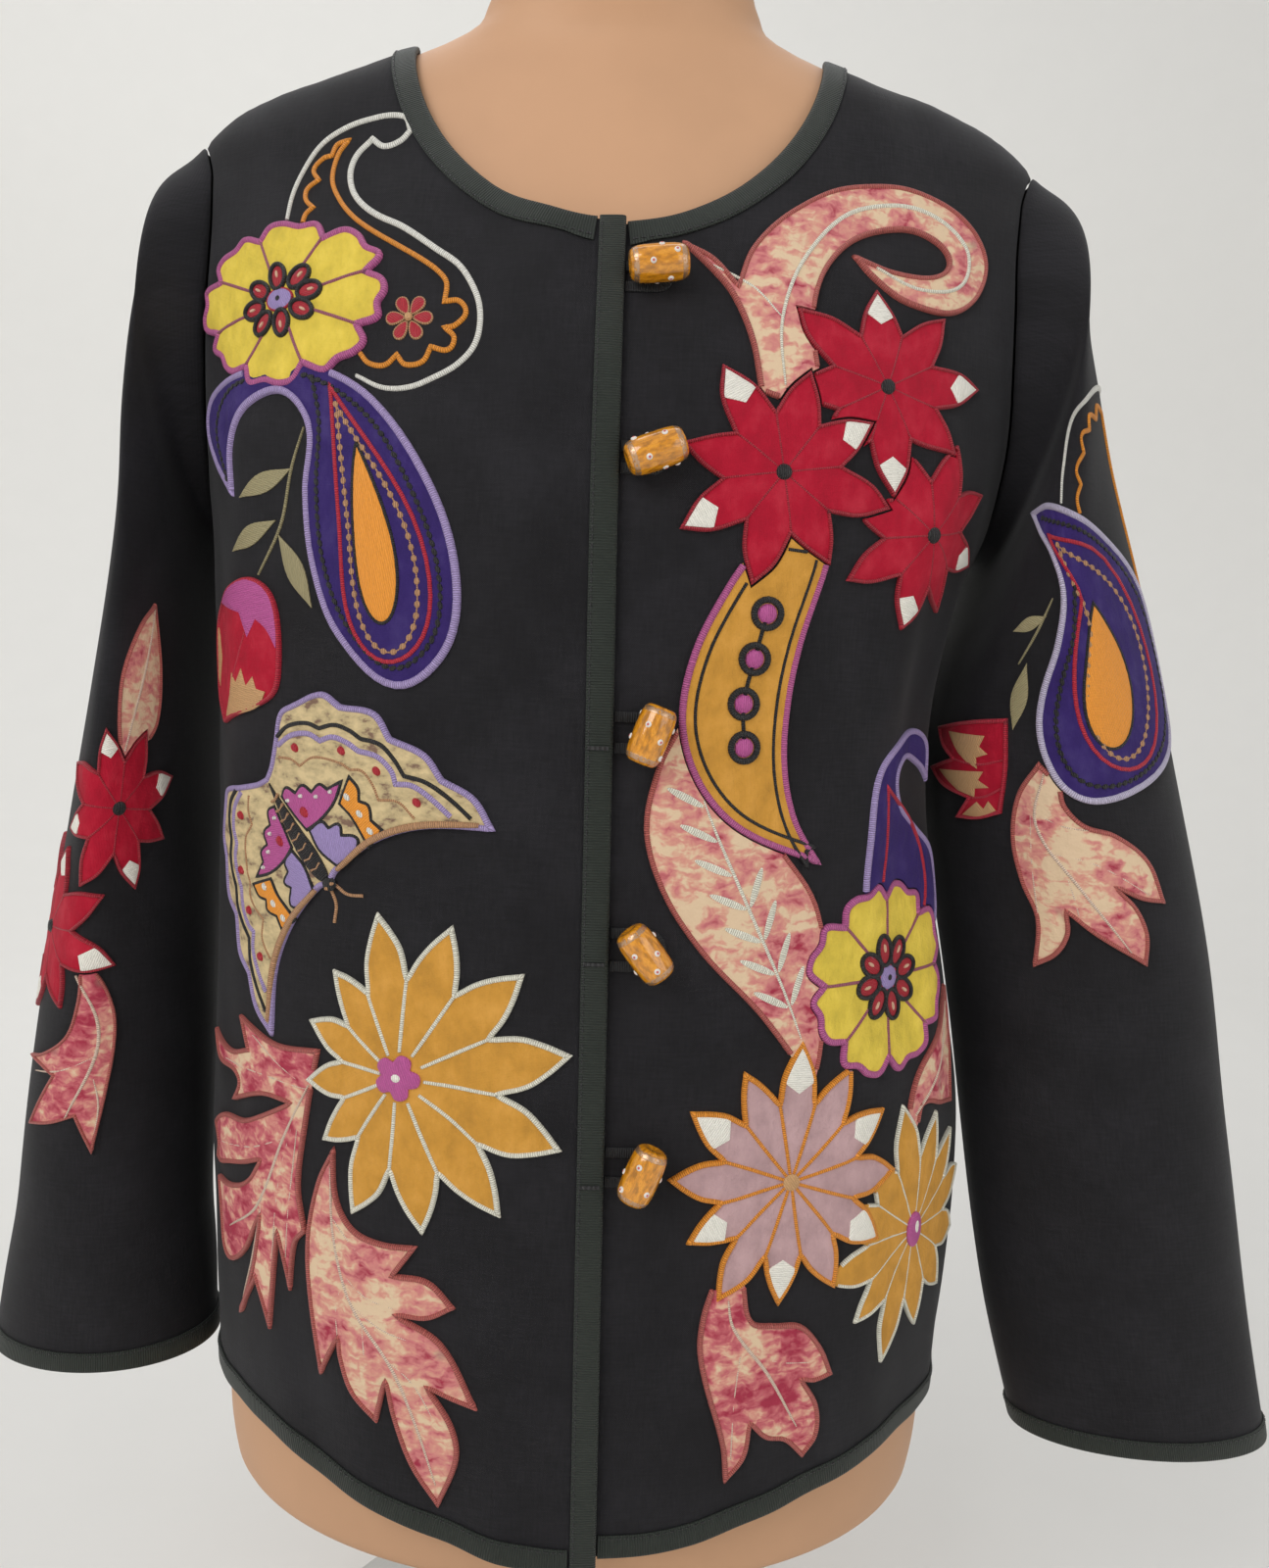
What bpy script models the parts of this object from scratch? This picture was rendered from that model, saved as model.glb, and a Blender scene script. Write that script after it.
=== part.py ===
"""A round-necked jacket with applique flowers, paisleys, leaves and a butterfly, on a limbless dress form.

Metres, +Z up, the front towards -Y, the wearer's right at -X. The origin is the middle of the stand's
underside. Heights in the tables are above the form's lower edge, which the stand carries off the ground.
A flat place on a piece of cloth is (across, height): the distance along the cloth from its middle line, and
the height above the form's lower edge.
"""

import functools
import math
from collections import namedtuple

import bpy
import numpy as np
from mathutils import Matrix, Vector
from mathutils.geometry import delaunay_2d_cdt

MM = 0.001

# Driving sizes
STAND_HEIGHT = 0.160
CLOTH = 0.0015
SEAM_GAP = 0.0003
APPLIQUE = 0.0009
RIBBON = 0.0007
RIBBON_WIDTH = 0.0095
LAP_LIFT = 0.0031
LAP_UNDER = 0.012
LAP_RAMP = (-0.050, -0.022)
FRONT_EDGE_TOP = 0.0060
FRONT_EDGE_BOTTOM = 0.0150
NECK_HALF_WIDTH = 0.0905
NECK_POINT = 0.6640
FRONT_NECK_PIT = 0.5665
BACK_NECK_PIT = 0.6490
ARMPIT = 0.4480
SHOULDER_POINT = 0.6205
ARMHOLE_REACH = 0.215
SLEEVE_INSIDE = 0.0009
SLEEVE_PROUD = 0.0006
BEAD_LENGTH = 0.0230
BEAD_RADIUS = 0.0072
BEAD_LIFT = 0.0017
HEM_LOW = 0.0265
HEM_RISE = 0.0300
HEM_RUN = 0.170
SIDE_DIP = 0.008
LEFT_HEM_RAISE = 0.004
LOOP_WIDTH = 0.0040
LOOP_THICKNESS = 0.0010
POLE_RADIUS = 0.0125
BASE_RADIUS = 0.150
BASE_THICKNESS = 0.010

SHARP_ANGLE = math.radians(40)

# Mesh density
FRONT_COLUMNS = 16
BACK_COLUMNS = 12
SLEEVE_COLUMNS = 20
FORM_COLUMNS = 24
BASE_COLUMNS = 24
POLE_COLUMNS = 12
BEAD_COLUMNS = 10
CURVE_STEPS = 5
OUTLINE_TOLERANCE = 0.0016

Section = namedtuple("Section", "height right left front back power")
JACKET = (
    Section(0.000, 0.1760, 0.1765, 0.1400, 0.1330, 2.05),
    Section(0.060, 0.1765, 0.1775, 0.1405, 0.1340, 2.10),
    Section(0.120, 0.1785, 0.1810, 0.1405, 0.1330, 2.15),
    Section(0.180, 0.1790, 0.1815, 0.1400, 0.1300, 2.20),
    Section(0.240, 0.1780, 0.1730, 0.1380, 0.1240, 2.20),
    Section(0.310, 0.1770, 0.1590, 0.1355, 0.1180, 2.20),
    Section(0.370, 0.1775, 0.1530, 0.1345, 0.1160, 2.25),
    Section(0.420, 0.1785, 0.1620, 0.1345, 0.1170, 2.30),
    Section(0.460, 0.1815, 0.1780, 0.1305, 0.1190, 2.30),
    Section(0.500, 0.1890, 0.1890, 0.1215, 0.1200, 2.20),
    Section(0.540, 0.1940, 0.1940, 0.1065, 0.1170, 2.10),
    Section(0.575, 0.1960, 0.1960, 0.0890, 0.1070, 2.00),
    Section(0.600, 0.1955, 0.1955, 0.0755, 0.0950, 1.90),
    Section(0.622, 0.1900, 0.1900, 0.0655, 0.0810, 1.80),
    Section(0.640, 0.1650, 0.1650, 0.0580, 0.0680, 1.75),
    Section(0.652, 0.1310, 0.1310, 0.0535, 0.0590, 1.75),
    Section(0.664, 0.0930, 0.0930, 0.0490, 0.0520, 1.80),
    Section(0.676, 0.0620, 0.0620, 0.0450, 0.0470, 1.90),
)
FORM = (
    Section(0.000, 0.1690, 0.1690, 0.1225, 0.1225, 2.05),
    Section(0.012, 0.1712, 0.1712, 0.1245, 0.1240, 2.05),
    Section(0.080, 0.1715, 0.1715, 0.1240, 0.1260, 2.10),
    Section(0.160, 0.1660, 0.1660, 0.1180, 0.1220, 2.15),
    Section(0.250, 0.1410, 0.1410, 0.1020, 0.1000, 2.15),
    Section(0.330, 0.1290, 0.1290, 0.0980, 0.0900, 2.15),
    Section(0.390, 0.1390, 0.1390, 0.1130, 0.0950, 2.20),
    Section(0.440, 0.1540, 0.1540, 0.1220, 0.1030, 2.25),
    Section(0.500, 0.1690, 0.1690, 0.1110, 0.1100, 2.15),
    Section(0.550, 0.1790, 0.1790, 0.0920, 0.1080, 2.05),
    Section(0.590, 0.1810, 0.1810, 0.0745, 0.0950, 1.95),
    Section(0.612, 0.1785, 0.1785, 0.0640, 0.0815, 1.85),
    Section(0.627, 0.1735, 0.1735, 0.0580, 0.0710, 1.80),
    Section(0.638, 0.1620, 0.1620, 0.0540, 0.0640, 1.78),
    Section(0.650, 0.1290, 0.1290, 0.0500, 0.0560, 1.78),
    Section(0.661, 0.0940, 0.0940, 0.0480, 0.0510, 1.85),
    Section(0.670, 0.0720, 0.0720, 0.0500, 0.0520, 1.95),
    Section(0.684, 0.0620, 0.0620, 0.0530, 0.0550, 2.00),
    Section(0.715, 0.0580, 0.0580, 0.0550, 0.0560, 2.00),
    Section(0.750, 0.0570, 0.0570, 0.0550, 0.0560, 2.00),
    Section(0.762, 0.0500, 0.0500, 0.0480, 0.0490, 2.00),
)
TORSO_ROWS = (
    0.000, 0.035, 0.070, 0.105, 0.140, 0.175, 0.210, 0.245, 0.280, 0.315, 0.350, 0.385, 0.418, 0.448,
    0.478, 0.508, 0.536, 0.562, 0.585, 0.604, 0.6205, 0.634, 0.648, 0.6645, 0.676,
)

# Depth of the soft folds that stand out of the body, along straight lines between two flat places
Fold = namedtuple("Fold", "across_top height_top across_foot height_foot width depth")
BODY_FOLDS = (
    Fold(0.148, 0.500, 0.120, 0.300, 0.016, 0.0045),
    Fold(0.185, 0.430, 0.165, 0.180, 0.016, 0.0035),
    Fold(-0.150, 0.500, -0.165, 0.300, 0.017, 0.0035),
    Fold(-0.060, 0.300, -0.085, 0.020, 0.022, 0.0025),
    Fold(0.115, 0.250, 0.135, 0.020, 0.024, 0.0030),
)
BACK_FOLDS = (
    Fold(-0.150, 0.520, -0.120, 0.300, 0.018, 0.0040),
    Fold(0.150, 0.520, 0.125, 0.300, 0.018, 0.0040),
    Fold(-0.060, 0.330, -0.075, 0.020, 0.026, 0.0035),
    Fold(0.065, 0.330, 0.080, 0.020, 0.026, 0.0030),
)

# Each row is a ring of the sleeve: its outermost and innermost points, its half depth and its middle
Ring = namedtuple("Ring", "outer outer_height inner inner_height depth middle")
SLEEVE_RIGHT = (
    Ring(0.2045, 0.604, 0.1830, 0.440, 0.066, 0.003),
    Ring(0.2070, 0.575, 0.1840, 0.424, 0.070, 0.000),
    Ring(0.2095, 0.535, 0.1850, 0.405, 0.073, -0.003),
    Ring(0.2115, 0.478, 0.1855, 0.378, 0.074, -0.005),
    Ring(0.2290, 0.385, 0.1860, 0.330, 0.071, -0.007),
    Ring(0.2530, 0.275, 0.1860, 0.250, 0.062, -0.008),
    Ring(0.2710, 0.155, 0.1865, 0.146, 0.052, -0.012),
    Ring(0.2805, 0.095, 0.1840, 0.092, 0.046, -0.014),
    Ring(0.2895, 0.049, 0.1810, 0.050, 0.042, -0.015),
)
SLEEVE_LEFT = (
    Ring(0.2085, 0.604, 0.1790, 0.440, 0.066, 0.003),
    Ring(0.2120, 0.572, 0.1745, 0.424, 0.070, 0.000),
    Ring(0.2190, 0.533, 0.1680, 0.406, 0.073, -0.003),
    Ring(0.2340, 0.476, 0.1620, 0.384, 0.072, -0.006),
    Ring(0.2645, 0.380, 0.1600, 0.345, 0.064, -0.010),
    Ring(0.2930, 0.275, 0.1755, 0.260, 0.053, -0.012),
    Ring(0.3105, 0.185, 0.1868, 0.175, 0.045, -0.014),
    Ring(0.3290, 0.100, 0.2010, 0.095, 0.037, -0.015),
    Ring(0.3460, 0.021, 0.2200, 0.022, 0.031, -0.016),
)
SLEEVE_STEPS = (1, 1, 1, 2, 2, 2, 2, 2, 1)

# Folds of a sleeve: degrees round from the back by -X, at the top and at the foot, and the first and last ring
# of the fold
Ridge = namedtuple("Ridge", "turn_top turn_foot top foot width depth")
RIDGES_RIGHT = (
    Ridge(160, 182, 1.0, 7.0, 22, 0.0055),
    Ridge(225, 240, 1.6, 5.5, 20, 0.0045),
    Ridge(45, 20, 1.0, 6.0, 22, 0.0050),
)
RIDGES_LEFT = (
    Ridge(205, 160, 1.0, 6.5, 22, 0.0055),
    Ridge(160, 115, 2.0, 5.5, 20, 0.0040),
    Ridge(320, 350, 1.0, 6.0, 22, 0.0050),
    Ridge(62, 58, 0.4, 8.2, 20, 0.0068),
)

# A petal's edge from its notch: shares of the way round the petal, and how far out the edge lies, in shares of
# the radius. A third value marks a corner, here and in the other outlines.
ROUND_PETAL = ((0.0, 0.85, 1), (0.2, 1.0), (0.42, 0.955), (0.62, 1.0), (0.82, 0.985))
BROAD_PETAL = ((0.0, 0.62, 1), (0.15, 0.75), (0.32, 0.87), (0.5, 1.0, 1), (0.68, 0.87), (0.85, 0.75))
STAR_PETAL = ((0.0, 0.55, 1), (0.25, 0.76), (0.5, 1.0, 1), (0.72, 0.8))

# Motifs are in millimetres. Uneven is how much the petals differ in length, lean is the share that those towards
# the wearer's right lack, and turn is the first petal's start in degrees.
Flower = namedtuple("Flower", "name across height radius stretch petals edge turn uneven lean finish")

# A blade is a leaf, paisley, pod, bud or scroll, and its knots are places on the curve of its edge
Blade = namedtuple("Blade", "name finish knots")

# Half a butterfly's edge runs from its head to its tail: the way ahead of its middle and out from its body
Butterfly = namedtuple("Butterfly", "name across height heading edge finish")
WING_EDGE = (
    (24, 0, 1), (22, 6), (24, 28), (33, 48), (52, 70, 1), (38, 72), (24, 67, 1), (12, 68), (-2, 61, 1),
    (-14, 62), (-26, 52, 1), (-36, 48), (-42, 34, 1), (-44, 26), (-38, 16, 1), (-32, 6), (-30, 0, 1),
)

# The beads lie on the left front. The loop of each comes out at the lap's edge, and half is half its height.
Bead = namedtuple("Bead", "across height lean reach half")
BEADS = (
    Bead(0.0205, 0.5438, 8, 0.0200, 0.0062),
    Bead(0.0220, 0.4715, 22, 0.0200, 0.0062),
    Bead(0.0240, 0.3675, 70, 0.0235, 0.0080),
    Bead(0.0250, 0.2830, -52, 0.0235, 0.0085),
    Bead(0.0275, 0.1960, 68, 0.0225, 0.0080),
)

# The motifs of each piece of cloth, the ones on top first
RIGHT_FRONT_MOTIFS = (
    Flower("flower_yellow_chest", -137, 535, 35.5, 1.42, 8, ROUND_PETAL, 20, 0.03, 0, "yellow"),
    Blade("paisley_violet_chest", "violet",
        ((-161, 456, 1), (-180, 470), (-190, 486), (-181, 500), (-150, 507), (-119, 507), (-90, 493),
         (-63, 459), (-51, 424), (-55, 396), (-76, 381), (-102, 400), (-115, 427), (-119.5, 456), (-119, 482),
         (-133, 496), (-151, 491), (-162, 475))),
    Flower("flower_ochre_hip", -70, 227, 70, 0.95, 12, BROAD_PETAL, -4, 0.06, 0.34, "ochre"),
    Blade("bud_tulip", "red",
        ((-178, 413), (-160, 420), (-148, 422), (-138, 417), (-133, 406), (-132, 386), (-135, 376),
         (-145, 370), (-173, 361, 1), (-186, 372), (-190, 390), (-187, 405))),
    Blade("leaf_acanthus_side", "rose",
        ((-109, 231, 1), (-136, 229), (-160, 235, 1), (-154, 222, 1), (-172, 217), (-192, 221, 1), (-183, 210),
         (-162, 207), (-167, 196, 1), (-142, 205), (-124, 206, 1), (-141, 197), (-157, 190), (-176, 187),
         (-193, 178, 1), (-186, 171), (-189, 162), (-168, 167), (-155, 171), (-143, 176, 1), (-152, 165),
         (-165, 158), (-189, 153, 1), (-185, 138), (-176, 121), (-157, 129), (-143, 151, 1), (-149, 126),
         (-162, 99, 1), (-147, 121, 1), (-137, 102, 1), (-134, 128), (-131, 147, 1), (-124, 124, 1), (-120, 146),
         (-114, 153, 1), (-118, 172), (-114, 202))),
    Blade("leaf_acanthus_hem", "rose",
        ((-100, 192, 1), (-98, 172), (-90, 161), (-76, 157.5), (-61, 158, 1), (-70, 145, 1), (-56, 144),
         (-45, 134, 1), (-56, 128), (-68, 128, 1), (-50, 118), (-34.5, 93, 1), (-46, 95), (-55, 98, 1),
         (-44, 82), (-42, 69), (-50, 47, 1), (-62, 64), (-70, 84), (-73, 98, 1), (-77, 80, 1), (-89, 90),
         (-95, 104), (-96, 111, 1), (-105, 93, 1), (-112, 126), (-113, 151), (-108, 176))),
    Butterfly("butterfly", -121, 318, -47, WING_EDGE, "cream"),
)
LEFT_FRONT_MOTIFS = (
    Flower("star_inner", 72, 469, 43, 1.03, 8, STAR_PETAL, -36, 0.09, 0, "red"),
    Flower("star_upper", 115, 506, 42, 1.08, 8, STAR_PETAL, -16, 0.09, 0, "red"),
    Flower("star_outer", 140, 450, 38, 1.12, 8, STAR_PETAL, -36, 0.08, 0, "red"),
    Blade("pod", "ochre",
        ((66, 446, 1), (52, 425), (40, 400), (36, 372), (44, 348), (62, 330), (98, 316, 1), (86, 334),
         (80, 356), (80, 380), (84, 405), (92, 432), (94, 444, 1))),
    Blade("scroll", "rose",
        ((30, 560, 1), (42, 554), (52, 543, 1), (58, 560), (74, 578), (98, 592), (125, 595), (150, 588),
         (166, 570), (162, 552), (146, 541), (124, 543), (108, 552), (100, 560, 1), (118, 556), (136, 556),
         (145, 563), (140, 571), (122, 575), (102, 568), (88, 552), (83, 530), (86, 504), (84, 494, 1),
         (62, 500, 1), (58, 520), (50, 538), (42, 548))),
    Flower("flower_yellow_waist", 137, 266, 40, 1.06, 8, ROUND_PETAL, 0, 0.03, 0, "yellow"),
    Flower("flower_lilac", 89.5, 188, 54, 0.92, 12, BROAD_PETAL, -18, 0.06, 0, "lilac"),
    Flower("flower_ochre_side", 158, 154, 53, 0.95, 12, BROAD_PETAL, -3, 0.1, 0, "ochre"),
    Blade("leaf_large", "rose",
        ((36, 372, 1), (48, 366), (60, 350), (78, 325), (97, 300), (103, 270), (101, 240), (98, 226, 1),
         (90, 236), (72, 258), (48, 282), (32, 305), (24, 330), (28, 355))),
    Blade("paisley_violet_waist", "violet",
        ((124, 290), (122, 332), (127, 353), (142, 364), (162, 369), (175, 362), (175, 346, 1), (166, 353),
         (152, 357), (143, 350), (147, 338), (162, 327), (178, 314), (184, 296), (170, 276), (140, 270))),
    Blade("leaf_small", "rose",
        ((193, 252, 1), (176, 239), (160, 226), (152, 212), (150, 194, 1), (157, 200), (161, 208), (178, 204),
         (196, 200, 1), (199, 226))),
    Blade("leaf_forked", "rose",
        ((58, 144, 1), (72, 146, 1), (76, 130), (86, 127), (98, 125), (108, 114), (114, 101, 1), (106, 99),
         (101, 100, 1), (108, 88), (109, 74), (103, 65, 1), (94, 74), (85, 77), (78, 84, 1), (76, 70),
         (68, 60, 1), (66, 76), (57, 105), (54, 120), (55, 133))),
)
RIGHT_SLEEVE_MOTIFS = (
    Flower("star_sleeve_upper", 11, 322, 38, 0.82, 8, STAR_PETAL, -5, 0.08, 0, "red"),
    Flower("star_sleeve_lower", -30, 264, 42, 1.0, 8, STAR_PETAL, -40, 0.08, 0, "red"),
    Blade("leaf_sleeve_upper", "rose",
        ((32, 410, 1), (19, 401), (9, 383), (8, 363), (11, 340, 1), (22, 347), (33, 359), (37, 383))),
    Blade("leaf_sleeve_lower", "rose",
        ((-6, 257, 1), (6, 246), (13, 230), (14, 214), (11, 190), (6, 161, 1), (1, 172), (-2, 179, 1),
         (-14, 174), (-30, 170, 1), (-22, 184), (-14, 197, 1), (-24, 200), (-38, 201, 1), (-22, 206),
         (-8, 216), (-3, 230), (-2, 246))),
)
LEFT_SLEEVE_MOTIFS = (
    Blade("paisley_violet_sleeve", "violet",
        ((-34, 463, 1), (-16, 466), (7, 461.5), (30, 453), (48, 442), (60, 428), (65, 408), (67, 388),
         (62, 371), (45, 357), (21, 346), (0, 341), (-11, 344.5), (-18, 355), (-21, 371), (-18, 388),
         (-10, 409), (-6, 430), (-12, 445), (-24, 455))),
    Blade("bud_sleeve", "red",
        ((-35, 375, 1), (-54, 373), (-84, 368, 1), (-75, 360), (-66, 355, 1), (-88, 349, 1), (-75, 342),
         (-58, 338, 1), (-67, 328, 1), (-54, 329), (-42, 333, 1), (-37, 353))),
    Blade("leaf_sleeve_forked", "rose",
        ((-22, 357, 1), (-33, 342), (-38, 322), (-36, 303), (-31, 287), (-34.5, 264, 1), (-24, 271),
         (-18, 281), (-17.5, 291, 1), (-6, 281), (15, 268, 1), (17, 282), (13, 294), (5, 303, 1), (16, 298),
         (28, 296, 1), (22, 315), (7, 327), (-6, 331), (-13, 339), (-14.5, 348))),
)

Finish = namedtuple("Finish", "colour roughness metallic")
FINISHES = {
    "black_cloth": Finish((0.012, 0.011, 0.014), 0.80, 0.0),
    "ribbon": Finish((0.014, 0.018, 0.013), 0.60, 0.0),
    "cord": Finish((0.010, 0.011, 0.011), 0.60, 0.0),
    "amber_glass": Finish((0.68, 0.29, 0.008), 0.15, 0.0),
    "form_shell": Finish((0.66, 0.37, 0.21), 0.45, 0.0),
    "stand_steel": Finish((0.62, 0.61, 0.59), 0.35, 0.8),
    "yellow": Finish((0.80, 0.62, 0.08), 0.75, 0.0),
    "ochre": Finish((0.70, 0.36, 0.065), 0.75, 0.0),
    "violet": Finish((0.035, 0.018, 0.16), 0.70, 0.0),
    "red": Finish((0.48, 0.003, 0.025), 0.75, 0.0),
    "rose": Finish((0.62, 0.20, 0.19), 0.80, 0.0),
    "lilac": Finish((0.55, 0.36, 0.38), 0.75, 0.0),
    "cream": Finish((0.78, 0.62, 0.42), 0.70, 0.0),
}


@functools.lru_cache(maxsize=None)
def finish(name):
    """Returns the material of a finish."""
    made = bpy.data.materials.new(name)
    made.use_nodes = True
    shader = made.node_tree.nodes["Principled BSDF"]
    shader.inputs["Base Color"].default_value = (*FINISHES[name].colour, 1.0)
    shader.inputs["Roughness"].default_value = FINISHES[name].roughness
    shader.inputs["Metallic"].default_value = FINISHES[name].metallic
    return made


def add_object(name, points, faces, finish_name):
    """Adds a closed mesh, whose heights are above the form's lower edge, as an object of its own."""
    mesh = bpy.data.meshes.new(name)
    mesh.from_pydata([(x, y, z + STAND_HEIGHT) for x, y, z in points], [], faces)
    mesh.materials.append(finish(finish_name))
    mesh.shade_smooth()
    mesh.set_sharp_from_angle(angle=SHARP_ANGLE)
    made = bpy.data.objects.new(name, mesh)
    bpy.context.collection.objects.link(made)
    return made


def smooth_step(value):
    """Rises from 0 to 1 as the value does, level at both ends."""
    t = min(max(value, 0.0), 1.0)
    return t * t * (3 - 2 * t)


def through_rows(heights, rows, height):
    """Reads a table of rows at any height, on smooth curves through its rows."""
    heights = np.asarray(heights, float)
    rows = np.asarray(rows, float)
    slopes = np.gradient(rows, heights, axis=0)
    k = int(np.clip(np.searchsorted(heights, height) - 1, 0, len(heights) - 2))
    step = heights[k + 1] - heights[k]
    t = (height - heights[k]) / step
    start = rows[k] * (1 + 2 * t) * (1 - t) ** 2 + slopes[k] * step * t * (1 - t) ** 2
    end = rows[k + 1] * t * t * (3 - 2 * t) + slopes[k + 1] * step * t * t * (t - 1)
    return start + end


def section_at(table, height):
    """Returns a body's section at a height."""
    heights = [row.height for row in table]
    rows = [row[1:] for row in table]
    return Section(height, *through_rows(heights, rows, height))


@functools.lru_cache(maxsize=None)
def quarter(table, height, half_width, depth_name):
    """Returns one quarter of a section: the run along it from the middle line to the side, and its x and y."""
    section = section_at(table, height)
    depth = getattr(section, depth_name)
    angle = np.linspace(0, math.pi / 2, 91)
    power = 2 / section.power
    x = getattr(section, half_width) * np.sin(angle) ** power
    y = depth * np.abs(np.cos(angle)) ** power
    run = np.concatenate(([0], np.cumsum(np.hypot(np.diff(x), np.diff(y)))))
    return run, x, y


class Sheet:
    """Cloth as a grid of flat triangles. An index place is (column, row), and each cell is cut from its low
    left corner to its high right one, seen from outside."""

    def __init__(self, points, normals=None):
        self.points = np.asarray(points, float)
        self.rows = self.points.shape[0] - 1
        self.columns = self.points.shape[1] - 1
        self.normals = self.facing() if normals is None else normals

    def facing(self):
        """Returns each grid point's outward direction."""
        along = np.gradient(self.points, axis=1)
        up = np.gradient(self.points, axis=0)
        out = np.cross(along, up)
        return out / np.linalg.norm(out, axis=2, keepdims=True)

    def close(self):
        """Makes the directions of the first and last columns one, where the sheet is a tube."""
        ring = self.points[:, :-1]
        along = np.roll(ring, -1, axis=1) - np.roll(ring, 1, axis=1)
        up = np.gradient(ring, axis=0)
        out = np.cross(along, up)
        out /= np.linalg.norm(out, axis=2, keepdims=True)
        self.normals = np.concatenate((out, out[:, :1]), axis=1)

    def place(self, column, row, off):
        """Returns the point at an index place, moved out of the cloth's face by some distance."""
        i = int(min(max(math.floor(column), 0), self.columns - 1))
        j = int(min(max(math.floor(row), 0), self.rows - 1))
        u = column - i
        v = row - j
        solid = self.points[j : j + 2, i : i + 2] + self.normals[j : j + 2, i : i + 2] * off
        if u >= v:
            return solid[0, 0] * (1 - u) + solid[0, 1] * (u - v) + solid[1, 1] * v
        return solid[0, 0] * (1 - v) + solid[1, 0] * (v - u) + solid[1, 1] * u


class Body(Sheet):
    """The front or the back of the jacket's body, from one side seam to the other."""

    def __init__(self, table, depth, folds=(), lift=None, seam=SEAM_GAP / 2, rows=TORSO_ROWS):
        columns = FRONT_COLUMNS if depth == "front" else BACK_COLUMNS
        self.table = table
        self.depth = depth
        self.seam = seam
        self.row_heights = rows
        self.sides = ("right", "left") if depth == "front" else ("left", "right")
        flat = [[self.across(z, 2 * i / columns - 1) for i in range(columns + 1)] for z in rows]
        super().__init__([[self.bare(a, z) for a in row] for row, z in zip(flat, rows)])
        for j, z in enumerate(rows):
            for i, a in enumerate(flat[j]):
                rise = sum(fold_depth(fold, a, z) for fold in folds) + (lift(a) if lift else 0)
                self.points[j, i] += self.normals[j, i] * rise
        self.normals = self.facing()
        for side in (0, -1):
            self.normals[:, side, 1] = 0
            self.normals[:, side] /= np.linalg.norm(self.normals[:, side], axis=1, keepdims=True)

    def quarter(self, side, height):
        """Returns the section's quarter on one side of the middle line."""
        return quarter(self.table, float(height), self.sides[int(side > 0)], self.depth)

    def half_run(self, side, height):
        """Returns the run from the middle line to the side seam at a height."""
        return self.quarter(side, height)[0][-1] - self.seam

    def across(self, height, share):
        """Returns the distance from the middle line at a share of the way to a side seam."""
        return share * self.half_run(share, height)

    def bare(self, across, height):
        """Returns the smooth section's point at a flat place."""
        run, x, y = self.quarter(across, height)
        out = math.copysign(np.interp(abs(across), run, x), across)
        deep = np.interp(abs(across), run, y)
        return (out, -deep, height) if self.depth == "front" else (-out, deep, height)

    def index(self, across, height):
        """Returns the index place of a flat place."""
        share = across / self.half_run(across, height)
        column = (min(max(share, -1.0), 1.0) + 1) / 2 * self.columns
        row = np.interp(height, self.row_heights, range(len(self.row_heights)))
        return (snapped(column), snapped(row))

    def run_at(self, x, height, side):
        """Returns the flat distance of a point of the section from its distance off the middle plane."""
        run, xs, _ = self.quarter(side, height)
        return side * float(np.interp(x, xs, run))


def snapped(value, within=0.02):
    """Moves an index onto a grid line that it nearly meets, so that no sliver is left."""
    return float(round(value)) if abs(value - round(value)) < within else float(value)


def fold_depth(fold, across, height):
    """Returns how far a fold lifts the cloth at a flat place."""
    share = (fold.height_top - height) / (fold.height_top - fold.height_foot)
    middle = fold.across_top + (fold.across_foot - fold.across_top) * min(max(share, 0), 1)
    fade = smooth_step(share * 4 + 0.4) * smooth_step((1 - share) * 2.5 + 0.4)
    return fold.depth * fade * math.exp(-(((across - middle) / fold.width) ** 2))


def flat_area(outline):
    """Returns an outline's area, which is negative where it runs clockwise."""
    x, y = np.asarray(outline, float).T
    return 0.5 * float(np.dot(x, np.roll(y, -1)) - np.dot(y, np.roll(x, -1)))


def crossings(outlines, slack=1.0):
    """Returns the ends of the grid lines and diagonals that cross some outlines."""
    corners = np.array([p for outline in outlines for p in outline])
    low = np.floor(corners.min(axis=0)) - slack
    high = np.ceil(corners.max(axis=0)) + slack
    lines = [((i, low[1]), (i, high[1])) for i in np.arange(low[0] + slack, high[0])]
    lines += [((low[0], j), (high[0], j)) for j in np.arange(low[1] + slack, high[1])]
    for k in np.arange(math.ceil(low[0] - high[1]), math.floor(high[0] - low[1]) + 1):
        first = max(low[0], low[1] + k)
        last = min(high[0], high[1] + k)
        if last > first:
            lines.append(((first, first - k), (last, last - k)))
    return lines


def cut_cells(outlines, holes):
    """Cuts outlines along the grid. Returns the flat points and a list of (triangle, outline number)."""
    points = []
    edges = []
    faces = []
    for outline in list(outlines) + list(holes):
        start = len(points)
        points += [Vector(p) for p in (outline if flat_area(outline) > 0 else outline[::-1])]
        faces.append(list(range(start, len(points))))
    for first, last in crossings(outlines):
        edges.append((len(points), len(points) + 1))
        points += [Vector(first), Vector(last)]
    flat, _, triangles, _, _, owners = delaunay_2d_cdt(points, edges, faces, 0, 1e-5)
    cells = []
    for triangle, owner in zip(triangles, owners):
        zones = [k for k in owner if k < len(outlines)]
        if zones and not any(k >= len(outlines) for k in owner):
            a, b, c = (flat[v] for v in triangle)
            turn = (b - a).cross(c - a)
            cells.append((tuple(triangle) if turn > 0 else tuple(triangle)[::-1], zones[0]))
    return flat, largest_piece(cells)


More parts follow.
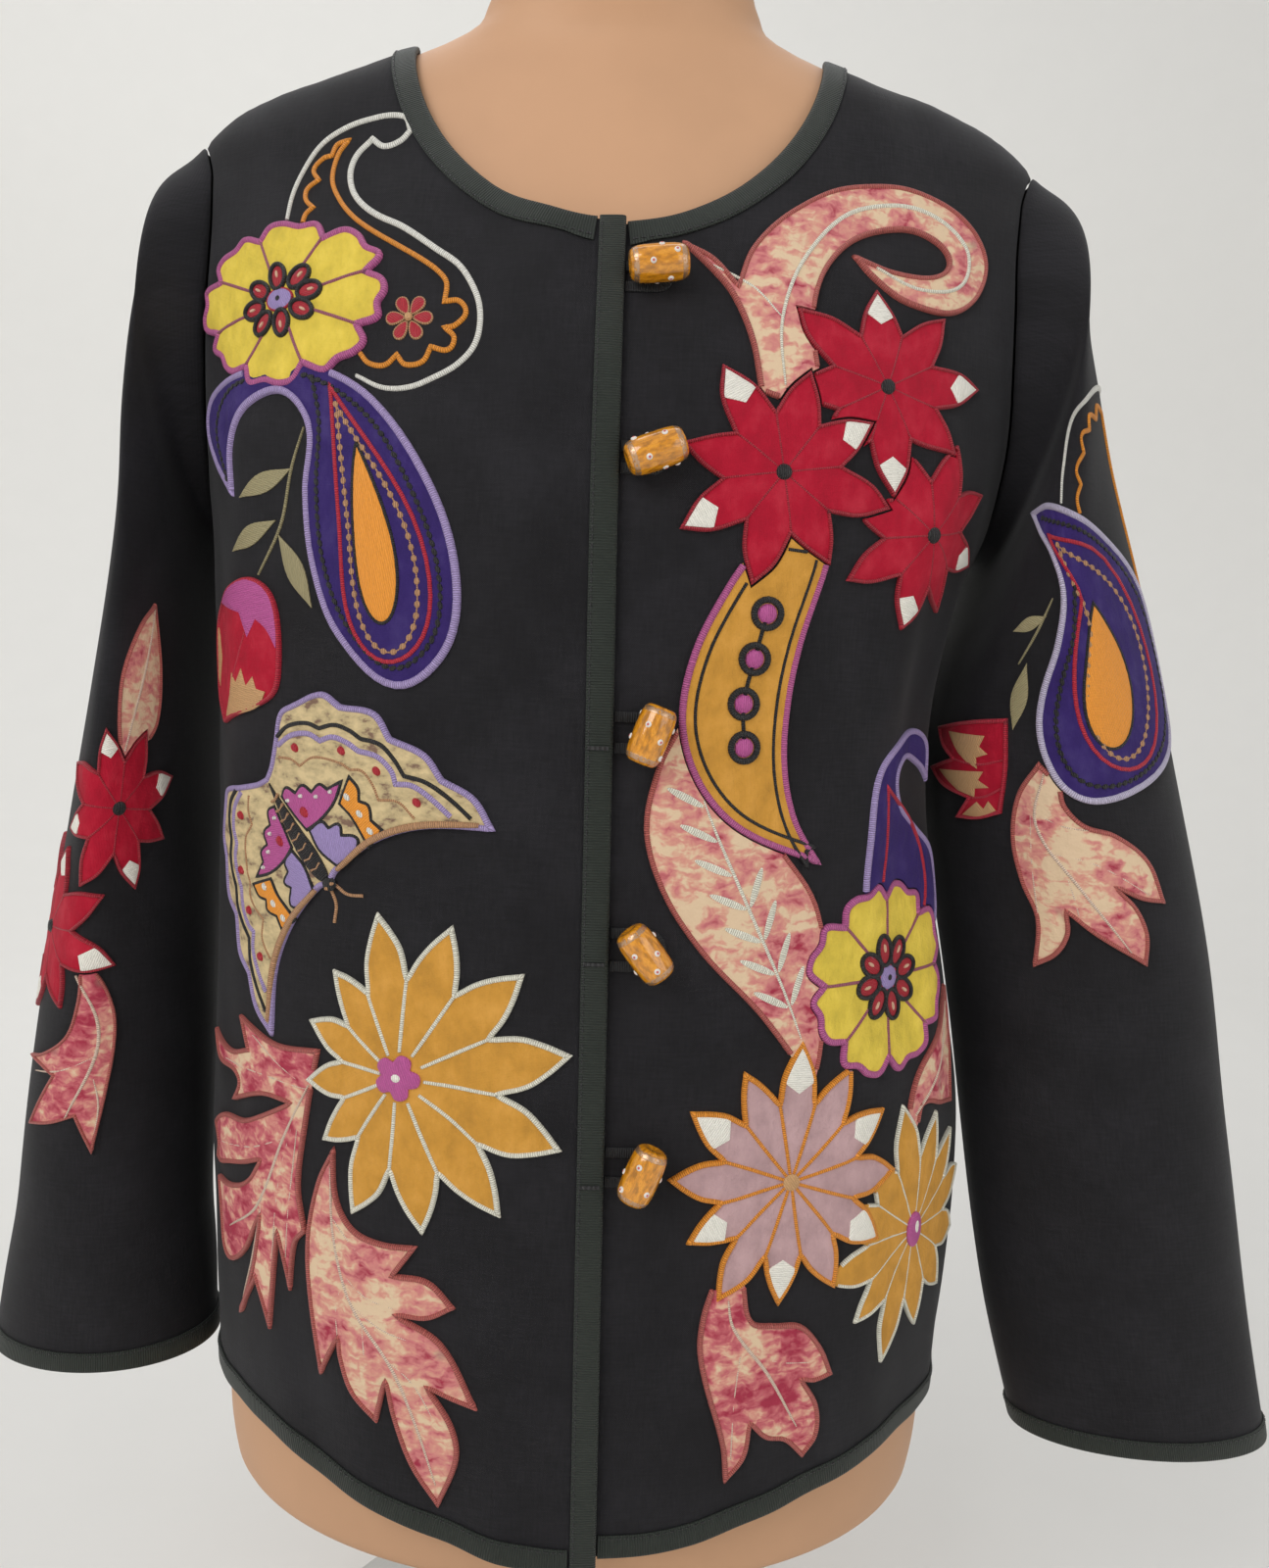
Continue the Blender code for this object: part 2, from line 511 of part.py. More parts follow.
def largest_piece(cells):
    """Returns the cells of the largest group that hangs together by its edges."""
    beside = {}
    for k, (triangle, _) in enumerate(cells):
        for n in range(3):
            beside.setdefault(frozenset((triangle[n], triangle[(n + 1) % 3])), []).append(k)
    left = set(range(len(cells)))
    best = []
    while left:
        group = [left.pop()]
        for k in group:
            triangle = cells[k][0]
            for n in range(3):
                near = [m for m in beside[frozenset((triangle[n], triangle[(n + 1) % 3]))] if m in left]
                left.difference_update(near)
                group += near
        best = max(best, group, key=len)
    return [cells[k] for k in sorted(best)]


def free_spans(mine, theirs):
    """Returns the stretches of depth that one column of cloth holds and its neighbour doesn't."""
    spans = []
    for low, high in mine:
        start = low
        for other_low, other_high in sorted(theirs):
            if other_high <= start or other_low >= high:
                continue
            if other_low > start:
                spans.append((start, other_low))
            start = max(start, other_high)
        if start < high:
            spans.append((start, high))
    return spans


def layered(name, sheet, outlines, layers, finish_name, holes=()):
    """Adds a solid on a sheet: each outline holds cloth between the depths of its layers."""
    flat, cells = cut_cells(outlines, holes)
    used = {}
    edge_layers = {}
    for triangle, zone in cells:
        for v in triangle:
            used.setdefault(v, set()).update(level for span in layers[zone] for level in span)
        for k in range(3):
            edge_layers[triangle[k], triangle[(k + 1) % 3]] = layers[zone]
    points = []
    number = {}

    def vertex(v, level):
        if (v, level) not in number:
            number[v, level] = len(points)
            points.append(sheet.place(flat[v].x, flat[v].y, level))
        return number[v, level]

    faces = []
    for triangle, zone in cells:
        for low, high in layers[zone]:
            faces.append([vertex(v, high) for v in triangle])
            faces.append([vertex(v, low) for v in reversed(triangle)])
    for (a, b), mine in edge_layers.items():
        for low, high in free_spans(mine, edge_layers.get((b, a), ())):
            up = [vertex(a, level) for level in sorted(used[a], reverse=True) if low <= level <= high]
            down = [vertex(b, level) for level in sorted(used[b]) if low <= level <= high]
            faces.append(up + down)
    return add_object(name, points, faces, finish_name)


def grown(outline, distance):
    """Returns a closed flat outline moved outwards."""
    line = np.asarray(outline if flat_area(outline) > 0 else outline[::-1], float)
    steps = np.roll(line, -1, axis=0) - line
    steps /= np.linalg.norm(steps, axis=1, keepdims=True)
    out = np.stack((steps[:, 1], -steps[:, 0]), axis=1)
    corner = out + np.roll(out, 1, axis=0)
    corner /= np.maximum(np.linalg.norm(corner, axis=1, keepdims=True), 1e-9)
    widen = 1 / np.maximum(np.sum(corner * out, axis=1), 0.6)
    return [tuple(p) for p in line + corner * widen[:, None] * distance]


# Edges of the body, as flat lines
def hem_height(across, lifted=0.0):
    """Returns the hem's height, which rises towards the side and may be lifted at the front edge."""
    away = abs(across)
    near_side = smooth_step((away - 0.16) / 0.09)
    near_edge = 1 - smooth_step(away / 0.06)
    return HEM_LOW + HEM_RISE * smooth_step(away / HEM_RUN) - SIDE_DIP * near_side + lifted * near_edge


def front_edge(height):
    """Returns where the upper front's edge lies across the middle line at a height."""
    share = (FRONT_NECK_PIT - height) / FRONT_NECK_PIT
    return FRONT_EDGE_TOP + (FRONT_EDGE_BOTTOM - FRONT_EDGE_TOP) * share


def neck_line(body, side, pit, steps=9):
    """Returns the neckline from the middle of a front or back to the neck point on one side seam."""
    power = 1.9 if body.depth == "front" else 2.4
    line = []
    for k in range(steps + 1):
        angle = math.pi / 2 * k / steps
        out = math.sin(angle) ** (2 / power)
        height = pit + (NECK_POINT - pit) * (1 - abs(math.cos(angle)) ** (2 / power))
        x = NECK_HALF_WIDTH * out
        half = body.half_run(side, height)
        reach = abs(body.run_at(x, height, side)) if k < steps else half
        line.append((side * min(reach, half), height))
    return line


def armhole_place(body, side, turn, inside=0.0):
    """Returns the flat place on the armhole at a turn: 0 at the armpit, 90 in the middle, 180 at the shoulder.
    It may be moved some way into the hole."""
    angle = math.radians(turn)
    height = ARMPIT + (SHOULDER_POINT - ARMPIT) * (1 - math.cos(angle)) / 2
    share = ARMHOLE_REACH * math.sin(angle) ** 0.8 * (1 + 0.10 * math.cos(angle))
    reach = body.half_run(side, height) * (1 - share) + inside * math.sin(angle)
    return (side * reach, height + inside * math.cos(angle))


def armhole_line(body, side, steps):
    """Returns the armhole's edge on a front or back, from the armpit to the shoulder point."""
    return [armhole_place(body, side, 180 * k / steps) for k in range(steps + 1)]


def seam_run(body, side):
    """Returns the place across of a side seam's foot."""
    return side * body.half_run(side, hem_height(0.25))


def hem_line(start, end, lifted=0.0, steps=8):
    """Returns the hem from one place across to another."""
    return [(a, hem_height(a, lifted)) for a in np.linspace(start, end, steps + 1)]


def front_lines(body, side, inner_edge, lifted):
    """Returns a front's hem, armhole, neckline and front edge as flat lines."""
    hem = hem_line(inner_edge(HEM_LOW), seam_run(body, side), lifted)
    hole = armhole_line(body, side, SLEEVE_COLUMNS // 2)
    neck = neck_line(body, side, FRONT_NECK_PIT)
    neck = [p for p in neck if side * p[0] > side * inner_edge(p[1]) + 0.002]
    stops = np.linspace(hem[0][1], FRONT_NECK_PIT, 6)
    edge = [hem[0]] + [(inner_edge(z), z) for z in stops[1:]]
    return hem, hole, [edge[-1]] + neck, edge


def panel_outline(hem, hole, neck, edge):
    """Returns a front's outline from its lines."""
    return hem + hole + neck[::-1] + edge[::-1]


def back_lines(body):
    """Returns the back's hem, its two armholes and its neckline as flat lines."""
    hem = hem_line(seam_run(body, -1), seam_run(body, 1), steps=16)
    holes = [armhole_line(body, side, SLEEVE_COLUMNS // 2) for side in (1, -1)]
    neck = neck_line(body, -1, BACK_NECK_PIT)[:0:-1] + neck_line(body, 1, BACK_NECK_PIT)
    return hem, holes, neck


def mapped(sheet, outline):
    """Returns the index places of a flat outline, with no two points alike."""
    places = [sheet.index(a, z) for a, z in outline]
    kept = [p for k, p in enumerate(places) if math.dist(p, places[k - 1]) > 1e-4]
    return kept


def unit(vector):
    """Returns a vector at length 1."""
    return vector / np.linalg.norm(vector)


def slopes_at(sheet, column, row):
    """Returns how a sheet's point moves for each column and each row."""
    probe = 0.2
    sides = [sheet.place(column + step, row, 0.0) for step in (-probe, probe)]
    ends = [sheet.place(column, row + step, 0.0) for step in (-probe, probe)]
    return (sides[1] - sides[0]) / (2 * probe), (ends[1] - ends[0]) / (2 * probe)


def shifted(sheet, places, distance, steps=3):
    """Returns a line of index places moved to its left by a distance measured along the cloth."""
    line = [tuple(p) for p in places]
    for _ in range(steps):
        moved = []
        for k, (column, row) in enumerate(line):
            ahead = line[min(k + 1, len(line) - 1)]
            behind = line[max(k - 1, 0)]
            along = unit(sheet.place(*ahead, 0.0) - sheet.place(*behind, 0.0))
            per_column, per_row = slopes_at(sheet, column, row)
            left = unit(np.cross(unit(np.cross(per_column, per_row)), along)) * distance / steps
            step = np.linalg.lstsq(np.stack((per_column, per_row), axis=1), left, rcond=None)[0]
            moved.append((min(max(column + step[0], 0.0), sheet.columns), row + step[1]))
        line = moved
    return line


def clipped(places, low, high):
    """Returns the stretch of a line of index places that lies between two columns."""
    line = []
    for first, last in zip(places, places[1:]):
        run = last[0] - first[0]
        if low <= first[0] <= high:
            line.append(first)
        cuts = sorted((limit - first[0]) / run for limit in (low, high)) if run else []
        line += [(first[0] + run * t, first[1] + (last[1] - first[1]) * t) for t in cuts if 0 < t < 1]
    if low <= places[-1][0] <= high:
        line.append(places[-1])
    return line


def binding(name, sheet, edge, cloth_left, low=0.0, high=math.inf):
    """Adds a ribbon laid over an edge and round its rim, between two columns. The cloth lies to the left of
    the edge line or not."""
    side = 1 if cloth_left else -1
    line = clipped(mapped(sheet, edge), low, high)
    rim = shifted(sheet, line, -side * (SEAM_GAP + RIBBON))
    lip = shifted(sheet, line, -side * SEAM_GAP)
    inner = shifted(sheet, line, side * RIBBON_WIDTH)
    top = SEAM_GAP + RIBBON
    outlines = [rim + lip[::-1], lip + inner[::-1]]
    return layered(name, sheet, outlines, [[(-CLOTH, top)], [(SEAM_GAP, top)]], "ribbon")


def ribbon_start(height):
    """Returns the place across where a ribbon or loop on the left front comes out from under the lap."""
    return front_edge(height) + RIBBON + 3 * SEAM_GAP


def lap_lift(across):
    """Returns how far the right front stands off to lie over the left one."""
    return LAP_LIFT * smooth_step((across - LAP_RAMP[0]) / (LAP_RAMP[1] - LAP_RAMP[0]))


def make_body():
    """Builds the two fronts, the back and the ribbons on their edges."""
    upper = Body(JACKET, "front", BODY_FOLDS, lap_lift)
    under = Body(JACKET, "front", BODY_FOLDS)
    back = Body(JACKET, "back", BACK_FOLDS)
    right = front_lines(upper, -1, front_edge, 0.0)
    left = front_lines(under, 1, lambda z: -LAP_UNDER, LEFT_HEM_RAISE)
    hem, holes, neck = back_lines(back)
    wall = [[(-CLOTH, 0.0)]]
    layered("front_right", upper, [mapped(upper, panel_outline(*right))], wall, "black_cloth")
    layered("front_left", under, [mapped(under, panel_outline(*left))], wall, "black_cloth")
    whole = hem + holes[0] + neck[::-1] + holes[1][::-1]
    layered("back", back, [mapped(back, whole)], wall, "black_cloth")

    foot = hem[0][1]
    clear = 0.0009
    inner_neck = upper.index(front_edge(FRONT_NECK_PIT) - RIBBON_WIDTH - clear, FRONT_NECK_PIT)[0]
    inner_foot = upper.index(front_edge(foot) - RIBBON_WIDTH - clear, foot)[0]
    outer_neck = under.index(ribbon_start(FRONT_NECK_PIT), FRONT_NECK_PIT)[0]
    outer_foot = under.index(ribbon_start(HEM_LOW), HEM_LOW)[0]
    binding("front_binding", upper, right[3], True)
    binding("neck_binding_right", upper, right[2], True, high=inner_neck)
    binding("neck_binding_left", under, left[2], False, low=outer_neck)
    binding("neck_binding_back", back, neck, False)
    binding("hem_binding_right", upper, right[0], False, high=inner_foot)
    binding("hem_binding_left", under, left[0], True, low=outer_foot)
    binding("hem_binding_back", back, hem, True)
    return upper, under, back


def make_form():
    """Builds the smooth limbless form as one closed solid."""
    rows = [row.height for row in FORM]
    quarters = (("left", "front"), ("left", "back"), ("right", "back"), ("right", "front"))
    points = []
    for z in rows:
        for k in range(FORM_COLUMNS):
            number, share = divmod(4 * k / FORM_COLUMNS, 1)
            half, depth = quarters[int(number)]
            run, x, y = quarter(FORM, z, half, depth)
            along = (share if number % 2 == 0 else 1 - share) * run[-1]
            out = float(np.interp(along, run, x))
            deep = float(np.interp(along, run, y))
            points.append((out if half == "left" else -out, deep if depth == "back" else -deep, z))
    faces = []
    for j in range(len(rows) - 1):
        for k in range(FORM_COLUMNS):
            a = j * FORM_COLUMNS + k
            b = j * FORM_COLUMNS + (k + 1) % FORM_COLUMNS
            faces.append((a, b, b + FORM_COLUMNS, a + FORM_COLUMNS))
    last = (len(rows) - 1) * FORM_COLUMNS
    faces.append(tuple(range(FORM_COLUMNS))[::-1])
    faces.append(tuple(range(last, last + FORM_COLUMNS)))
    add_object("dress_form", points, faces, "form_shell")


def turned(name, profile, columns, finish_name, place=None):
    """Adds a solid turned about its own axis from a profile of (radius, distance along)."""
    ring = [2 * math.pi * k / columns for k in range(columns)]
    points = [Vector((r * math.cos(t), r * math.sin(t), along)) for r, along in profile for t in ring]
    points = [place @ p if place else p for p in points]
    faces = []
    for j in range(len(profile) - 1):
        for k in range(columns):
            a = j * columns + k
            b = j * columns + (k + 1) % columns
            faces.append((a, b, b + columns, a + columns))
    last = (len(profile) - 1) * columns
    faces.append(tuple(range(columns))[::-1])
    faces.append(tuple(range(last, last + columns)))
    return add_object(name, points, faces, finish_name)


def make_bead(number, row, sheet):
    """Builds a barrel bead that lies on the left front, over its loop."""
    column, line = sheet.index(row.across, row.height)
    here = sheet.place(column, line, 0.0)
    level = unit(sheet.place(column + 0.3, line, 0.0) - sheet.place(column - 0.3, line, 0.0))
    out = unit(sheet.place(column, line, 1.0) - here)
    rise = np.cross(out, level)
    lean = math.radians(row.lean)
    axis = level * math.cos(lean) + rise * math.sin(lean)
    aside = np.cross(out, axis)
    middle = here + out * (BEAD_LIFT + BEAD_RADIUS)
    place = Matrix([[aside[k], out[k], axis[k], middle[k]] for k in range(3)] + [[0, 0, 0, 1]])
    half = BEAD_LENGTH / 2
    profile = [(0.58, -1.0), (0.80, -0.93), (0.97, -0.60), (0.97, 0.60), (0.80, 0.93), (0.58, 1.0)]
    rings = [(BEAD_RADIUS * r, half * z) for r, z in profile]
    turned("bead_" + str(number), rings, BEAD_COLUMNS, "amber_glass", place)


def loop_outline(row):
    """Returns the flat outline of the band that comes out at the lap and turns back round under a bead."""
    start = ribbon_start(row.height)
    bend = front_edge(row.height) + row.reach - row.half
    outline = []
    for radius, turns in ((row.half, range(-90, 91, 30)), (row.half - LOOP_WIDTH, range(90, -91, -45))):
        angles = [math.radians(turn) for turn in turns]
        arc = [(bend + radius * math.cos(t), row.height + radius * math.sin(t)) for t in angles]
        outline += [(start, arc[0][1])] + arc + [(start, arc[-1][1])]
    return outline


def make_beads(under):
    """Builds the beads and their loops, and returns the loops' outlines."""
    outlines = []
    for number, row in enumerate(BEADS, 1):
        outline = loop_outline(row)
        outlines.append(outline)
        depth = [[(SEAM_GAP, SEAM_GAP + LOOP_THICKNESS)]]
        layered("loop_" + str(number), under, [mapped(under, outline)], depth, "cord")
        make_bead(number, row, under)
    return outlines


def curved(knots):
    """Returns the points of a closed curve through knots in millimetres, straight between two corners."""
    places = [np.array(knot[:2]) * MM for knot in knots]
    sharp = [len(knot) > 2 for knot in knots]
    count = len(places)
    points = []
    for k, here in enumerate(places):
        after = places[(k + 1) % count]
        straight = after - here
        reach = np.linalg.norm(straight)
        leaves = straight if sharp[k] else unit(after - places[k - 1]) * reach
        meets = straight if sharp[(k + 1) % count] else unit(places[(k + 2) % count] - here) * reach
        for step in range(CURVE_STEPS):
            t = step / CURVE_STEPS
            points.append(here * (1 + 2 * t) * (1 - t) ** 2 + leaves * t * (1 - t) ** 2
                          + after * t * t * (3 - 2 * t) + meets * t * t * (t - 1))
    return points


def thinned(line):
    """Returns the points of an open line that are needed to stay near all of them."""
    run = line[-1] - line[0]
    shares = [np.clip((p - line[0]) @ run / max(run @ run, 1e-12), 0, 1) for p in line]
    off = [np.linalg.norm(p - line[0] - run * share) for p, share in zip(line, shares)]
    far = int(np.argmax(off))
    if off[far] <= OUTLINE_TOLERANCE:
        return [line[0], line[-1]]
    return thinned(line[:far + 1])[:-1] + thinned(line[far:])


def outline_through(knots):
    """Returns a motif's flat outline through its knots, with no more points than its shape needs."""
    points = curved(knots)
    middle = sum(points) / len(points)
    start = int(np.argmax([np.linalg.norm(p - middle) for p in points]))
    points = points[start:] + points[:start + 1]
    far = int(np.argmax([np.linalg.norm(p - points[0]) for p in points]))
    return [tuple(p) for p in thinned(points[:far + 1])[:-1] + thinned(points[far:])[:-1]]


def flower_knots(row):
    """Returns the knots of a flower's edge."""
    knots = []
    for petal in range(row.petals):
        longer = 1 + row.uneven * math.sin(2.4 * petal + 1)
        for share, reach, *corner in row.edge:
            turn = math.radians(row.turn + 360 * (petal + share) / row.petals)
            shorter = 1 - row.lean * ((1 - math.cos(turn)) / 2) ** 2
            radius = row.radius * reach * shorter * (longer if share else 1)
            knots.append((row.across + row.stretch * radius * math.cos(turn),
                          row.height + radius * math.sin(turn), *corner))
    return knots


def butterfly_knots(row):
    """Returns the knots of a butterfly's edge."""
    turn = math.radians(row.heading)
    edge = list(row.edge) + [(ahead, -out, *corner) for ahead, out, *corner in row.edge[-2:0:-1]]
    return [(row.across + ahead * math.cos(turn) - out * math.sin(turn),
             row.height + ahead * math.sin(turn) + out * math.cos(turn), *corner) for ahead, out, *corner in edge]


def outline_of(row):
    """Returns a motif's flat outline."""
    if isinstance(row, Flower):
        return outline_through(flower_knots(row))
    return outline_through(row.knots if isinstance(row, Blade) else butterfly_knots(row))


def boxes_meet(first, second):
    """Returns whether the boxes of two flat outlines meet."""
    (a, b), (c, d) = zip(*first), zip(*second)
    return max(min(a), min(c)) < min(max(a), max(c)) and max(min(b), min(d)) < min(max(b), max(d))


def make_patches(sheet, motifs, above=()):
    """Builds the patches on a sheet, each cut to clear those before it and what lies above them all."""
    laid = list(above)
    clear = 0.0008
    for name, outline, finish_name in motifs:
        holes = [mapped(sheet, grown(other, clear)) for other in laid if boxes_meet(outline, other)]
        depth = [[(SEAM_GAP, SEAM_GAP + APPLIQUE)]]
        layered(name, sheet, [mapped(sheet, outline)], depth, finish_name, holes)
        laid.append(outline)


def listed(rows):
    """Returns the name, outline and finish of each motif of a table."""
    return [(row.name, outline_of(row), row.finish) for row in rows]


def make_stand():
    """Builds the round base plate and the pole under the form."""
    edge = 0.002
    base = [(BASE_RADIUS - edge, 0), (BASE_RADIUS, edge), (BASE_RADIUS, BASE_THICKNESS - edge),
            (BASE_RADIUS - edge, BASE_THICKNESS)]
    turned("stand_base", [(r, z - STAND_HEIGHT) for r, z in base], BASE_COLUMNS, "stand_steel")
    foot = BASE_THICKNESS + SEAM_GAP - STAND_HEIGHT
    wide = POLE_RADIUS * 1.9
    collar = 0.008
    pole = [(wide, foot), (wide, foot + collar), (POLE_RADIUS, foot + collar * 1.6), (POLE_RADIUS, -SEAM_GAP)]
    turned("stand_pole", pole, POLE_COLUMNS, "stand_steel")


class Sleeve(Sheet):
    """One sleeve as a tube, from its hem up to the armhole. Its columns run round from the back, by -X and
    the front, and its rows run up."""

    def __init__(self, front, back, side, table, ridges, steps):
        self.side = side
        columns = SLEEVE_COLUMNS
        turns = [360 * i / columns for i in range(columns + 1)]
        head = [self.armhole_point(front, back, turn) for turn in turns]
        knots = [head] + [[self.ring_point(row, turn) for turn in turns] for row in table]
        stops = [0.0]
        for k, step in enumerate(steps):
            stops += [k + (n + 1) / step for n in range(step)]
        flat_knots = np.array(knots).reshape(len(knots), -1)
        rings = [through_rows(range(len(knots)), flat_knots, stop) for stop in stops]
        rings = np.array(rings).reshape(len(stops), columns + 1, 3)
        for j, stop in enumerate(stops):
            middle = rings[j, :-1].mean(axis=0)
            for i, turn in enumerate(turns):
                out = rings[j, i] - middle
                rise = sum(ridge_depth(ridge, turn, stop) for ridge in ridges)
                rings[j, i] += out / np.linalg.norm(out) * rise
        hem = rings[-1]
        up = rings[-2] - hem
        up /= np.linalg.norm(up, axis=1, keepdims=True)
        rows = [hem - up * (SEAM_GAP + RIBBON), hem, hem + up * RIBBON_WIDTH]
        super().__init__(np.array(rows + list(rings[-2::-1])))
        self.close()
        head_out = self.normals[-1] + [self.head_normal(front, back, turn) for turn in turns]
        self.normals[-1] = head_out / np.linalg.norm(head_out, axis=1, keepdims=True)
        run = np.linalg.norm(np.diff(self.points, axis=1), axis=2)
        run = np.concatenate((np.zeros((len(run), 1)), np.cumsum(run, axis=1)), axis=1)
        self.runs = run - run[:, columns // 2, None]

    def index(self, across, height):
        """Returns the index place of a flat place: the run round from the front line, and the height."""
        low, high = 0.0, float(self.rows)
        for _ in range(24):
            row = (low + high) / 2
            first = min(int(row), self.rows - 1)
            run = self.runs[first] + (self.runs[first + 1] - self.runs[first]) * (row - first)
            column = float(np.interp(across, run, range(self.columns + 1)))
            if self.place(column, row, 0.0)[2] < height:
                low = row
            else:
                high = row
        return (snapped(column), snapped(row))

    def armhole_turn(self, turn):
        """Returns whether a turn lies on the front, and the armhole's own turn there."""
        level = math.sin(math.radians(turn)) * -self.side
        return math.cos(math.radians(turn)) < 1e-9, math.degrees(math.acos(max(-1.0, min(1.0, -level))))

    def armhole_index(self, front, back, turn):
        """Returns the body half and the index place that the sleeve meets at a turn."""
        on_front, own = self.armhole_turn(turn)
        half = front if on_front else back
        side = self.side if on_front else -self.side
        return half, half.index(*armhole_place(half, side, own, SLEEVE_INSIDE))

    def armhole_point(self, front, back, turn):
        """Returns the sleeve's point at the armhole at a turn, just clear of the body's edge."""
        half, (column, row) = self.armhole_index(front, back, turn)
        return half.place(column, row, SLEEVE_PROUD)

    def head_normal(self, front, back, turn):
        """Returns the body's outward direction where the sleeve meets it."""
        half, (column, row) = self.armhole_index(front, back, turn)
        out = half.place(column, row, 1.0) - half.place(column, row, 0.0)
        return out / np.linalg.norm(out)

    def ring_point(self, row, turn):
        """Returns the point of one ring of the table at a turn."""
        across = -math.sin(math.radians(turn)) * self.side
        deep = math.cos(math.radians(turn))
        outer = np.array((row.outer * self.side, row.middle, row.outer_height))
        inner = np.array((row.inner * self.side, row.middle, row.inner_height))
        return (outer + inner) / 2 + (outer - inner) / 2 * across + np.array((0.0, row.depth * deep, 0.0))


def ridge_depth(ridge, turn, stop):
    """Returns how far a ridge lifts a sleeve at a turn and a ring."""
    share = (stop - ridge.top) / (ridge.foot - ridge.top)
    middle = ridge.turn_top + (ridge.turn_foot - ridge.turn_top) * min(max(share, 0), 1)
    off = (turn - middle + 180) % 360 - 180
    fade = smooth_step(share * 4 + 0.2) * smooth_step((1 - share) * 2.5 + 0.2)
    return ridge.depth * fade * math.exp(-((off / ridge.width) ** 2))


def tube(name, sheet, places, finish_name):
    """Adds a closed ring of cloth round a sleeve, from its cross-section's (row, depth) places."""
    points = [sheet.place(i, row, off) for row, off in places for i in range(sheet.columns)]
    count = sheet.columns
    faces = []
    for j in range(len(places)):
        first = j * count
        second = (j + 1) % len(places) * count
        outside = places[j][1] == 0.0
        for k in range(count):
            after = (k + 1) % count
            quad = (first + k, first + after, second + after, second + k)
            faces += [(quad[0], quad[1], quad[2]), (quad[0], quad[2], quad[3])] if outside else \
                [(quad[0], quad[1], quad[3]), (quad[1], quad[2], quad[3])]
    return add_object(name, points, faces, finish_name)


def make_sleeve(name, front, back, side, table, ridges, steps):
    """Builds a sleeve and the ribbon round its hem."""
    sheet = Sleeve(front, back, side, table, ridges, steps)
    up = [(float(row), 0.0) for row in range(1, sheet.rows + 1)]
    down = [(row, -CLOTH) for row, _ in reversed(up)]
    tube("sleeve_" + name, sheet, up + down, "black_cloth")
    over = SEAM_GAP + RIBBON
    lip = 1 - SEAM_GAP / over
    section = [(0.0, over), (2.0, over), (2.0, SEAM_GAP), (lip, SEAM_GAP), (lip, -CLOTH - SEAM_GAP),
               (2.0, -CLOTH - SEAM_GAP), (2.0, -CLOTH - over), (0.0, -CLOTH - over)]
    tube("cuff_binding_" + name, sheet, section, "ribbon")
    return sheet


def clear_scene():
    """Removes the scene's objects."""
    for old in list(bpy.data.objects):
        bpy.data.objects.remove(old, do_unlink=True)


def main():
    """Builds the whole object."""
    clear_scene()
    make_form()
    make_stand()
    upper, under, back = make_body()
    loops = make_beads(under)
    make_patches(upper, listed(RIGHT_FRONT_MOTIFS))
    make_patches(under, listed(LEFT_FRONT_MOTIFS), loops)
    sleeve = make_sleeve("right", upper, back, -1, SLEEVE_RIGHT, RIDGES_RIGHT, SLEEVE_STEPS)
    make_patches(sleeve, listed(RIGHT_SLEEVE_MOTIFS))
    sleeve = make_sleeve("left", under, back, 1, SLEEVE_LEFT, RIDGES_LEFT, SLEEVE_STEPS)
    make_patches(sleeve, listed(LEFT_SLEEVE_MOTIFS))


main()
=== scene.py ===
"""An embroidered jacket on a limbless dress form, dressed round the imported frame.

Metres, +Z up, the front towards -Y, the wearer's right at -X. A flat place on the cloth is (across, height)
in millimetres: the run along the cloth from its middle line, and the height above the form's lower edge.
"""

from __future__ import annotations

import logging
import math
from dataclasses import dataclass, field
from enum import Enum
from typing import Callable, Iterable, Sequence

import bmesh
import bpy
import numpy as np
from mathutils import Matrix, Vector
from mathutils.geometry import delaunay_2d_cdt


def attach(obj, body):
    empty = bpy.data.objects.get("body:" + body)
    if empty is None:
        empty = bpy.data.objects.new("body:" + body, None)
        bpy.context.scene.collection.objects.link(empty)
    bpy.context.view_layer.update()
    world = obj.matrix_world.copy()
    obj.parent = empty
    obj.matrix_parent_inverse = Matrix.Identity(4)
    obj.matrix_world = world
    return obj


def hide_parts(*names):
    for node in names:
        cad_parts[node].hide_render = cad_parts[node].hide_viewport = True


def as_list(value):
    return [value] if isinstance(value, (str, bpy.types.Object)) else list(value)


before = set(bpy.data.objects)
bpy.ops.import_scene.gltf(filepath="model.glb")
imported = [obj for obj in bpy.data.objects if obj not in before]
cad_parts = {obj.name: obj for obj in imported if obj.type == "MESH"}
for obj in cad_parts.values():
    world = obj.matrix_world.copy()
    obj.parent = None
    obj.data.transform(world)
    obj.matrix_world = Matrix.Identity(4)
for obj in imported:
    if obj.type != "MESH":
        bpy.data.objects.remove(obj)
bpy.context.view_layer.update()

LOG = logging.getLogger("jacket")
Array = np.ndarray
MM = 0.001

# The body's driving sizes, in metres, as the frame has them
STAND_HEIGHT = 0.160
CLOTH = 0.0015
SEAM_GAP = 0.0003
LAP_LIFT = 0.0031
LAP_UNDER = 0.012
LAP_RAMP = (-0.050, -0.022)
FRONT_EDGE_TOP = 0.0060
FRONT_EDGE_BOTTOM = 0.0150
NECK_HALF_WIDTH = 0.0905
NECK_POINT = 0.6640
FRONT_NECK_PIT = 0.5665
BACK_NECK_PIT = 0.6490
ARMPIT = 0.4480
SHOULDER_POINT = 0.6205
ARMHOLE_REACH = 0.215
SLEEVE_INSIDE = 0.0009
SLEEVE_PROUD = 0.0006
HEM_LOW = 0.0265
HEM_RISE = 0.0300
HEM_RUN = 0.170
SIDE_DIP = 0.008
LEFT_HEM_RAISE = 0.004
RIBBON_WIDTH = 0.0095
BEAD_RADIUS = 0.0072
BEAD_LIFT = 0.0017

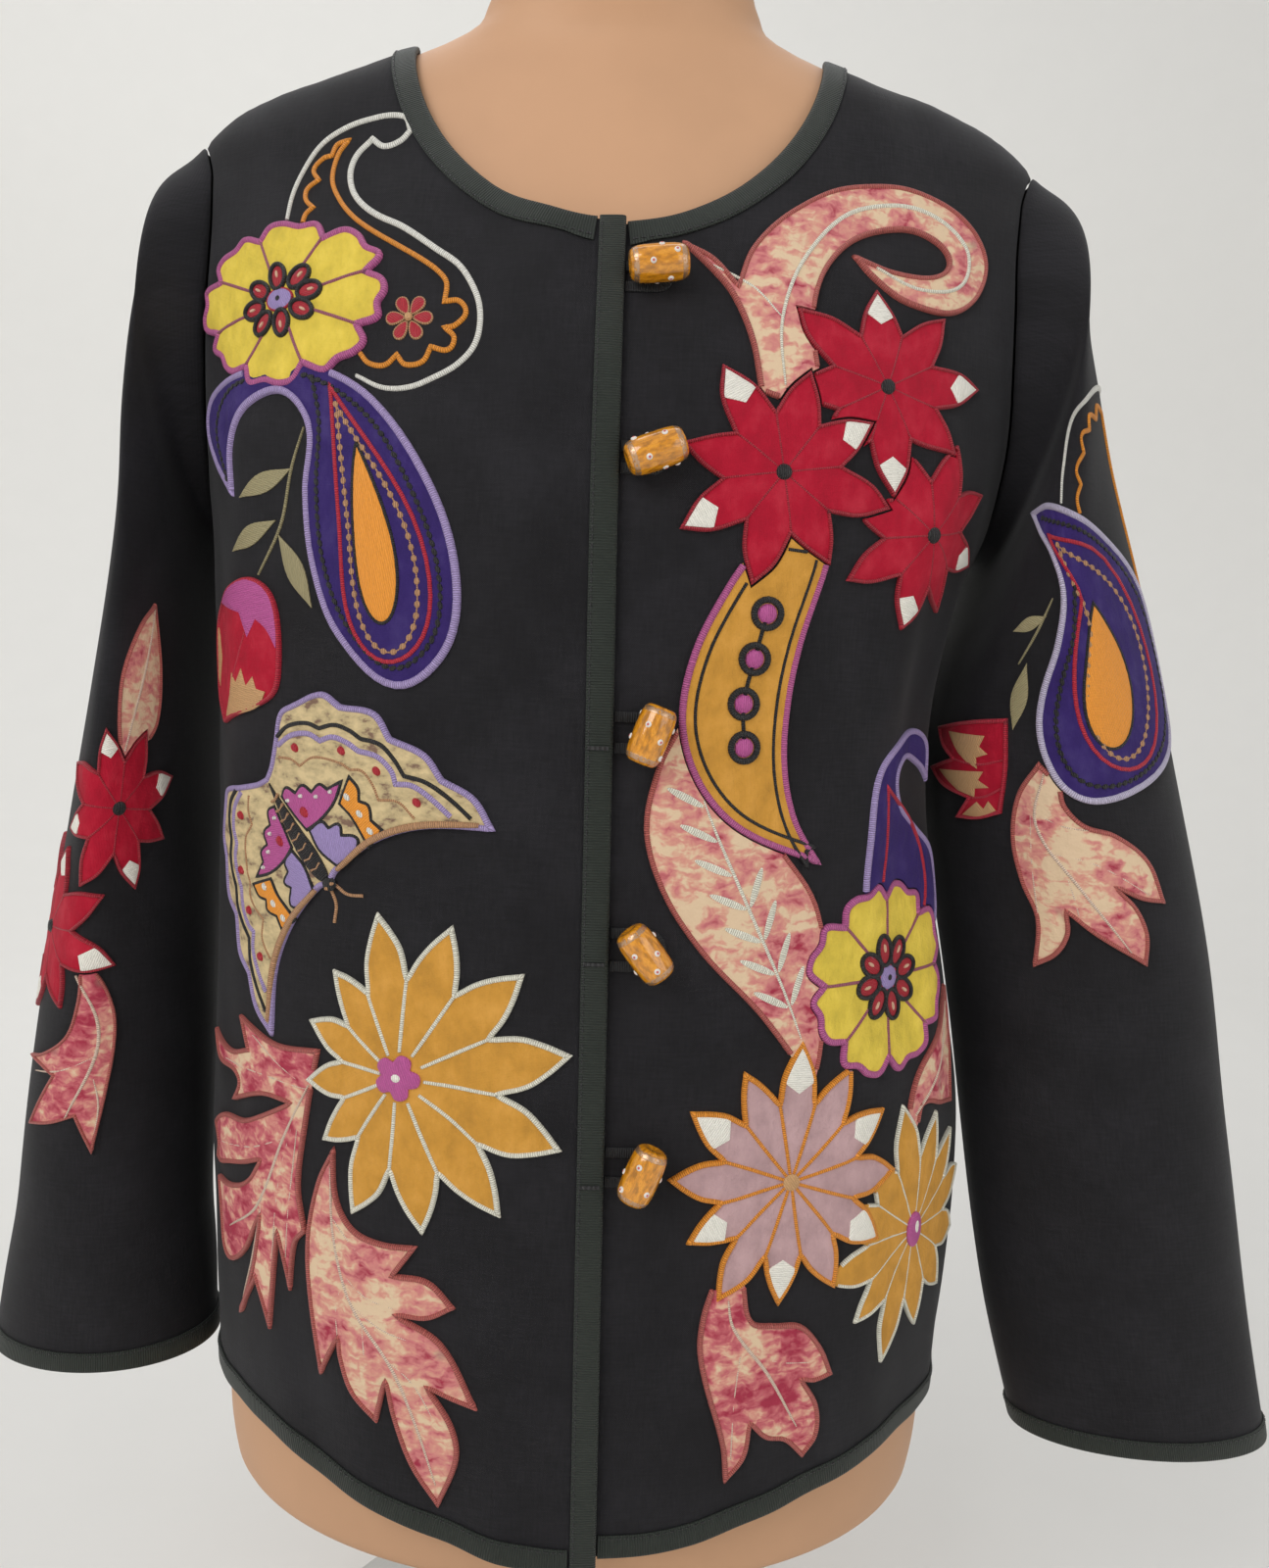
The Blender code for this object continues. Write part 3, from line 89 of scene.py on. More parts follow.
# Rows of a body: height, half widths to the wearer's right and left, depths to the front and back, roundness
JACKET = np.array((
    (0.000, 0.1760, 0.1765, 0.1400, 0.1330, 2.05), (0.060, 0.1765, 0.1775, 0.1405, 0.1340, 2.10),
    (0.120, 0.1785, 0.1810, 0.1405, 0.1330, 2.15), (0.180, 0.1790, 0.1815, 0.1400, 0.1300, 2.20),
    (0.240, 0.1780, 0.1730, 0.1380, 0.1240, 2.20), (0.310, 0.1770, 0.1590, 0.1355, 0.1180, 2.20),
    (0.370, 0.1775, 0.1530, 0.1345, 0.1160, 2.25), (0.420, 0.1785, 0.1620, 0.1345, 0.1170, 2.30),
    (0.460, 0.1815, 0.1780, 0.1305, 0.1190, 2.30), (0.500, 0.1890, 0.1890, 0.1215, 0.1200, 2.20),
    (0.540, 0.1940, 0.1940, 0.1065, 0.1170, 2.10), (0.575, 0.1960, 0.1960, 0.0890, 0.1070, 2.00),
    (0.600, 0.1955, 0.1955, 0.0755, 0.0950, 1.90), (0.622, 0.1900, 0.1900, 0.0655, 0.0810, 1.80),
    (0.640, 0.1650, 0.1650, 0.0580, 0.0680, 1.75), (0.652, 0.1310, 0.1310, 0.0535, 0.0590, 1.75),
    (0.664, 0.0930, 0.0930, 0.0490, 0.0520, 1.80), (0.676, 0.0620, 0.0620, 0.0450, 0.0470, 1.90),
))
FORM = np.array((
    (0.000, 0.1690, 0.1690, 0.1225, 0.1225, 2.05), (0.012, 0.1712, 0.1712, 0.1245, 0.1240, 2.05),
    (0.080, 0.1715, 0.1715, 0.1240, 0.1260, 2.10), (0.160, 0.1660, 0.1660, 0.1180, 0.1220, 2.15),
    (0.250, 0.1410, 0.1410, 0.1020, 0.1000, 2.15), (0.330, 0.1290, 0.1290, 0.0980, 0.0900, 2.15),
    (0.390, 0.1390, 0.1390, 0.1130, 0.0950, 2.20), (0.440, 0.1540, 0.1540, 0.1220, 0.1030, 2.25),
    (0.500, 0.1690, 0.1690, 0.1110, 0.1100, 2.15), (0.550, 0.1790, 0.1790, 0.0920, 0.1080, 2.05),
    (0.590, 0.1810, 0.1810, 0.0745, 0.0950, 1.95), (0.612, 0.1785, 0.1785, 0.0640, 0.0815, 1.85),
    (0.627, 0.1735, 0.1735, 0.0580, 0.0710, 1.80), (0.638, 0.1620, 0.1620, 0.0540, 0.0640, 1.78),
    (0.650, 0.1290, 0.1290, 0.0500, 0.0560, 1.78), (0.661, 0.0940, 0.0940, 0.0480, 0.0510, 1.85),
    (0.670, 0.0720, 0.0720, 0.0500, 0.0520, 1.95), (0.684, 0.0620, 0.0620, 0.0530, 0.0550, 2.00),
    (0.715, 0.0580, 0.0580, 0.0550, 0.0560, 2.00), (0.750, 0.0570, 0.0570, 0.0550, 0.0560, 2.00),
    (0.762, 0.0500, 0.0500, 0.0480, 0.0490, 2.00),
))
# Folds of a body: top across and height, foot across and height, width and depth
FRONT_FOLDS = (
    (0.148, 0.500, 0.120, 0.300, 0.016, 0.0045), (0.185, 0.430, 0.165, 0.180, 0.016, 0.0035),
    (-0.150, 0.500, -0.165, 0.300, 0.017, 0.0035), (-0.060, 0.300, -0.085, 0.020, 0.022, 0.0025),
    (0.115, 0.250, 0.135, 0.020, 0.024, 0.0030),
)
BACK_FOLDS = (
    (-0.150, 0.520, -0.120, 0.300, 0.018, 0.0040), (0.150, 0.520, 0.125, 0.300, 0.018, 0.0040),
    (-0.060, 0.330, -0.075, 0.020, 0.026, 0.0035), (0.065, 0.330, 0.080, 0.020, 0.026, 0.0030),
)
# Rings of a sleeve: outer point and its height, inner point and its height, half depth and middle
SLEEVE_RIGHT = np.array((
    (0.2045, 0.604, 0.1830, 0.440, 0.066, 0.003), (0.2070, 0.575, 0.1840, 0.424, 0.070, 0.000),
    (0.2095, 0.535, 0.1850, 0.405, 0.073, -0.003), (0.2115, 0.478, 0.1855, 0.378, 0.074, -0.005),
    (0.2290, 0.385, 0.1860, 0.330, 0.071, -0.007), (0.2530, 0.275, 0.1860, 0.250, 0.062, -0.008),
    (0.2710, 0.155, 0.1865, 0.146, 0.052, -0.012), (0.2805, 0.095, 0.1840, 0.092, 0.046, -0.014),
    (0.2895, 0.049, 0.1810, 0.050, 0.042, -0.015),
))
SLEEVE_LEFT = np.array((
    (0.2085, 0.604, 0.1790, 0.440, 0.066, 0.003), (0.2120, 0.572, 0.1745, 0.424, 0.070, 0.000),
    (0.2190, 0.533, 0.1680, 0.406, 0.073, -0.003), (0.2340, 0.476, 0.1620, 0.384, 0.072, -0.006),
    (0.2645, 0.380, 0.1600, 0.345, 0.064, -0.010), (0.2930, 0.275, 0.1755, 0.260, 0.053, -0.012),
    (0.3105, 0.185, 0.1868, 0.175, 0.045, -0.014), (0.3290, 0.100, 0.2010, 0.095, 0.037, -0.015),
    (0.3460, 0.021, 0.2200, 0.022, 0.031, -0.016),
))
# Ridges of a sleeve: turn at the top and foot in degrees, first and last ring, width in degrees and depth
RIDGES_RIGHT = ((160, 182, 1.0, 7.0, 22, 0.0055), (225, 240, 1.6, 5.5, 20, 0.0045),
                (45, 20, 1.0, 6.0, 22, 0.0050))
RIDGES_LEFT = ((205, 160, 1.0, 6.5, 22, 0.0055), (160, 115, 2.0, 5.5, 20, 0.0040),
               (320, 350, 1.0, 6.0, 22, 0.0050), (62, 58, 0.4, 8.2, 20, 0.0068))

# Beads: across and height in metres, lean in degrees, and the reach and half height of the loop
BEADS = (
    (0.0205, 0.5438, 8, 0.0200, 0.0062), (0.0220, 0.4715, 22, 0.0200, 0.0062),
    (0.0240, 0.3675, 70, 0.0235, 0.0080), (0.0250, 0.2830, -52, 0.0235, 0.0085),
    (0.0275, 0.1960, 68, 0.0225, 0.0080),
)


# Numbers and flat lines

def eased(value: Array | float) -> Array:
    """Rises from 0 to 1 as the value does, level at both ends."""
    t = np.clip(value, 0.0, 1.0)
    return t * t * (3 - 2 * t)


def through_rows(stops: Sequence[float], rows: Array, at: Array) -> Array:
    """Reads a table of rows at any stops, on smooth curves through its rows.

    Args:
        stops: Where each row stands.
        rows: One row for each stop.
        at: The stops to read.

    Returns:
        One row for each stop that was asked for.
    """
    stops = np.asarray(stops, float)
    rows = np.asarray(rows, float)
    at = np.atleast_1d(np.asarray(at, float))
    slopes = np.gradient(rows, stops, axis=0)
    k = np.clip(np.searchsorted(stops, at) - 1, 0, len(stops) - 2)
    step = (stops[k + 1] - stops[k])[:, None]
    t = (at - stops[k])[:, None] / step
    first = rows[k] * (1 + 2 * t) * (1 - t) ** 2 + slopes[k] * step * t * (1 - t) ** 2
    return first + rows[k + 1] * t * t * (3 - 2 * t) + slopes[k + 1] * step * t * t * (t - 1)


def unit(vectors: Array) -> Array:
    """Returns vectors at length 1."""
    return vectors / np.maximum(np.linalg.norm(vectors, axis=-1, keepdims=True), 1e-12)


def runs_of(path: Array) -> Array:
    """Returns the run from a path's start to each of its points."""
    return np.concatenate(([0], np.cumsum(np.linalg.norm(np.diff(path, axis=0), axis=1))))


def walked(path: Array, step: float, closed: bool = False) -> Array:
    """Returns a path's points at about one step apart, with its own corners kept.

    Args:
        path: The points of the path.
        step: The greatest distance between points.
        closed: Whether the path returns to its start.

    Returns:
        The denser path.
    """
    path = np.asarray(path, float)
    ends = np.roll(path, -1, axis=0) if closed else path[1:]
    out = []
    for start, end in zip(path, ends):
        count = max(1, int(math.ceil(np.linalg.norm(end - start) / step)))
        out.append(start + (end - start) * (np.arange(count) / count)[:, None])
    return np.concatenate(out if closed else out + [path[-1:]])


def curved(knots: Sequence[Sequence[float]], steps: int = 8, closed: bool = True) -> Array:
    """Draws a curve through knots, each (across, height) or (across, height, 1) where it is a corner.

    Args:
        knots: The knots in order.
        steps: The points between two knots.
        closed: Whether the curve returns to its start.

    Returns:
        The curve's points.
    """
    places = np.array([k[:2] for k in knots], float)
    sharp = [len(k) > 2 for k in knots]
    count = len(places)
    last = count if closed else count - 1
    out = []
    t = (np.arange(steps) / steps)[:, None]
    for k in range(last):
        a, b = places[k], places[(k + 1) % count]
        before = places[k - 1] if k or closed else a
        after = places[(k + 2) % count] if k + 2 < count or closed else b
        reach = np.linalg.norm(b - a)
        first = (b - a) if sharp[k] or (not closed and k == 0) else unit(b - before) * reach
        at_end = not closed and k + 2 == count
        second = (b - a) if sharp[(k + 1) % count] or at_end else unit(after - a) * reach
        out.append(a * (1 + 2 * t) * (1 - t) ** 2 + first * t * (1 - t) ** 2
                   + b * t * t * (3 - 2 * t) + second * t * t * (t - 1))
    return np.concatenate(out if closed else out + [places[-1:]])


def area_of(outline: Array) -> float:
    """Returns an outline's area, which is negative where it runs clockwise."""
    x, y = np.asarray(outline, float).T
    return 0.5 * float(np.dot(x, np.roll(y, -1)) - np.dot(y, np.roll(x, -1)))


def anticlockwise(outline: Array) -> Array:
    """Returns an outline that runs anticlockwise."""
    return outline if area_of(outline) > 0 else outline[::-1]


def leftward(path: Array, closed: bool = False) -> Array:
    """Returns the flat direction to the left of a path at each point.

    Args:
        path: The points of the path.
        closed: Whether the path returns to its start.

    Returns:
        Directions that are longer at a corner, so that a band keeps its width there.
    """
    if closed:
        ahead = unit(np.roll(path, -1, axis=0) - path)
        behind = np.roll(ahead, 1, axis=0)
    else:
        steps = unit(np.diff(path, axis=0))
        ahead = np.concatenate((steps, steps[-1:]))
        behind = np.concatenate((steps[:1], steps))
    normals = [np.stack((-side[:, 1], side[:, 0]), axis=1) for side in (ahead, behind)]
    middle = unit(normals[0] + normals[1] + 1e-9)
    return middle / np.maximum(np.sum(middle * normals[0], axis=1), 0.62)[:, None]


def widened(outline: Array, distance: float) -> Array:
    """Returns a closed outline moved outwards by a distance, or inwards by a negative one."""
    line = anticlockwise(outline)
    return line - leftward(line, True) * distance


def holds(outline: Array, places: Array) -> Array:
    """Returns which places lie inside an outline.

    Args:
        outline: The outline's points.
        places: The places to test.

    Returns:
        True for each place that lies inside.
    """
    x, y = places[:, 0], places[:, 1]
    inside = np.zeros(len(places), bool)
    low, high = outline.min(axis=0), outline.max(axis=0)
    near = (x >= low[0]) & (x <= high[0]) & (y >= low[1]) & (y <= high[1])
    x, y = x[near], y[near]
    found = np.zeros(len(x), bool)
    for (x0, y0), (x1, y1) in zip(outline, np.roll(outline, -1, axis=0)):
        if y0 != y1:
            found ^= ((y0 > y) != (y1 > y)) & (x < (x1 - x0) * (y - y0) / (y1 - y0) + x0)
    inside[near] = found
    return inside


def away_from(line: Array, places: Array, closed: bool = True) -> Array:
    """Returns each place's distance to a line of straight stretches.

    Args:
        line: The line's points.
        places: The places to measure.
        closed: Whether the line returns to its start.

    Returns:
        One distance for each place.
    """
    starts = line if closed else line[:-1]
    runs = (np.roll(line, -1, axis=0) if closed else line[1:]) - starts
    least = np.full(len(places), np.inf)
    for start, run in zip(starts, runs):
        rel = places - start
        t = np.clip(rel @ run / max(float(run @ run), 1e-12), 0, 1)
        least = np.minimum(least, np.linalg.norm(rel - t[:, None] * run, axis=1))
    return least


def turned_to(places: Array, degrees: float, middle: Sequence[float]) -> Array:
    """Returns flat places turned about the zero place and moved to a middle."""
    t = math.radians(degrees)
    turned = places @ np.array(((math.cos(t), math.sin(t)), (-math.sin(t), math.cos(t))))
    return turned + np.asarray(middle, float)


def oval(middle: Sequence[float], wide: float, high: float, turn: float = 0.0, count: int = 20) -> Array:
    """Returns the outline of an oval."""
    angles = np.arange(count) * 2 * math.pi / count
    return turned_to(np.stack((wide * np.cos(angles), high * np.sin(angles)), axis=1), turn, middle)


# Shader maths and finishes

class Value:
    """A socket of a material that takes part in sums."""

    def __init__(self, kit: "Kit", socket: bpy.types.NodeSocket) -> None:
        self.kit = kit
        self.socket = socket

    def maths(self, operation: str, *others: "Value | float") -> "Value":
        """Returns the result of a Math node on this value and others."""
        inputs = dict(enumerate((self, *others)))
        return self.kit.node("ShaderNodeMath", {"operation": operation}, inputs)

    def __add__(self, other: "Value | float") -> "Value":
        """Returns the sum."""
        return self.maths("ADD", other)

    def __mul__(self, other: "Value | float") -> "Value":
        """Returns the product."""
        return self.maths("MULTIPLY", other)

    def __sub__(self, other: "Value | float") -> "Value":
        """Returns the difference."""
        return self.maths("SUBTRACT", other)

    def __rsub__(self, other: float) -> "Value":
        """Returns the difference from a number."""
        return self.kit.node("ShaderNodeMath", {"operation": "SUBTRACT"}, {0: other, 1: self})

    __radd__ = __add__
    __rmul__ = __mul__

    def step(self, low: float, high: float) -> "Value":
        """Returns 0 below a low value and 1 above a high one, smooth between them."""
        return self.kit.node("ShaderNodeMapRange", {"interpolation_type": "SMOOTHSTEP"},
                             {"Value": self, "From Min": low, "From Max": high})

    def wave(self, per_unit: float) -> "Value":
        """Returns a wave from 0 to 1 with so many crests in one unit of the value."""
        return (self * (2 * math.pi * per_unit)).maths("SINE") * 0.5 + 0.5


Colour = tuple[float, float, float]


class Kit:
    """The nodes of one material round its Principled shader."""

    def __init__(self, name: str) -> None:
        """Makes a material of that name.

        Args:
            name: The material's name.
        """
        self.material = bpy.data.materials.new(name)
        self.material.use_nodes = True
        self.tree = self.material.node_tree
        self.shader = self.tree.nodes["Principled BSDF"]

    def node(self, kind: str, settings: dict | None = None, inputs: dict | None = None,
             output: int | str = 0) -> Value:
        """Adds a node.

        Args:
            kind: The node's type.
            settings: Its own settings, or a ramp's stops, set first.
            inputs: The values or links of its sockets, by name or number.
            output: The socket to return.

        Returns:
            One of its outputs.
        """
        made = self.tree.nodes.new(kind)
        for key, value in (settings or {}).items():
            if key == "stops":
                ramp = made.color_ramp
                while len(ramp.elements) < len(value):
                    ramp.elements.new(0.5)
                for element, (place, colour) in zip(ramp.elements, value):
                    element.position = place
                    element.color = (*colour, 1.0)
            else:
                setattr(made, key, value)
        for key, value in (inputs or {}).items():
            if isinstance(value, Value):
                self.tree.links.new(value.socket, made.inputs[key])
            else:
                made.inputs[key].default_value = value
        return Value(self, made.outputs[output])

    def part(self, vector: Value, axis: str) -> Value:
        """Returns one part of a vector."""
        return self.node("ShaderNodeSeparateXYZ", None, {0: vector}, axis)

    def flat(self) -> Value:
        """Returns the piece's own flat coordinates, in millimetres."""
        return self.node("ShaderNodeUVMap", {"uv_map": "flat"})

    def solid(self) -> Value:
        """Returns the coordinates of the space that the piece stands in, in metres."""
        return self.node("ShaderNodeTexCoord", None, None, "Object")

    def noise(self, where: Value, scale: float, detail: float = 3.0, rough: float = 0.55,
              stretch: Colour = (1.0, 1.0, 1.0)) -> Value:
        """Returns a cloudy pattern from 0 to 1.

        Args:
            where: The coordinates.
            scale: The clouds in one unit.
            detail: The finer layers.
            rough: The strength of the finer layers.
            stretch: The scale along each axis.

        Returns:
            The pattern.
        """
        if stretch != (1.0, 1.0, 1.0):
            where = self.node("ShaderNodeVectorMath", {"operation": "MULTIPLY"}, {0: where, 1: stretch})
        return self.node("ShaderNodeTexNoise", None,
                         {"Vector": where, "Scale": scale, "Detail": detail, "Roughness": rough})

    def mixed(self, share: Value | float, first: Value | Colour, second: Value | Colour) -> Value:
        """Returns a blend of two colours.

        Args:
            share: The second colour's share.
            first: The first colour.
            second: The second colour.

        Returns:
            The blend.
        """
        def whole(colour: Value | Colour) -> Value | tuple:
            """Returns a colour with its alpha."""
            return colour if isinstance(colour, Value) else (*colour, 1.0)
        return self.node("ShaderNodeMix", {"data_type": "RGBA"},
                         {0: share, 6: whole(first), 7: whole(second)}, 2)

    def ramp(self, share: Value, stops: Sequence[tuple[float, Colour]]) -> Value:
        """Returns the colour of a ramp at a share."""
        return self.node("ShaderNodeValToRGB", {"stops": stops}, {0: share})

    def bump(self, height: Value, distance: float, strength: float = 1.0) -> Value:
        """Returns the normal of a surface with a height, at a distance in metres."""
        return self.node("ShaderNodeBump", None,
                         {"Height": height, "Distance": distance, "Strength": strength})

    def dress(self, **inputs: Value | float | Colour) -> bpy.types.Material:
        """Sets the shader's sockets by their names with a low line for a space, and returns the material.

        Args:
            inputs: The sockets' values or links, by name.

        Returns:
            The material.
        """
        for key, value in inputs.items():
            socket = self.shader.inputs[key.replace("_", " ")]
            if isinstance(value, Value):
                self.tree.links.new(value.socket, socket)
            else:
                socket.default_value = (*value, 1.0) if isinstance(value, tuple) else value
        return self.material


@dataclass(frozen=True)
class Finish:
    """A finish that a piece wears, made once."""

    name: str
    colour: Colour

    def material(self) -> bpy.types.Material:
        """Returns the finish's material, made when it is first worn."""
        return bpy.data.materials.get(self.name) or self.make(Kit(self.name))

    def make(self, kit: Kit) -> bpy.types.Material:
        return kit.dress(Base_Color=self.colour)


@dataclass(frozen=True)
class Woven(Finish):
    """The jacket's soft black cloth, with slubs in both directions and a rubbed bloom."""

    bloom: Colour = (0.020, 0.019, 0.023)

    def make(self, kit: Kit) -> bpy.types.Material:
        """Args:
            kit: The nodes of its material.

        Returns:
            The material.
        """
        flat = kit.flat()
        across, along = kit.part(flat, "X"), kit.part(flat, "Y")
        warp = kit.noise(flat, 1.0, 4, 0.65, (0.9, 0.10, 1.0))
        weft = kit.noise(flat, 1.0, 4, 0.65, (0.10, 0.9, 1.0))
        slub = warp * 0.5 + weft * 0.5
        cloud = kit.noise(flat, 0.02, 4)
        weave = across.wave(1.25) * along.wave(1.25) + (1 - across.wave(1.25)) * (1 - along.wave(1.25))
        grain = slub * 0.8 + weave * 0.35
        colour = kit.mixed((slub * 0.7 + cloud * 0.6 - 0.22).step(0.25, 0.75), self.colour, self.bloom)
        return kit.dress(Base_Color=colour, Roughness=0.86 - slub * 0.10, Sheen_Weight=0.10,
                         Sheen_Roughness=0.45, Specular_IOR_Level=0.28, Normal=kit.bump(grain, 0.00022, 0.8))


@dataclass(frozen=True)
class Grosgrain(Finish):
    """Ribbon with fine ribs across it, the ribs' crests painted paler as a painted highlight, over random
    worn patches.
    """

    ribs: float = 0.95

    def make(self, kit: Kit) -> bpy.types.Material:
        """Args:
            kit: The nodes of its material.

        Returns:
            The material.
        """
        flat = kit.flat()
        rib = kit.part(flat, "X").wave(self.ribs)
        worn = kit.noise(flat, 0.25, 4)
        # Paler on the ribs' crests, a painted highlight, and paler in random worn patches
        colour = kit.mixed(rib * 0.6 + worn * 0.5, self.colour, tuple(2.6 * c for c in self.colour))
        return kit.dress(Base_Color=colour, Roughness=0.62 - rib * 0.12, Sheen_Weight=0.10,
                         Specular_IOR_Level=0.35, Normal=kit.bump(rib * 0.8 + worn * 0.2, 0.00030))


@dataclass(frozen=True)
class Cotton(Finish):
    """A plain dyed cotton patch, a little faded and crinkled between its stitches, its colour darker in the
    creases' hollows as painted shade and paler on their crests as a painted highlight.
    """

    crinkle: float = 0.5

    def make(self, kit: Kit) -> bpy.types.Material:
        """Args:
            kit: The nodes of its material.

        Returns:
            The material.
        """
        flat = kit.flat()
        fade = kit.noise(flat, 0.06, 5)
        creases = kit.noise(flat, 0.16, 5, 0.6, (1.0, 0.55, 1.0))
        weave = kit.part(flat, "X").wave(1.6) * kit.part(flat, "Y").wave(1.6)
        pale = tuple(min(1.0, c * 1.16 + 0.02) for c in self.colour)
        deep = tuple(c * 0.80 for c in self.colour)
        # Painted shade in the creases' hollows and a painted highlight on their crests, over random fading
        colour = kit.ramp(fade * 0.55 + creases * 0.45, ((0.34, deep), (0.50, self.colour), (0.68, pale)))
        return kit.dress(Base_Color=colour, Roughness=0.80, Sheen_Weight=0.06, Specular_IOR_Level=0.25,
                         Normal=kit.bump(creases * self.crinkle * 4 + weave * 0.12, 0.00075))


@dataclass(frozen=True)
class TieDye(Finish):
    """Cotton dyed in blots of rose over a cream ground, with a few grey-green stains."""

    cream: Colour = (0.80, 0.60, 0.40)
    deep: Colour = (0.40, 0.035, 0.070)
    shift: float = 0.0

    def make(self, kit: Kit) -> bpy.types.Material:
        """Args:
            kit: The nodes of its material.

        Returns:
            The material.
        """
        flat = kit.flat()
        warped = kit.node("ShaderNodeVectorMath", {"operation": "ADD"},
                          {0: flat, 1: kit.node("ShaderNodeVectorMath", {"operation": "SCALE"}, {
                              0: kit.node("ShaderNodeTexNoise", None, {"Vector": flat, "Scale": 0.12},
                                          "Color"),
                              "Scale": 9.0})})
        blots = kit.noise(warped, 0.055, 4, 0.62)
        streaks = kit.noise(warped, 0.20, 3, 0.55, (0.5, 1.5, 1.0))
        share = blots * 0.66 + streaks * 0.34 + self.shift
        colour = kit.ramp(share, ((0.41, self.cream), (0.46, (0.74, 0.36, 0.27)),
                                  (0.52, self.colour), (0.60, self.deep)))
        stain = kit.noise(flat, 0.032, 2).step(0.66, 0.74) * 0.55
        colour = kit.mixed(stain, colour, (0.26, 0.27, 0.19))
        creases = kit.noise(flat, 0.22, 5, 0.6)
        return kit.dress(Base_Color=colour, Roughness=0.84, Sheen_Weight=0.05, Specular_IOR_Level=0.22,
                         Normal=kit.bump(creases, 0.0010))


@dataclass(frozen=True)
class Marbled(Finish):
    """Cream cotton with brown marbling."""

    brown: Colour = (0.22, 0.13, 0.085)

    def make(self, kit: Kit) -> bpy.types.Material:
        """Args:
            kit: The nodes of its material.

        Returns:
            The material.
        """
        flat = kit.flat()
        veins = kit.noise(flat, 0.11, 5, 0.62, (1.0, 1.6, 1.0))
        colour = kit.ramp(veins, ((0.40, self.colour), (0.56, tuple(0.72 * c for c in self.colour)),
                                  (0.64, self.brown)))
        return kit.dress(Base_Color=colour, Roughness=0.78, Sheen_Weight=0.06,
                         Normal=kit.bump(kit.noise(flat, 0.3, 4), 0.0007))


@dataclass(frozen=True)
class Satin(Finish):
    """Machine embroidery whose threads lie across the line, or along a filled shape, each thread painted
    darker in its grooves as painted shade and paler on its crest as a painted highlight.
    """

    threads: float = 1.15
    filled: bool = False

    def make(self, kit: Kit) -> bpy.types.Material:
        """Args:
            kit: The nodes of its material.

        Returns:
            The material.
        """
        flat = kit.flat()
        along = kit.part(flat, "X")
        uneven = kit.noise(flat, 0.7, 3, 0.6, (1.0, 0.35, 1.0))
        thread = (along + uneven * 0.9).wave(self.threads)
        if self.filled:
            thread = thread * 0.7 + kit.noise(flat, 1.4, 3, 0.6, (1.6, 0.4, 1.0)) * 0.6
        # Darker in the grooves between threads as painted shade, paler on their crests as a painted highlight
        thread_groove_shade = tuple(c * 0.52 for c in self.colour)
        pale = tuple(min(1.0, c * 1.10 + 0.015) for c in self.colour)
        colour = kit.ramp(thread, ((0.02, thread_groove_shade), (0.36, self.colour), (0.96, pale)))
        return kit.dress(Base_Color=colour, Roughness=0.52 - thread * 0.10, Specular_IOR_Level=0.40,
                         Sheen_Weight=0.08, Normal=kit.bump(thread + uneven * 0.4, 0.00035))


@dataclass(frozen=True)
class BeadGlass(Finish):
    """Amber glass with foil bands near both ends and thin pale swirls."""

    foil: Colour = (0.60, 0.36, 0.20)

    def make(self, kit: Kit) -> bpy.types.Material:
        """Args:
            kit: The nodes of its material.

        Returns:
            The material.
        """
        flat = kit.flat()
        end = (kit.part(flat, "Y") - 0.5).maths("ABSOLUTE")
        ragged = kit.noise(flat, 9.0, 4) * 0.05
        band = (end + ragged).step(0.385, 0.400) * (1 - (end + ragged).step(0.470, 0.480))
        broken = kit.noise(kit.solid(), 1100.0, 3).step(0.36, 0.46)
        band = band * broken
        swirl = kit.noise(flat, 3.2, 4, 0.55, (1.0, 1.5, 1.0))
        deep = tuple(c * 0.62 for c in self.colour)
        pale = (min(1.0, self.colour[0] * 1.25), self.colour[1] * 1.4, self.colour[2] * 3.0)
        glass = kit.ramp(swirl, ((0.36, deep), (0.50, self.colour), (0.60, pale), (0.66, self.colour)))
        colour = kit.mixed(band, glass, self.foil)
        return kit.dress(Base_Color=colour, Metallic=band * 0.75, Roughness=0.14 + band * 0.20,
                         Coat_Weight=1.0, Coat_Roughness=0.04, Specular_IOR_Level=0.6,
                         Normal=kit.bump(band + swirl * 0.2, 0.00012))


@dataclass(frozen=True)
class Shell(Finish):
    """The form's smooth skin-toned shell with a faint grain."""

    def make(self, kit: Kit) -> bpy.types.Material:
        """Args:
            kit: The nodes of its material.

        Returns:
            The material.
        """
        solid = kit.solid()
        cloud = kit.noise(solid, 7.0, 4)
        grain = kit.noise(solid, 900.0, 3)
        pale = tuple(min(1.0, c * 1.08) for c in self.colour)
        colour = kit.mixed(cloud.step(0.3, 0.7), tuple(c * 0.95 for c in self.colour), pale)
        return kit.dress(Base_Color=colour, Roughness=0.50 + grain * 0.10, Specular_IOR_Level=0.35,
                         Normal=kit.bump(grain, 0.00004))


@dataclass(frozen=True)
class Brushed(Finish):
    """Brushed steel, its scratches round the stand's axis."""

    def make(self, kit: Kit) -> bpy.types.Material:
        """Args:
            kit: The nodes of its material.

        Returns:
            The material.
        """
        solid = kit.solid()
        across, deep = kit.part(solid, "X"), kit.part(solid, "Y")
        round_it = (across * across + deep * deep).maths("SQRT")
        rings = kit.node("ShaderNodeCombineXYZ", None, {0: round_it * 900.0, 1: kit.part(solid, "Z") * 900.0})
        scratch = kit.noise(rings, 1.0, 4)
        return kit.dress(Base_Color=kit.mixed(scratch, tuple(c * 0.8 for c in self.colour), self.colour),
                         Metallic=1.0, Roughness=0.26 + scratch * 0.18, Normal=kit.bump(scratch, 0.00003))


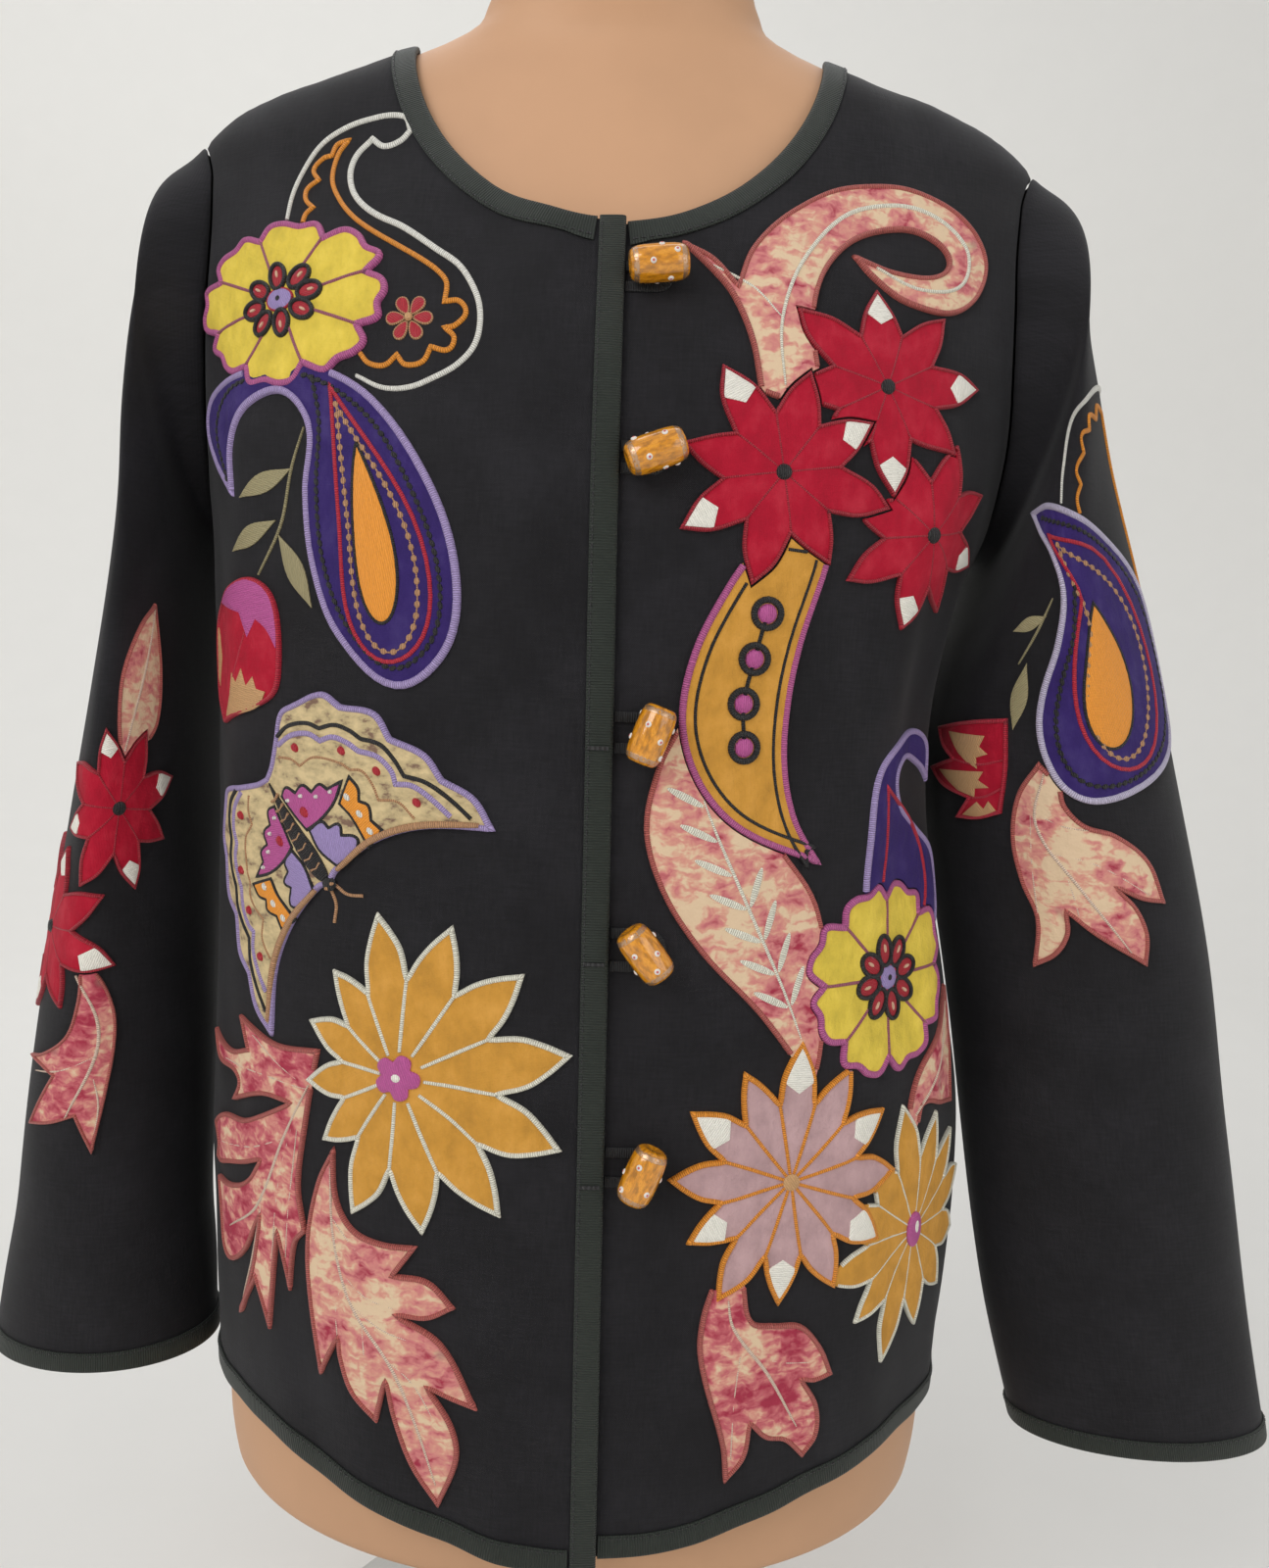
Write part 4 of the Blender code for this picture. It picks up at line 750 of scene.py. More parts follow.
@dataclass(frozen=True)
class Paint(Finish):
    """A plain painted floor."""

    def make(self, kit: Kit) -> bpy.types.Material:
        """Args:
            kit: The nodes of its material.

        Returns:
            The material.
        """
        mottle = kit.noise(kit.solid(), 14.0, 5)
        colour = kit.mixed(mottle, self.colour, tuple(c * 0.97 for c in self.colour))
        return kit.dress(Base_Color=colour, Roughness=0.9, Specular_IOR_Level=0.2)


CLOTH_BLACK = Woven("cloth_black", (0.0060, 0.0055, 0.0070))
RIBBON = Grosgrain("ribbon_grosgrain", (0.0080, 0.0110, 0.0080))
LOOP_BAND = Grosgrain("loop_band", (0.0065, 0.0065, 0.0070), 1.1)
BLACK = Satin("thread_black", (0.010, 0.009, 0.010))
BLACK_FINE = Satin("thread_black_fine", (0.020, 0.019, 0.021), 0.5)
WHITE = Satin("thread_white", (0.93, 0.90, 0.82))
WHITE_FILL = Satin("thread_white_fill", (0.90, 0.87, 0.78), filled=True)
CREAM = Satin("thread_cream", (0.95, 0.90, 0.75))
MAGENTA = Satin("thread_magenta", (0.56, 0.12, 0.33))
MAGENTA_FILL = Satin("thread_magenta_fill", (0.50, 0.085, 0.30), filled=True)
MAUVE = Satin("thread_mauve", (0.38, 0.10, 0.16))
LILAC_THREAD = Satin("thread_lilac", (0.45, 0.34, 0.64))
LILAC_PALE = Satin("thread_lilac_pale", (0.62, 0.56, 0.74))
LILAC_FILL = Satin("thread_lilac_fill", (0.34, 0.25, 0.52), filled=True)
RED_THREAD = Satin("thread_red", (0.56, 0.012, 0.040))
RED_FILL = Satin("thread_red_fill", (0.42, 0.008, 0.022), filled=True)
RED_EDGE = Satin("thread_red_edge", (0.42, 0.012, 0.030))
PEACH_FILL = Satin("thread_peach_fill", (0.72, 0.45, 0.30), filled=True)
ORANGE = Satin("thread_orange", (0.88, 0.31, 0.020))
ORANGE_FILL = Satin("thread_orange_fill", (0.88, 0.32, 0.025), filled=True)
TAN = Satin("thread_tan", (0.55, 0.29, 0.14))
TAN_FILL = Satin("thread_tan_fill", (0.60, 0.34, 0.15), filled=True)
KHAKI_FILL = Satin("thread_khaki_fill", (0.34, 0.29, 0.15), filled=True)
KHAKI = Satin("thread_khaki", (0.36, 0.31, 0.16))
ROSE_THREAD = Satin("thread_rose", (0.50, 0.115, 0.095))
VEIN = Satin("thread_vein", (0.86, 0.66, 0.52))
YELLOW = Cotton("cotton_yellow", (0.80, 0.60, 0.075), 0.6)
OCHRE = Cotton("cotton_ochre", (0.66, 0.32, 0.048), 0.55)
VIOLET = Cotton("cotton_violet", (0.034, 0.015, 0.135), 0.45)
RED = Cotton("cotton_red", (0.46, 0.0035, 0.026), 0.35)
LILAC_PINK = Cotton("cotton_lilac", (0.54, 0.35, 0.36), 0.6)
ROSE = TieDye("cotton_rose", (0.60, 0.15, 0.17))
ROSE_PALE = TieDye("cotton_rose_pale", (0.66, 0.22, 0.22), shift=-0.04)
MARBLED = Marbled("cotton_marbled", (0.72, 0.56, 0.30))
AMBER = BeadGlass("bead_amber", (0.72, 0.27, 0.006))
DOT_WHITE = Paint("bead_dot_white", (0.88, 0.84, 0.78))
DOT_PINK = Paint("bead_dot_pink", (0.62, 0.16, 0.16))
SHELL = Shell("form_shell_skin", (0.62, 0.355, 0.205))
STEEL = Brushed("stand_brushed", (0.60, 0.59, 0.57))
FLOOR = Paint("floor_pale", (0.80, 0.79, 0.76))


# Meshes

@dataclass
class Parts:
    """Mesh parts that are gathered into one piece."""

    points: list[Array] = field(default_factory=list)
    flats: list[Array] = field(default_factory=list)
    faces: list[list[int]] = field(default_factory=list)
    worn: list[int] = field(default_factory=list)
    finishes: list[Finish] = field(default_factory=list)
    count: int = 0

    def add(self, points: Array, faces: Iterable[Sequence[int]], flats: Array, finish: Finish) -> None:
        """Adds points with their flat coordinates, and faces that wear a finish.

        Args:
            points: The points, in metres.
            faces: Faces as numbers of these points.
            flats: The points' flat coordinates.
            finish: What the faces wear.
        """
        if finish not in self.finishes:
            self.finishes.append(finish)
        number = self.finishes.index(finish)
        start = self.count
        new = [[v + start for v in face] for face in faces]
        self.points.append(points)
        self.flats.append(flats)
        self.faces += new
        self.worn += [number] * len(new)
        self.count += len(points)

    def piece(self, name: str, sharp: float = 50.0, weld: bool = False) -> bpy.types.Object:
        """Makes the piece.

        Args:
            name: The piece's name.
            sharp: The angle in degrees past which an edge is sharp.
            weld: Whether points at one place are joined, which closes a tube.

        Returns:
            The new object, in the scene.
        """
        mesh = bpy.data.meshes.new(name)
        points = np.concatenate(self.points)
        mesh.from_pydata(points.tolist(), [], self.faces)
        for finish in self.finishes:
            mesh.materials.append(finish.material())
        mesh.polygons.foreach_set("material_index", self.worn)
        corner = np.empty(len(mesh.loops), np.int32)
        mesh.loops.foreach_get("vertex_index", corner)
        layer = mesh.uv_layers.new(name="flat")
        layer.data.foreach_set("uv", np.concatenate(self.flats)[corner].astype(np.float32).ravel())
        if weld:
            shape = bmesh.new()
            shape.from_mesh(mesh)
            bmesh.ops.remove_doubles(shape, verts=shape.verts, dist=1e-6)
            shape.to_mesh(mesh)
            shape.free()
        mesh.shade_smooth()
        mesh.set_sharp_from_angle(angle=math.radians(sharp))
        made = bpy.data.objects.new(name, mesh)
        bpy.context.scene.collection.objects.link(made)
        return made


def grid_faces(rows: int, columns: int, round_rows: bool = False,
               round_columns: bool = False) -> list[list[int]]:
    """Returns the faces of a grid of points, listed row by row.

    Args:
        rows: The number of rows.
        columns: The number of columns.
        round_rows: Whether the last row joins the first.
        round_columns: Whether the last column joins the first.

    Returns:
        Faces with four corners each.
    """
    j, i = np.meshgrid(np.arange(rows if round_rows else rows - 1),
                       np.arange(columns if round_columns else columns - 1), indexing="ij")
    j, i = j.ravel(), i.ravel()
    after_j, after_i = (j + 1) % rows, (i + 1) % columns
    return np.stack((j * columns + i, j * columns + after_i, after_j * columns + after_i,
                     after_j * columns + i), axis=1).tolist()


# Triangles that fill an outline, in steps: a row's height, and the least distance of a corner from the edge
ROW_HEIGHT, RIM_GAP = 0.866, 0.45


def filled(outline: Array, holes: Sequence[Array], step: float) -> tuple[Array, Array]:
    """Fills a flat outline with triangles of about one size.

    Args:
        outline: The outline, with points about a step apart.
        holes: Outlines that stay open.
        step: The size of the triangles.

    Returns:
        The flat points, and the triangles as rows of point numbers, all anticlockwise.
    """
    rings = [anticlockwise(np.asarray(ring, float)) for ring in (outline, *holes)]
    low, high = rings[0].min(axis=0), rings[0].max(axis=0)
    rows = np.arange(low[1], high[1], step * ROW_HEIGHT)
    across = np.arange(low[0], high[0] + step, step)
    grid = np.concatenate([np.stack((across + (step / 2 if k % 2 else 0), np.full(len(across), z)), axis=1)
                           for k, z in enumerate(rows)])
    grid = grid[holds(rings[0], grid)]
    for ring in rings[1:]:
        grid = grid[~holds(ring, grid)]
    for ring in rings:
        grid = grid[away_from(ring, grid) > step * RIM_GAP]
    points = [Vector(p) for p in grid]
    faces = []
    for ring in rings:
        faces.append(list(range(len(points), len(points) + len(ring))))
        points += [Vector(p) for p in ring]
    flat, _, found, _, _, owners = delaunay_2d_cdt(points, [], faces, 0, 1e-4)
    flat = np.array([tuple(p) for p in flat])
    keep = [face for face, owner in zip(found, owners) if 0 in owner and not any(k for k in owner)]
    triangles = np.array([face for face in keep if len(face) == 3], int).reshape(-1, 3)
    a, b, c = (flat[triangles[:, k]] for k in range(3))
    turn = (b[:, 0] - a[:, 0]) * (c[:, 1] - a[:, 1]) - (b[:, 1] - a[:, 1]) * (c[:, 0] - a[:, 0])
    triangles[turn < 0] = triangles[turn < 0][:, ::-1]
    triangles = triangles[np.abs(turn) > 1e-6]
    used, back = np.unique(triangles, return_inverse=True)
    return flat[used], back.reshape(-1, 3)


def walled(triangles: Array, count: int) -> list[list[int]]:
    """Returns the faces of a solid whose top and bottom are alike.

    Args:
        triangles: The top's triangles.
        count: The number of top points, after which the bottom ones come in the same order.

    Returns:
        The faces of the top, the bottom and the rim.
    """
    edges = {(int(t[k]), int(t[(k + 1) % 3])) for t in triangles for k in range(3)}
    rim = [[b, a, a + count, b + count] for a, b in sorted(edges) if (b, a) not in edges]
    return triangles.tolist() + (triangles[:, ::-1] + count).tolist() + rim


def deselect() -> None:
    """Leaves nothing selected."""
    bpy.ops.object.select_all(action="DESELECT")


def spun_solid(name: str, profile: Sequence[tuple[float, float]], around: int) -> bpy.types.Object:
    """Models a solid ring by ring, as by hand: a disc is extruded along Z and each new ring is scaled.

    Args:
        name: The piece's name.
        profile: Rings as (radius, distance along), from one end to the other.
        around: The corners of each ring.

    Returns:
        The new object.
    """
    deselect()
    radius, place = profile[0]
    bpy.ops.mesh.primitive_circle_add(vertices=around, radius=radius, fill_type="NGON",
                                      location=(0, 0, place))
    made = bpy.context.object
    made.name = name
    bpy.ops.object.mode_set(mode="EDIT")
    bpy.ops.mesh.select_all(action="SELECT")
    bpy.ops.mesh.flip_normals()
    for ring, height in profile[1:]:
        bpy.ops.mesh.extrude_region_move(TRANSFORM_OT_translate={"value": (0, 0, height - place)})
        bpy.ops.transform.resize(value=(ring / radius, ring / radius, 1), center_override=(0, 0, height))
        radius, place = ring, height
    bpy.ops.mesh.select_all(action="SELECT")
    bpy.ops.mesh.normals_make_consistent(inside=False)
    bpy.ops.object.mode_set(mode="OBJECT")
    bpy.ops.object.transform_apply(location=True, rotation=True, scale=True)
    return made


# Cloth surfaces

class ClothSurface:
    """A sheet of cloth as a fine grid of points, with the run and the height of each."""

    points: Array
    normals: Array

    @property
    def columns(self) -> int:
        """Returns the number of cells across."""
        return self.points.shape[1] - 1

    @property
    def rows(self) -> int:
        """Returns the number of cells up."""
        return self.points.shape[0] - 1

    def facing(self) -> Array:
        """Returns each grid point's outward direction."""
        return unit(np.cross(np.gradient(self.points, axis=1), np.gradient(self.points, axis=0)))

    def between(self, column: Array, row: Array, off: Array | float) -> Array:
        """Returns the points at places of the grid, moved out of the cloth's face.

        Args:
            column: Places across the grid.
            row: Places up the grid.
            off: The distance out of the face, in millimetres.

        Returns:
            One point for each place, in metres.
        """
        i = np.clip(np.floor(column).astype(int), 0, self.columns - 1)
        j = np.clip(np.floor(row).astype(int), 0, self.rows - 1)
        u, v = (column - i)[:, None], (row - j)[:, None]
        off = np.broadcast_to(np.asarray(off, float) * MM, column.shape)[:, None]
        corners = [grid[j + b, i + a] for grid in (self.points, self.normals) for b in (0, 1) for a in (0, 1)]
        weights = ((1 - u) * (1 - v), u * (1 - v), (1 - u) * v, u * v)
        point = sum(w * c for w, c in zip(weights, corners[:4]))
        return point + unit(sum(w * c for w, c in zip(weights, corners[4:]))) * off

    def index(self, places: Array) -> tuple[Array, Array]:
        """Returns the grid's column and row at flat places."""
        raise NotImplementedError

    def at(self, places: Array, off: Array | float) -> Array:
        """Returns the points at flat places, moved out of the face by a distance in millimetres."""
        return self.between(*self.index(np.asarray(places, float)), off)

    def moved(self, column: Array, row: Array, distance: float, steps: int = 3) -> tuple[Array, Array]:
        """Moves a line of grid places to its left by a distance measured along the cloth.

        Args:
            column: The line's places across the grid.
            row: The line's places up the grid.
            distance: The distance, in millimetres.
            steps: How many parts it is moved in.

        Returns:
            The moved line's columns and rows.
        """
        column, row = np.array(column, float), np.array(row, float)
        for _ in range(steps if distance else 0):
            along = unit(np.gradient(self.between(column, row, 0), axis=0))
            per_column = (self.between(column + 0.3, row, 0) - self.between(column - 0.3, row, 0)) / 0.6
            per_row = (self.between(column, row + 0.3, 0) - self.between(column, row - 0.3, 0)) / 0.6
            left = unit(np.cross(unit(np.cross(per_column, per_row)), along)) * distance * MM / steps
            cc, cr, rr = ((a * b).sum(axis=1) for a, b in
                          ((per_column, per_column), (per_column, per_row), (per_row, per_row)))
            on_c, on_r = (per_column * left).sum(axis=1), (per_row * left).sum(axis=1)
            whole = cc * rr - cr * cr
            column = np.clip(column + (on_c * rr - on_r * cr) / whole, 0, self.columns)
            row = row + (on_r * cc - on_c * cr) / whole
        return column, row


def fold_rise(folds: Sequence[Sequence[float]], across: Array, height: Array) -> Array:
    """Returns how far a body's folds lift the cloth at flat places in metres.

    Args:
        folds: The folds, as rows of a table.
        across: Places across, in metres.
        height: Heights, in metres.

    Returns:
        The rise at each place, in metres.
    """
    rise = np.zeros_like(across)
    for across_top, top, across_foot, foot, width, depth in folds:
        share = (top - height) / (top - foot)
        middle = across_top + (across_foot - across_top) * np.clip(share, 0, 1)
        fade = eased(share * 4 + 0.4) * eased((1 - share) * 2.5 + 0.4)
        rise = rise + depth * fade * np.exp(-(((across - middle) / width) ** 2))
    return rise


# Waves of hung cloth, as lengths across and up in metres, and how far each one lifts it
RIPPLE_WAVES = ((0.055, 0.160), (0.083, 0.110), (0.041, 0.090), (0.120, 0.060), (0.030, 0.140))
RIPPLE_RISE = 0.00016


def ripple(across: Array, height: Array, seed: float) -> Array:
    """Returns the slight unevenness of hung cloth at flat places in metres, about 0.4 mm either way.

    Args:
        across: Places across, in metres.
        height: Heights, in metres.
        seed: What shifts the waves.

    Returns:
        The rise at each place, in metres.
    """
    total = np.zeros_like(across)
    for k, (wide, tall) in enumerate(RIPPLE_WAVES):
        total += np.sin(across / wide * 2 * math.pi + height / tall * 2 * math.pi * (-1) ** k
                        + seed * (k + 1.7))
    return total * RIPPLE_RISE


class BodyCloth(ClothSurface):
    """The front or the back of the jacket's body, from one side seam to the other."""

    def __init__(self, is_front: bool, folds: Sequence[Sequence[float]],
                 lift: Callable[[Array], Array] | None = None, columns: int = 140) -> None:
        """Builds the surface.

        Args:
            is_front: Whether it is the front.
            folds: The folds that stand out of it.
            lift: How far the cloth stands off at a place across.
            columns: The cells across.
        """
        self.is_front = is_front
        self.heights = np.concatenate((np.arange(0, 0.560, 0.0032), np.arange(0.560, 0.6761, 0.0016)))
        sections = through_rows(JACKET[:, 0], JACKET[:, 1:], self.heights)
        wide = (sections[:, 0], sections[:, 1]) if is_front else (sections[:, 1], sections[:, 0])
        depth = sections[:, 2] if is_front else sections[:, 3]
        power = 2 / sections[:, 4]
        angle = np.linspace(0, math.pi / 2, 161)
        shares = np.linspace(-1, 1, columns + 1)
        sign = 1 if is_front else -1
        count = len(self.heights)
        self.half = np.empty((2, count))
        self.curves = ([], [])
        flat = np.empty((count, columns + 1))
        points = np.empty((count, columns + 1, 3))
        for j in range(count):
            for side in (0, 1):
                x = wide[side][j] * np.sin(angle) ** power[j]
                y = depth[j] * np.abs(np.cos(angle)) ** power[j]
                run = np.concatenate(([0], np.cumsum(np.hypot(np.diff(x), np.diff(y)))))
                self.curves[side].append((run, x))
                self.half[side, j] = run[-1] - SEAM_GAP / 2
                mine = shares < 0 if side == 0 else shares >= 0
                a = shares[mine] * self.half[side, j]
                flat[j, mine] = a
                points[j, mine, 0] = np.copysign(np.interp(np.abs(a), run, x), a) * sign
                points[j, mine, 1] = np.interp(np.abs(a), run, y) * -sign
        points[..., 2] = self.heights[:, None]
        self.points = points
        tall = np.broadcast_to(self.heights[:, None], flat.shape)
        edge = eased((1 - np.abs(shares)) * 9)[None, :]
        rise = fold_rise(folds, flat, tall) + ripple(flat, tall, 1.0 if is_front else 2.2) * edge
        if lift:
            rise = rise + lift(flat)
        self.points = self.points + self.facing() * rise[..., None]
        self.points[..., 2] += STAND_HEIGHT
        self.normals = self.facing()
        for side in (0, -1):
            self.normals[:, side, 1] = 0
            self.normals[:, side] = unit(self.normals[:, side])

    def half_run(self, across: Array, height: Array) -> Array:
        """Returns the run from the middle line to the side seam at heights in metres, on a place's side."""
        return np.where(np.asarray(across) < 0, np.interp(height, self.heights, self.half[0]),
                        np.interp(height, self.heights, self.half[1]))

    def index(self, places: Array) -> tuple[Array, Array]:
        """Returns the grid's column and row at flat places.

        Args:
            places: Flat places, in millimetres.

        Returns:
            The columns and the rows.
        """
        across, height = places[:, 0] * MM, places[:, 1] * MM
        share = np.clip(across / self.half_run(across, height), -1, 1)
        return (share + 1) / 2 * self.columns, np.interp(height, self.heights, np.arange(len(self.heights)))

    def run_to(self, x: float, height: float, side: int) -> float:
        """Returns the run to a distance off the middle plane at a height, both in metres.

        Args:
            x: The distance off the middle plane.
            height: The height.
            side: -1 or 1, the side.

        Returns:
            The run along the cloth, in metres.
        """
        j = int(np.clip(np.searchsorted(self.heights, height), 0, len(self.heights) - 1))
        run, xs = self.curves[int(side > 0)][j]
        return float(np.interp(x, xs, run))

    def armhole(self, side: int, turn: Array, inside: float = 0.0) -> Array:
        """Returns flat places on the armhole.

        Args:
            side: -1 or 1, the side of the middle line.
            turn: Turns in degrees, 0 at the armpit and 180 at the shoulder.
            inside: How far into the hole they lie, in metres.

        Returns:
            Flat places, in millimetres.
        """
        angle = np.radians(turn)
        height = ARMPIT + (SHOULDER_POINT - ARMPIT) * (1 - np.cos(angle)) / 2
        share = ARMHOLE_REACH * np.abs(np.sin(angle)) ** 0.8 * (1 + 0.10 * np.cos(angle))
        reach = self.half_run(np.full(len(height), side), height) * (1 - share) + inside * np.sin(angle)
        return np.stack((side * reach, height + inside * np.cos(angle)), axis=1) / MM

    def neckline(self, side: int, pit: float, steps: int = 60) -> Array:
        """Returns the neckline from the middle to the neck point on one side, as flat places.

        Args:
            side: -1 or 1, the side.
            pit: The neckline's lowest height, in metres.
            steps: The stretches of the line.

        Returns:
            The line's places, in millimetres.
        """
        power = 1.9 if self.is_front else 2.4
        line = []
        for k in range(steps + 1):
            angle = math.pi / 2 * k / steps
            height = pit + (NECK_POINT - pit) * (1 - abs(math.cos(angle)) ** (2 / power))
            half = float(self.half_run(side, height))
            reach = self.run_to(NECK_HALF_WIDTH * math.sin(angle) ** (2 / power), height, side)
            line.append((side * (min(reach, half) if k < steps else half), height))
        return np.array(line) / MM


class SleeveCloth(ClothSurface):
    """One sleeve as a tube. Its columns run round from the back, by -X and the front, and its rows run up."""

    def __init__(self, front: BodyCloth, back: BodyCloth, side: int, table: Array,
                 ridges: Sequence[Sequence[float]], columns: int = 128, rows: int = 150) -> None:
        """Builds the surface.

        Args:
            front: The front that the sleeve is set into.
            back: The back that it is set into.
            side: -1 for the wearer's right and 1 for the left.
            table: The sleeve's rings.
            ridges: The ridges that stand out of it.
            columns: The cells round.
            rows: The cells up.
        """
        turns = np.arange(columns + 1) * 360 / columns
        across, deep = -np.sin(np.radians(turns)) * side, np.cos(np.radians(turns))
        head, head_out = self.head(front, back, side, turns)
        knots = [head]
        for outer, outer_height, inner, inner_height, depth, middle in table:
            first = np.array((outer * side, middle, outer_height + STAND_HEIGHT))
            last = np.array((inner * side, middle, inner_height + STAND_HEIGHT))
            ring = (first + last) / 2 + (first - last) / 2 * across[:, None]
            ring[:, 1] += depth * deep
            knots.append(ring)
        stops = np.linspace(len(table), 0, rows + 1)
        flat = np.array(knots).reshape(len(knots), -1)
        points = through_rows(np.arange(len(knots)), flat, stops).reshape(rows + 1, columns + 1, 3)
        out = unit(points - points[:, :-1].mean(axis=1, keepdims=True))
        rise = np.zeros((rows + 1, columns + 1))
        for turn_top, turn_foot, top, foot, width, depth in ridges:
            share = ((stops - top) / (foot - top))[:, None]
            middle = turn_top + (turn_foot - turn_top) * np.clip(share, 0, 1)
            off = (turns[None, :] - middle + 180) % 360 - 180
            fade = eased(share * 4 + 0.2) * eased((1 - share) * 2.5 + 0.2)
            rise = rise + depth * fade * np.exp(-((off / width) ** 2))
        ring = np.sin(np.radians(turns * 3 + 40))[None, :] * np.sin(stops * 2.1)[:, None]
        pull = np.sin(np.radians(turns * 2 + 10))[None, :] * np.sin(stops * 4.3 + 1)[:, None]
        rise = rise + (ring * 0.0007 + pull * 0.0005) * eased(stops * 1.2)[:, None]
        self.points = points + out * rise[..., None]
        ring = self.points[:, :-1]
        along = np.roll(ring, -1, axis=1) - np.roll(ring, 1, axis=1)
        normals = unit(np.cross(along, np.gradient(ring, axis=0)))
        self.normals = np.concatenate((normals, normals[:, :1]), axis=1)
        self.normals[-1] = unit(self.normals[-1] + head_out)
        run = np.linalg.norm(np.diff(self.points, axis=1), axis=2)
        run = np.concatenate((np.zeros((len(run), 1)), np.cumsum(run, axis=1)), axis=1)
        self.runs = run - run[:, columns // 2, None]

    @staticmethod
    def head(front: BodyCloth, back: BodyCloth, side: int, turns: Array) -> tuple[Array, Array]:
        """Returns the sleeve's points at the armhole, and the body's outward directions there.

        Args:
            front: The front that the sleeve is set into.
            back: The back.
            side: -1 or 1, the side.
            turns: Turns round the sleeve, in degrees.

        Returns:
            The points and the directions.
        """
        level = np.sin(np.radians(turns)) * -side
        own = np.degrees(np.arccos(np.clip(-level, -1, 1)))
        on_front = (np.cos(np.radians(turns)) < 1e-9)[:, None]
        halves = []
        for half, own_side in ((front, side), (back, -side)):
            places = half.armhole(own_side, own, SLEEVE_INSIDE)
            points = half.at(places, SLEEVE_PROUD / MM)
            halves.append((points, unit(half.at(places, 1.0) - half.at(places, 0.0))))
        return (np.where(on_front, halves[0][0], halves[1][0]),
                np.where(on_front, halves[0][1], halves[1][1]))

    def index(self, places: Array) -> tuple[Array, Array]:
        """Returns the grid's column and row at flat places: the run from the front line, and the height.

        Args:
            places: Flat places, in millimetres.

        Returns:
            The columns and the rows.
        """
        across, height = places[:, 0] * MM, places[:, 1] * MM + STAND_HEIGHT
        column = np.full(len(places), self.columns / 2)
        low, high = self.points[0, self.columns // 2, 2], self.points[-1, self.columns // 2, 2]
        row = (height - low) / (high - low) * self.rows
        for _ in range(14):
            run, run_right, run_up = (self.read(self.runs, column + a, row + b)
                                      for a, b in ((0, 0), (0.5, 0), (0, 0.5)))
            tall, tall_right, tall_up = (self.read(self.points[..., 2], column + a, row + b)
                                         for a, b in ((0, 0), (0.5, 0), (0, 0.5)))
            a, b = (run_right - run) * 2, (run_up - run) * 2
            c, d = (tall_right - tall) * 2, (tall_up - tall) * 2
            whole = a * d - b * c
            whole = np.where(np.abs(whole) < 1e-9, 1e-9, whole)
            off_run, off_tall = across - run, height - tall
            column = np.clip(column + np.clip((off_run * d - off_tall * b) / whole, -9, 9), 0,
                             self.columns - 1e-6)
            row = np.clip(row + np.clip((off_tall * a - off_run * c) / whole, -9, 9), -1, self.rows)
        return column, row

    def read(self, grid: Array, column: Array, row: Array) -> Array:
        """Returns the values of a grid between its points.

        Args:
            grid: One value for each point of the grid.
            column: Places across the grid.
            row: Places up the grid.

        Returns:
            The values.
        """
        i = np.clip(np.floor(column).astype(int), 0, self.columns - 1)
        j = np.clip(np.floor(row).astype(int), 0, self.rows - 1)
        u, v = column - i, row - j
        return ((grid[j, i] * (1 - u) + grid[j, i + 1] * u) * (1 - v)
                + (grid[j + 1, i] * (1 - u) + grid[j + 1, i + 1] * u) * v)


def lap_lift(across: Array) -> Array:
    """Returns how far the right front stands off to lie over the left one."""
    return LAP_LIFT * eased((across - LAP_RAMP[0]) / (LAP_RAMP[1] - LAP_RAMP[0]))


def front_edge(height: Array | float) -> Array | float:
    """Returns where the upper front's edge lies across the middle line at a height, in metres."""
    return FRONT_EDGE_TOP + (FRONT_EDGE_BOTTOM - FRONT_EDGE_TOP) * (FRONT_NECK_PIT - height) / FRONT_NECK_PIT


def hem_height(across: Array, lifted: float = 0.0) -> Array:
    """Returns the hem's height, which rises towards the side and may be lifted at the front edge.

    Args:
        across: Places across, in metres.
        lifted: How much higher it is at the front edge, in metres.

    Returns:
        The heights, in metres.
    """
    away = np.abs(across)
    rise = HEM_RISE * eased(away / HEM_RUN) - SIDE_DIP * eased((away - 0.16) / 0.09)
    return HEM_LOW + rise + lifted * (1 - eased(away / 0.06))


def spaced(path: Array, step: float) -> Array:
    """Returns an open path's points at even runs of about one step, from its first point to its last.

    Args:
        path: The points of the path.
        step: About how far apart the new points are.

    Returns:
        The new points.
    """
    runs = runs_of(path)
    stops = np.linspace(0, runs[-1], max(2, int(round(runs[-1] / step)) + 1))
    return np.stack([np.interp(stops, runs, path[:, k]) for k in range(path.shape[1])], axis=1)


def kept_across(line: Array, low: float = -math.inf, high: float = math.inf) -> Array:
    """Returns the stretch of a flat line that lies between two places across, at even runs."""
    dense = walked(line, 0.4)
    return spaced(dense[(dense[:, 0] >= low) & (dense[:, 0] <= high)], 2.4)


# Embroidery

class Ground(Enum):
    """What stitches lie on, as the heights of their foot and of their crest in millimetres."""

    EDGE = (0.05, 1.95)
    PATCH = (0.95, 2.10)
    CLOTH = (0.02, 0.95)
    RAISED = (1.40, 2.85)
    TOP = (2.10, 3.20)


# Places of a satin line's section, as shares of its width and of its height, from its left side to its right
SATIN_SECTION = ((0.50, 0.0), (0.46, 0.55), (0.28, 0.90), (0.0, 1.0),
                 (-0.28, 0.90), (-0.46, 0.55), (-0.50, 0.0))


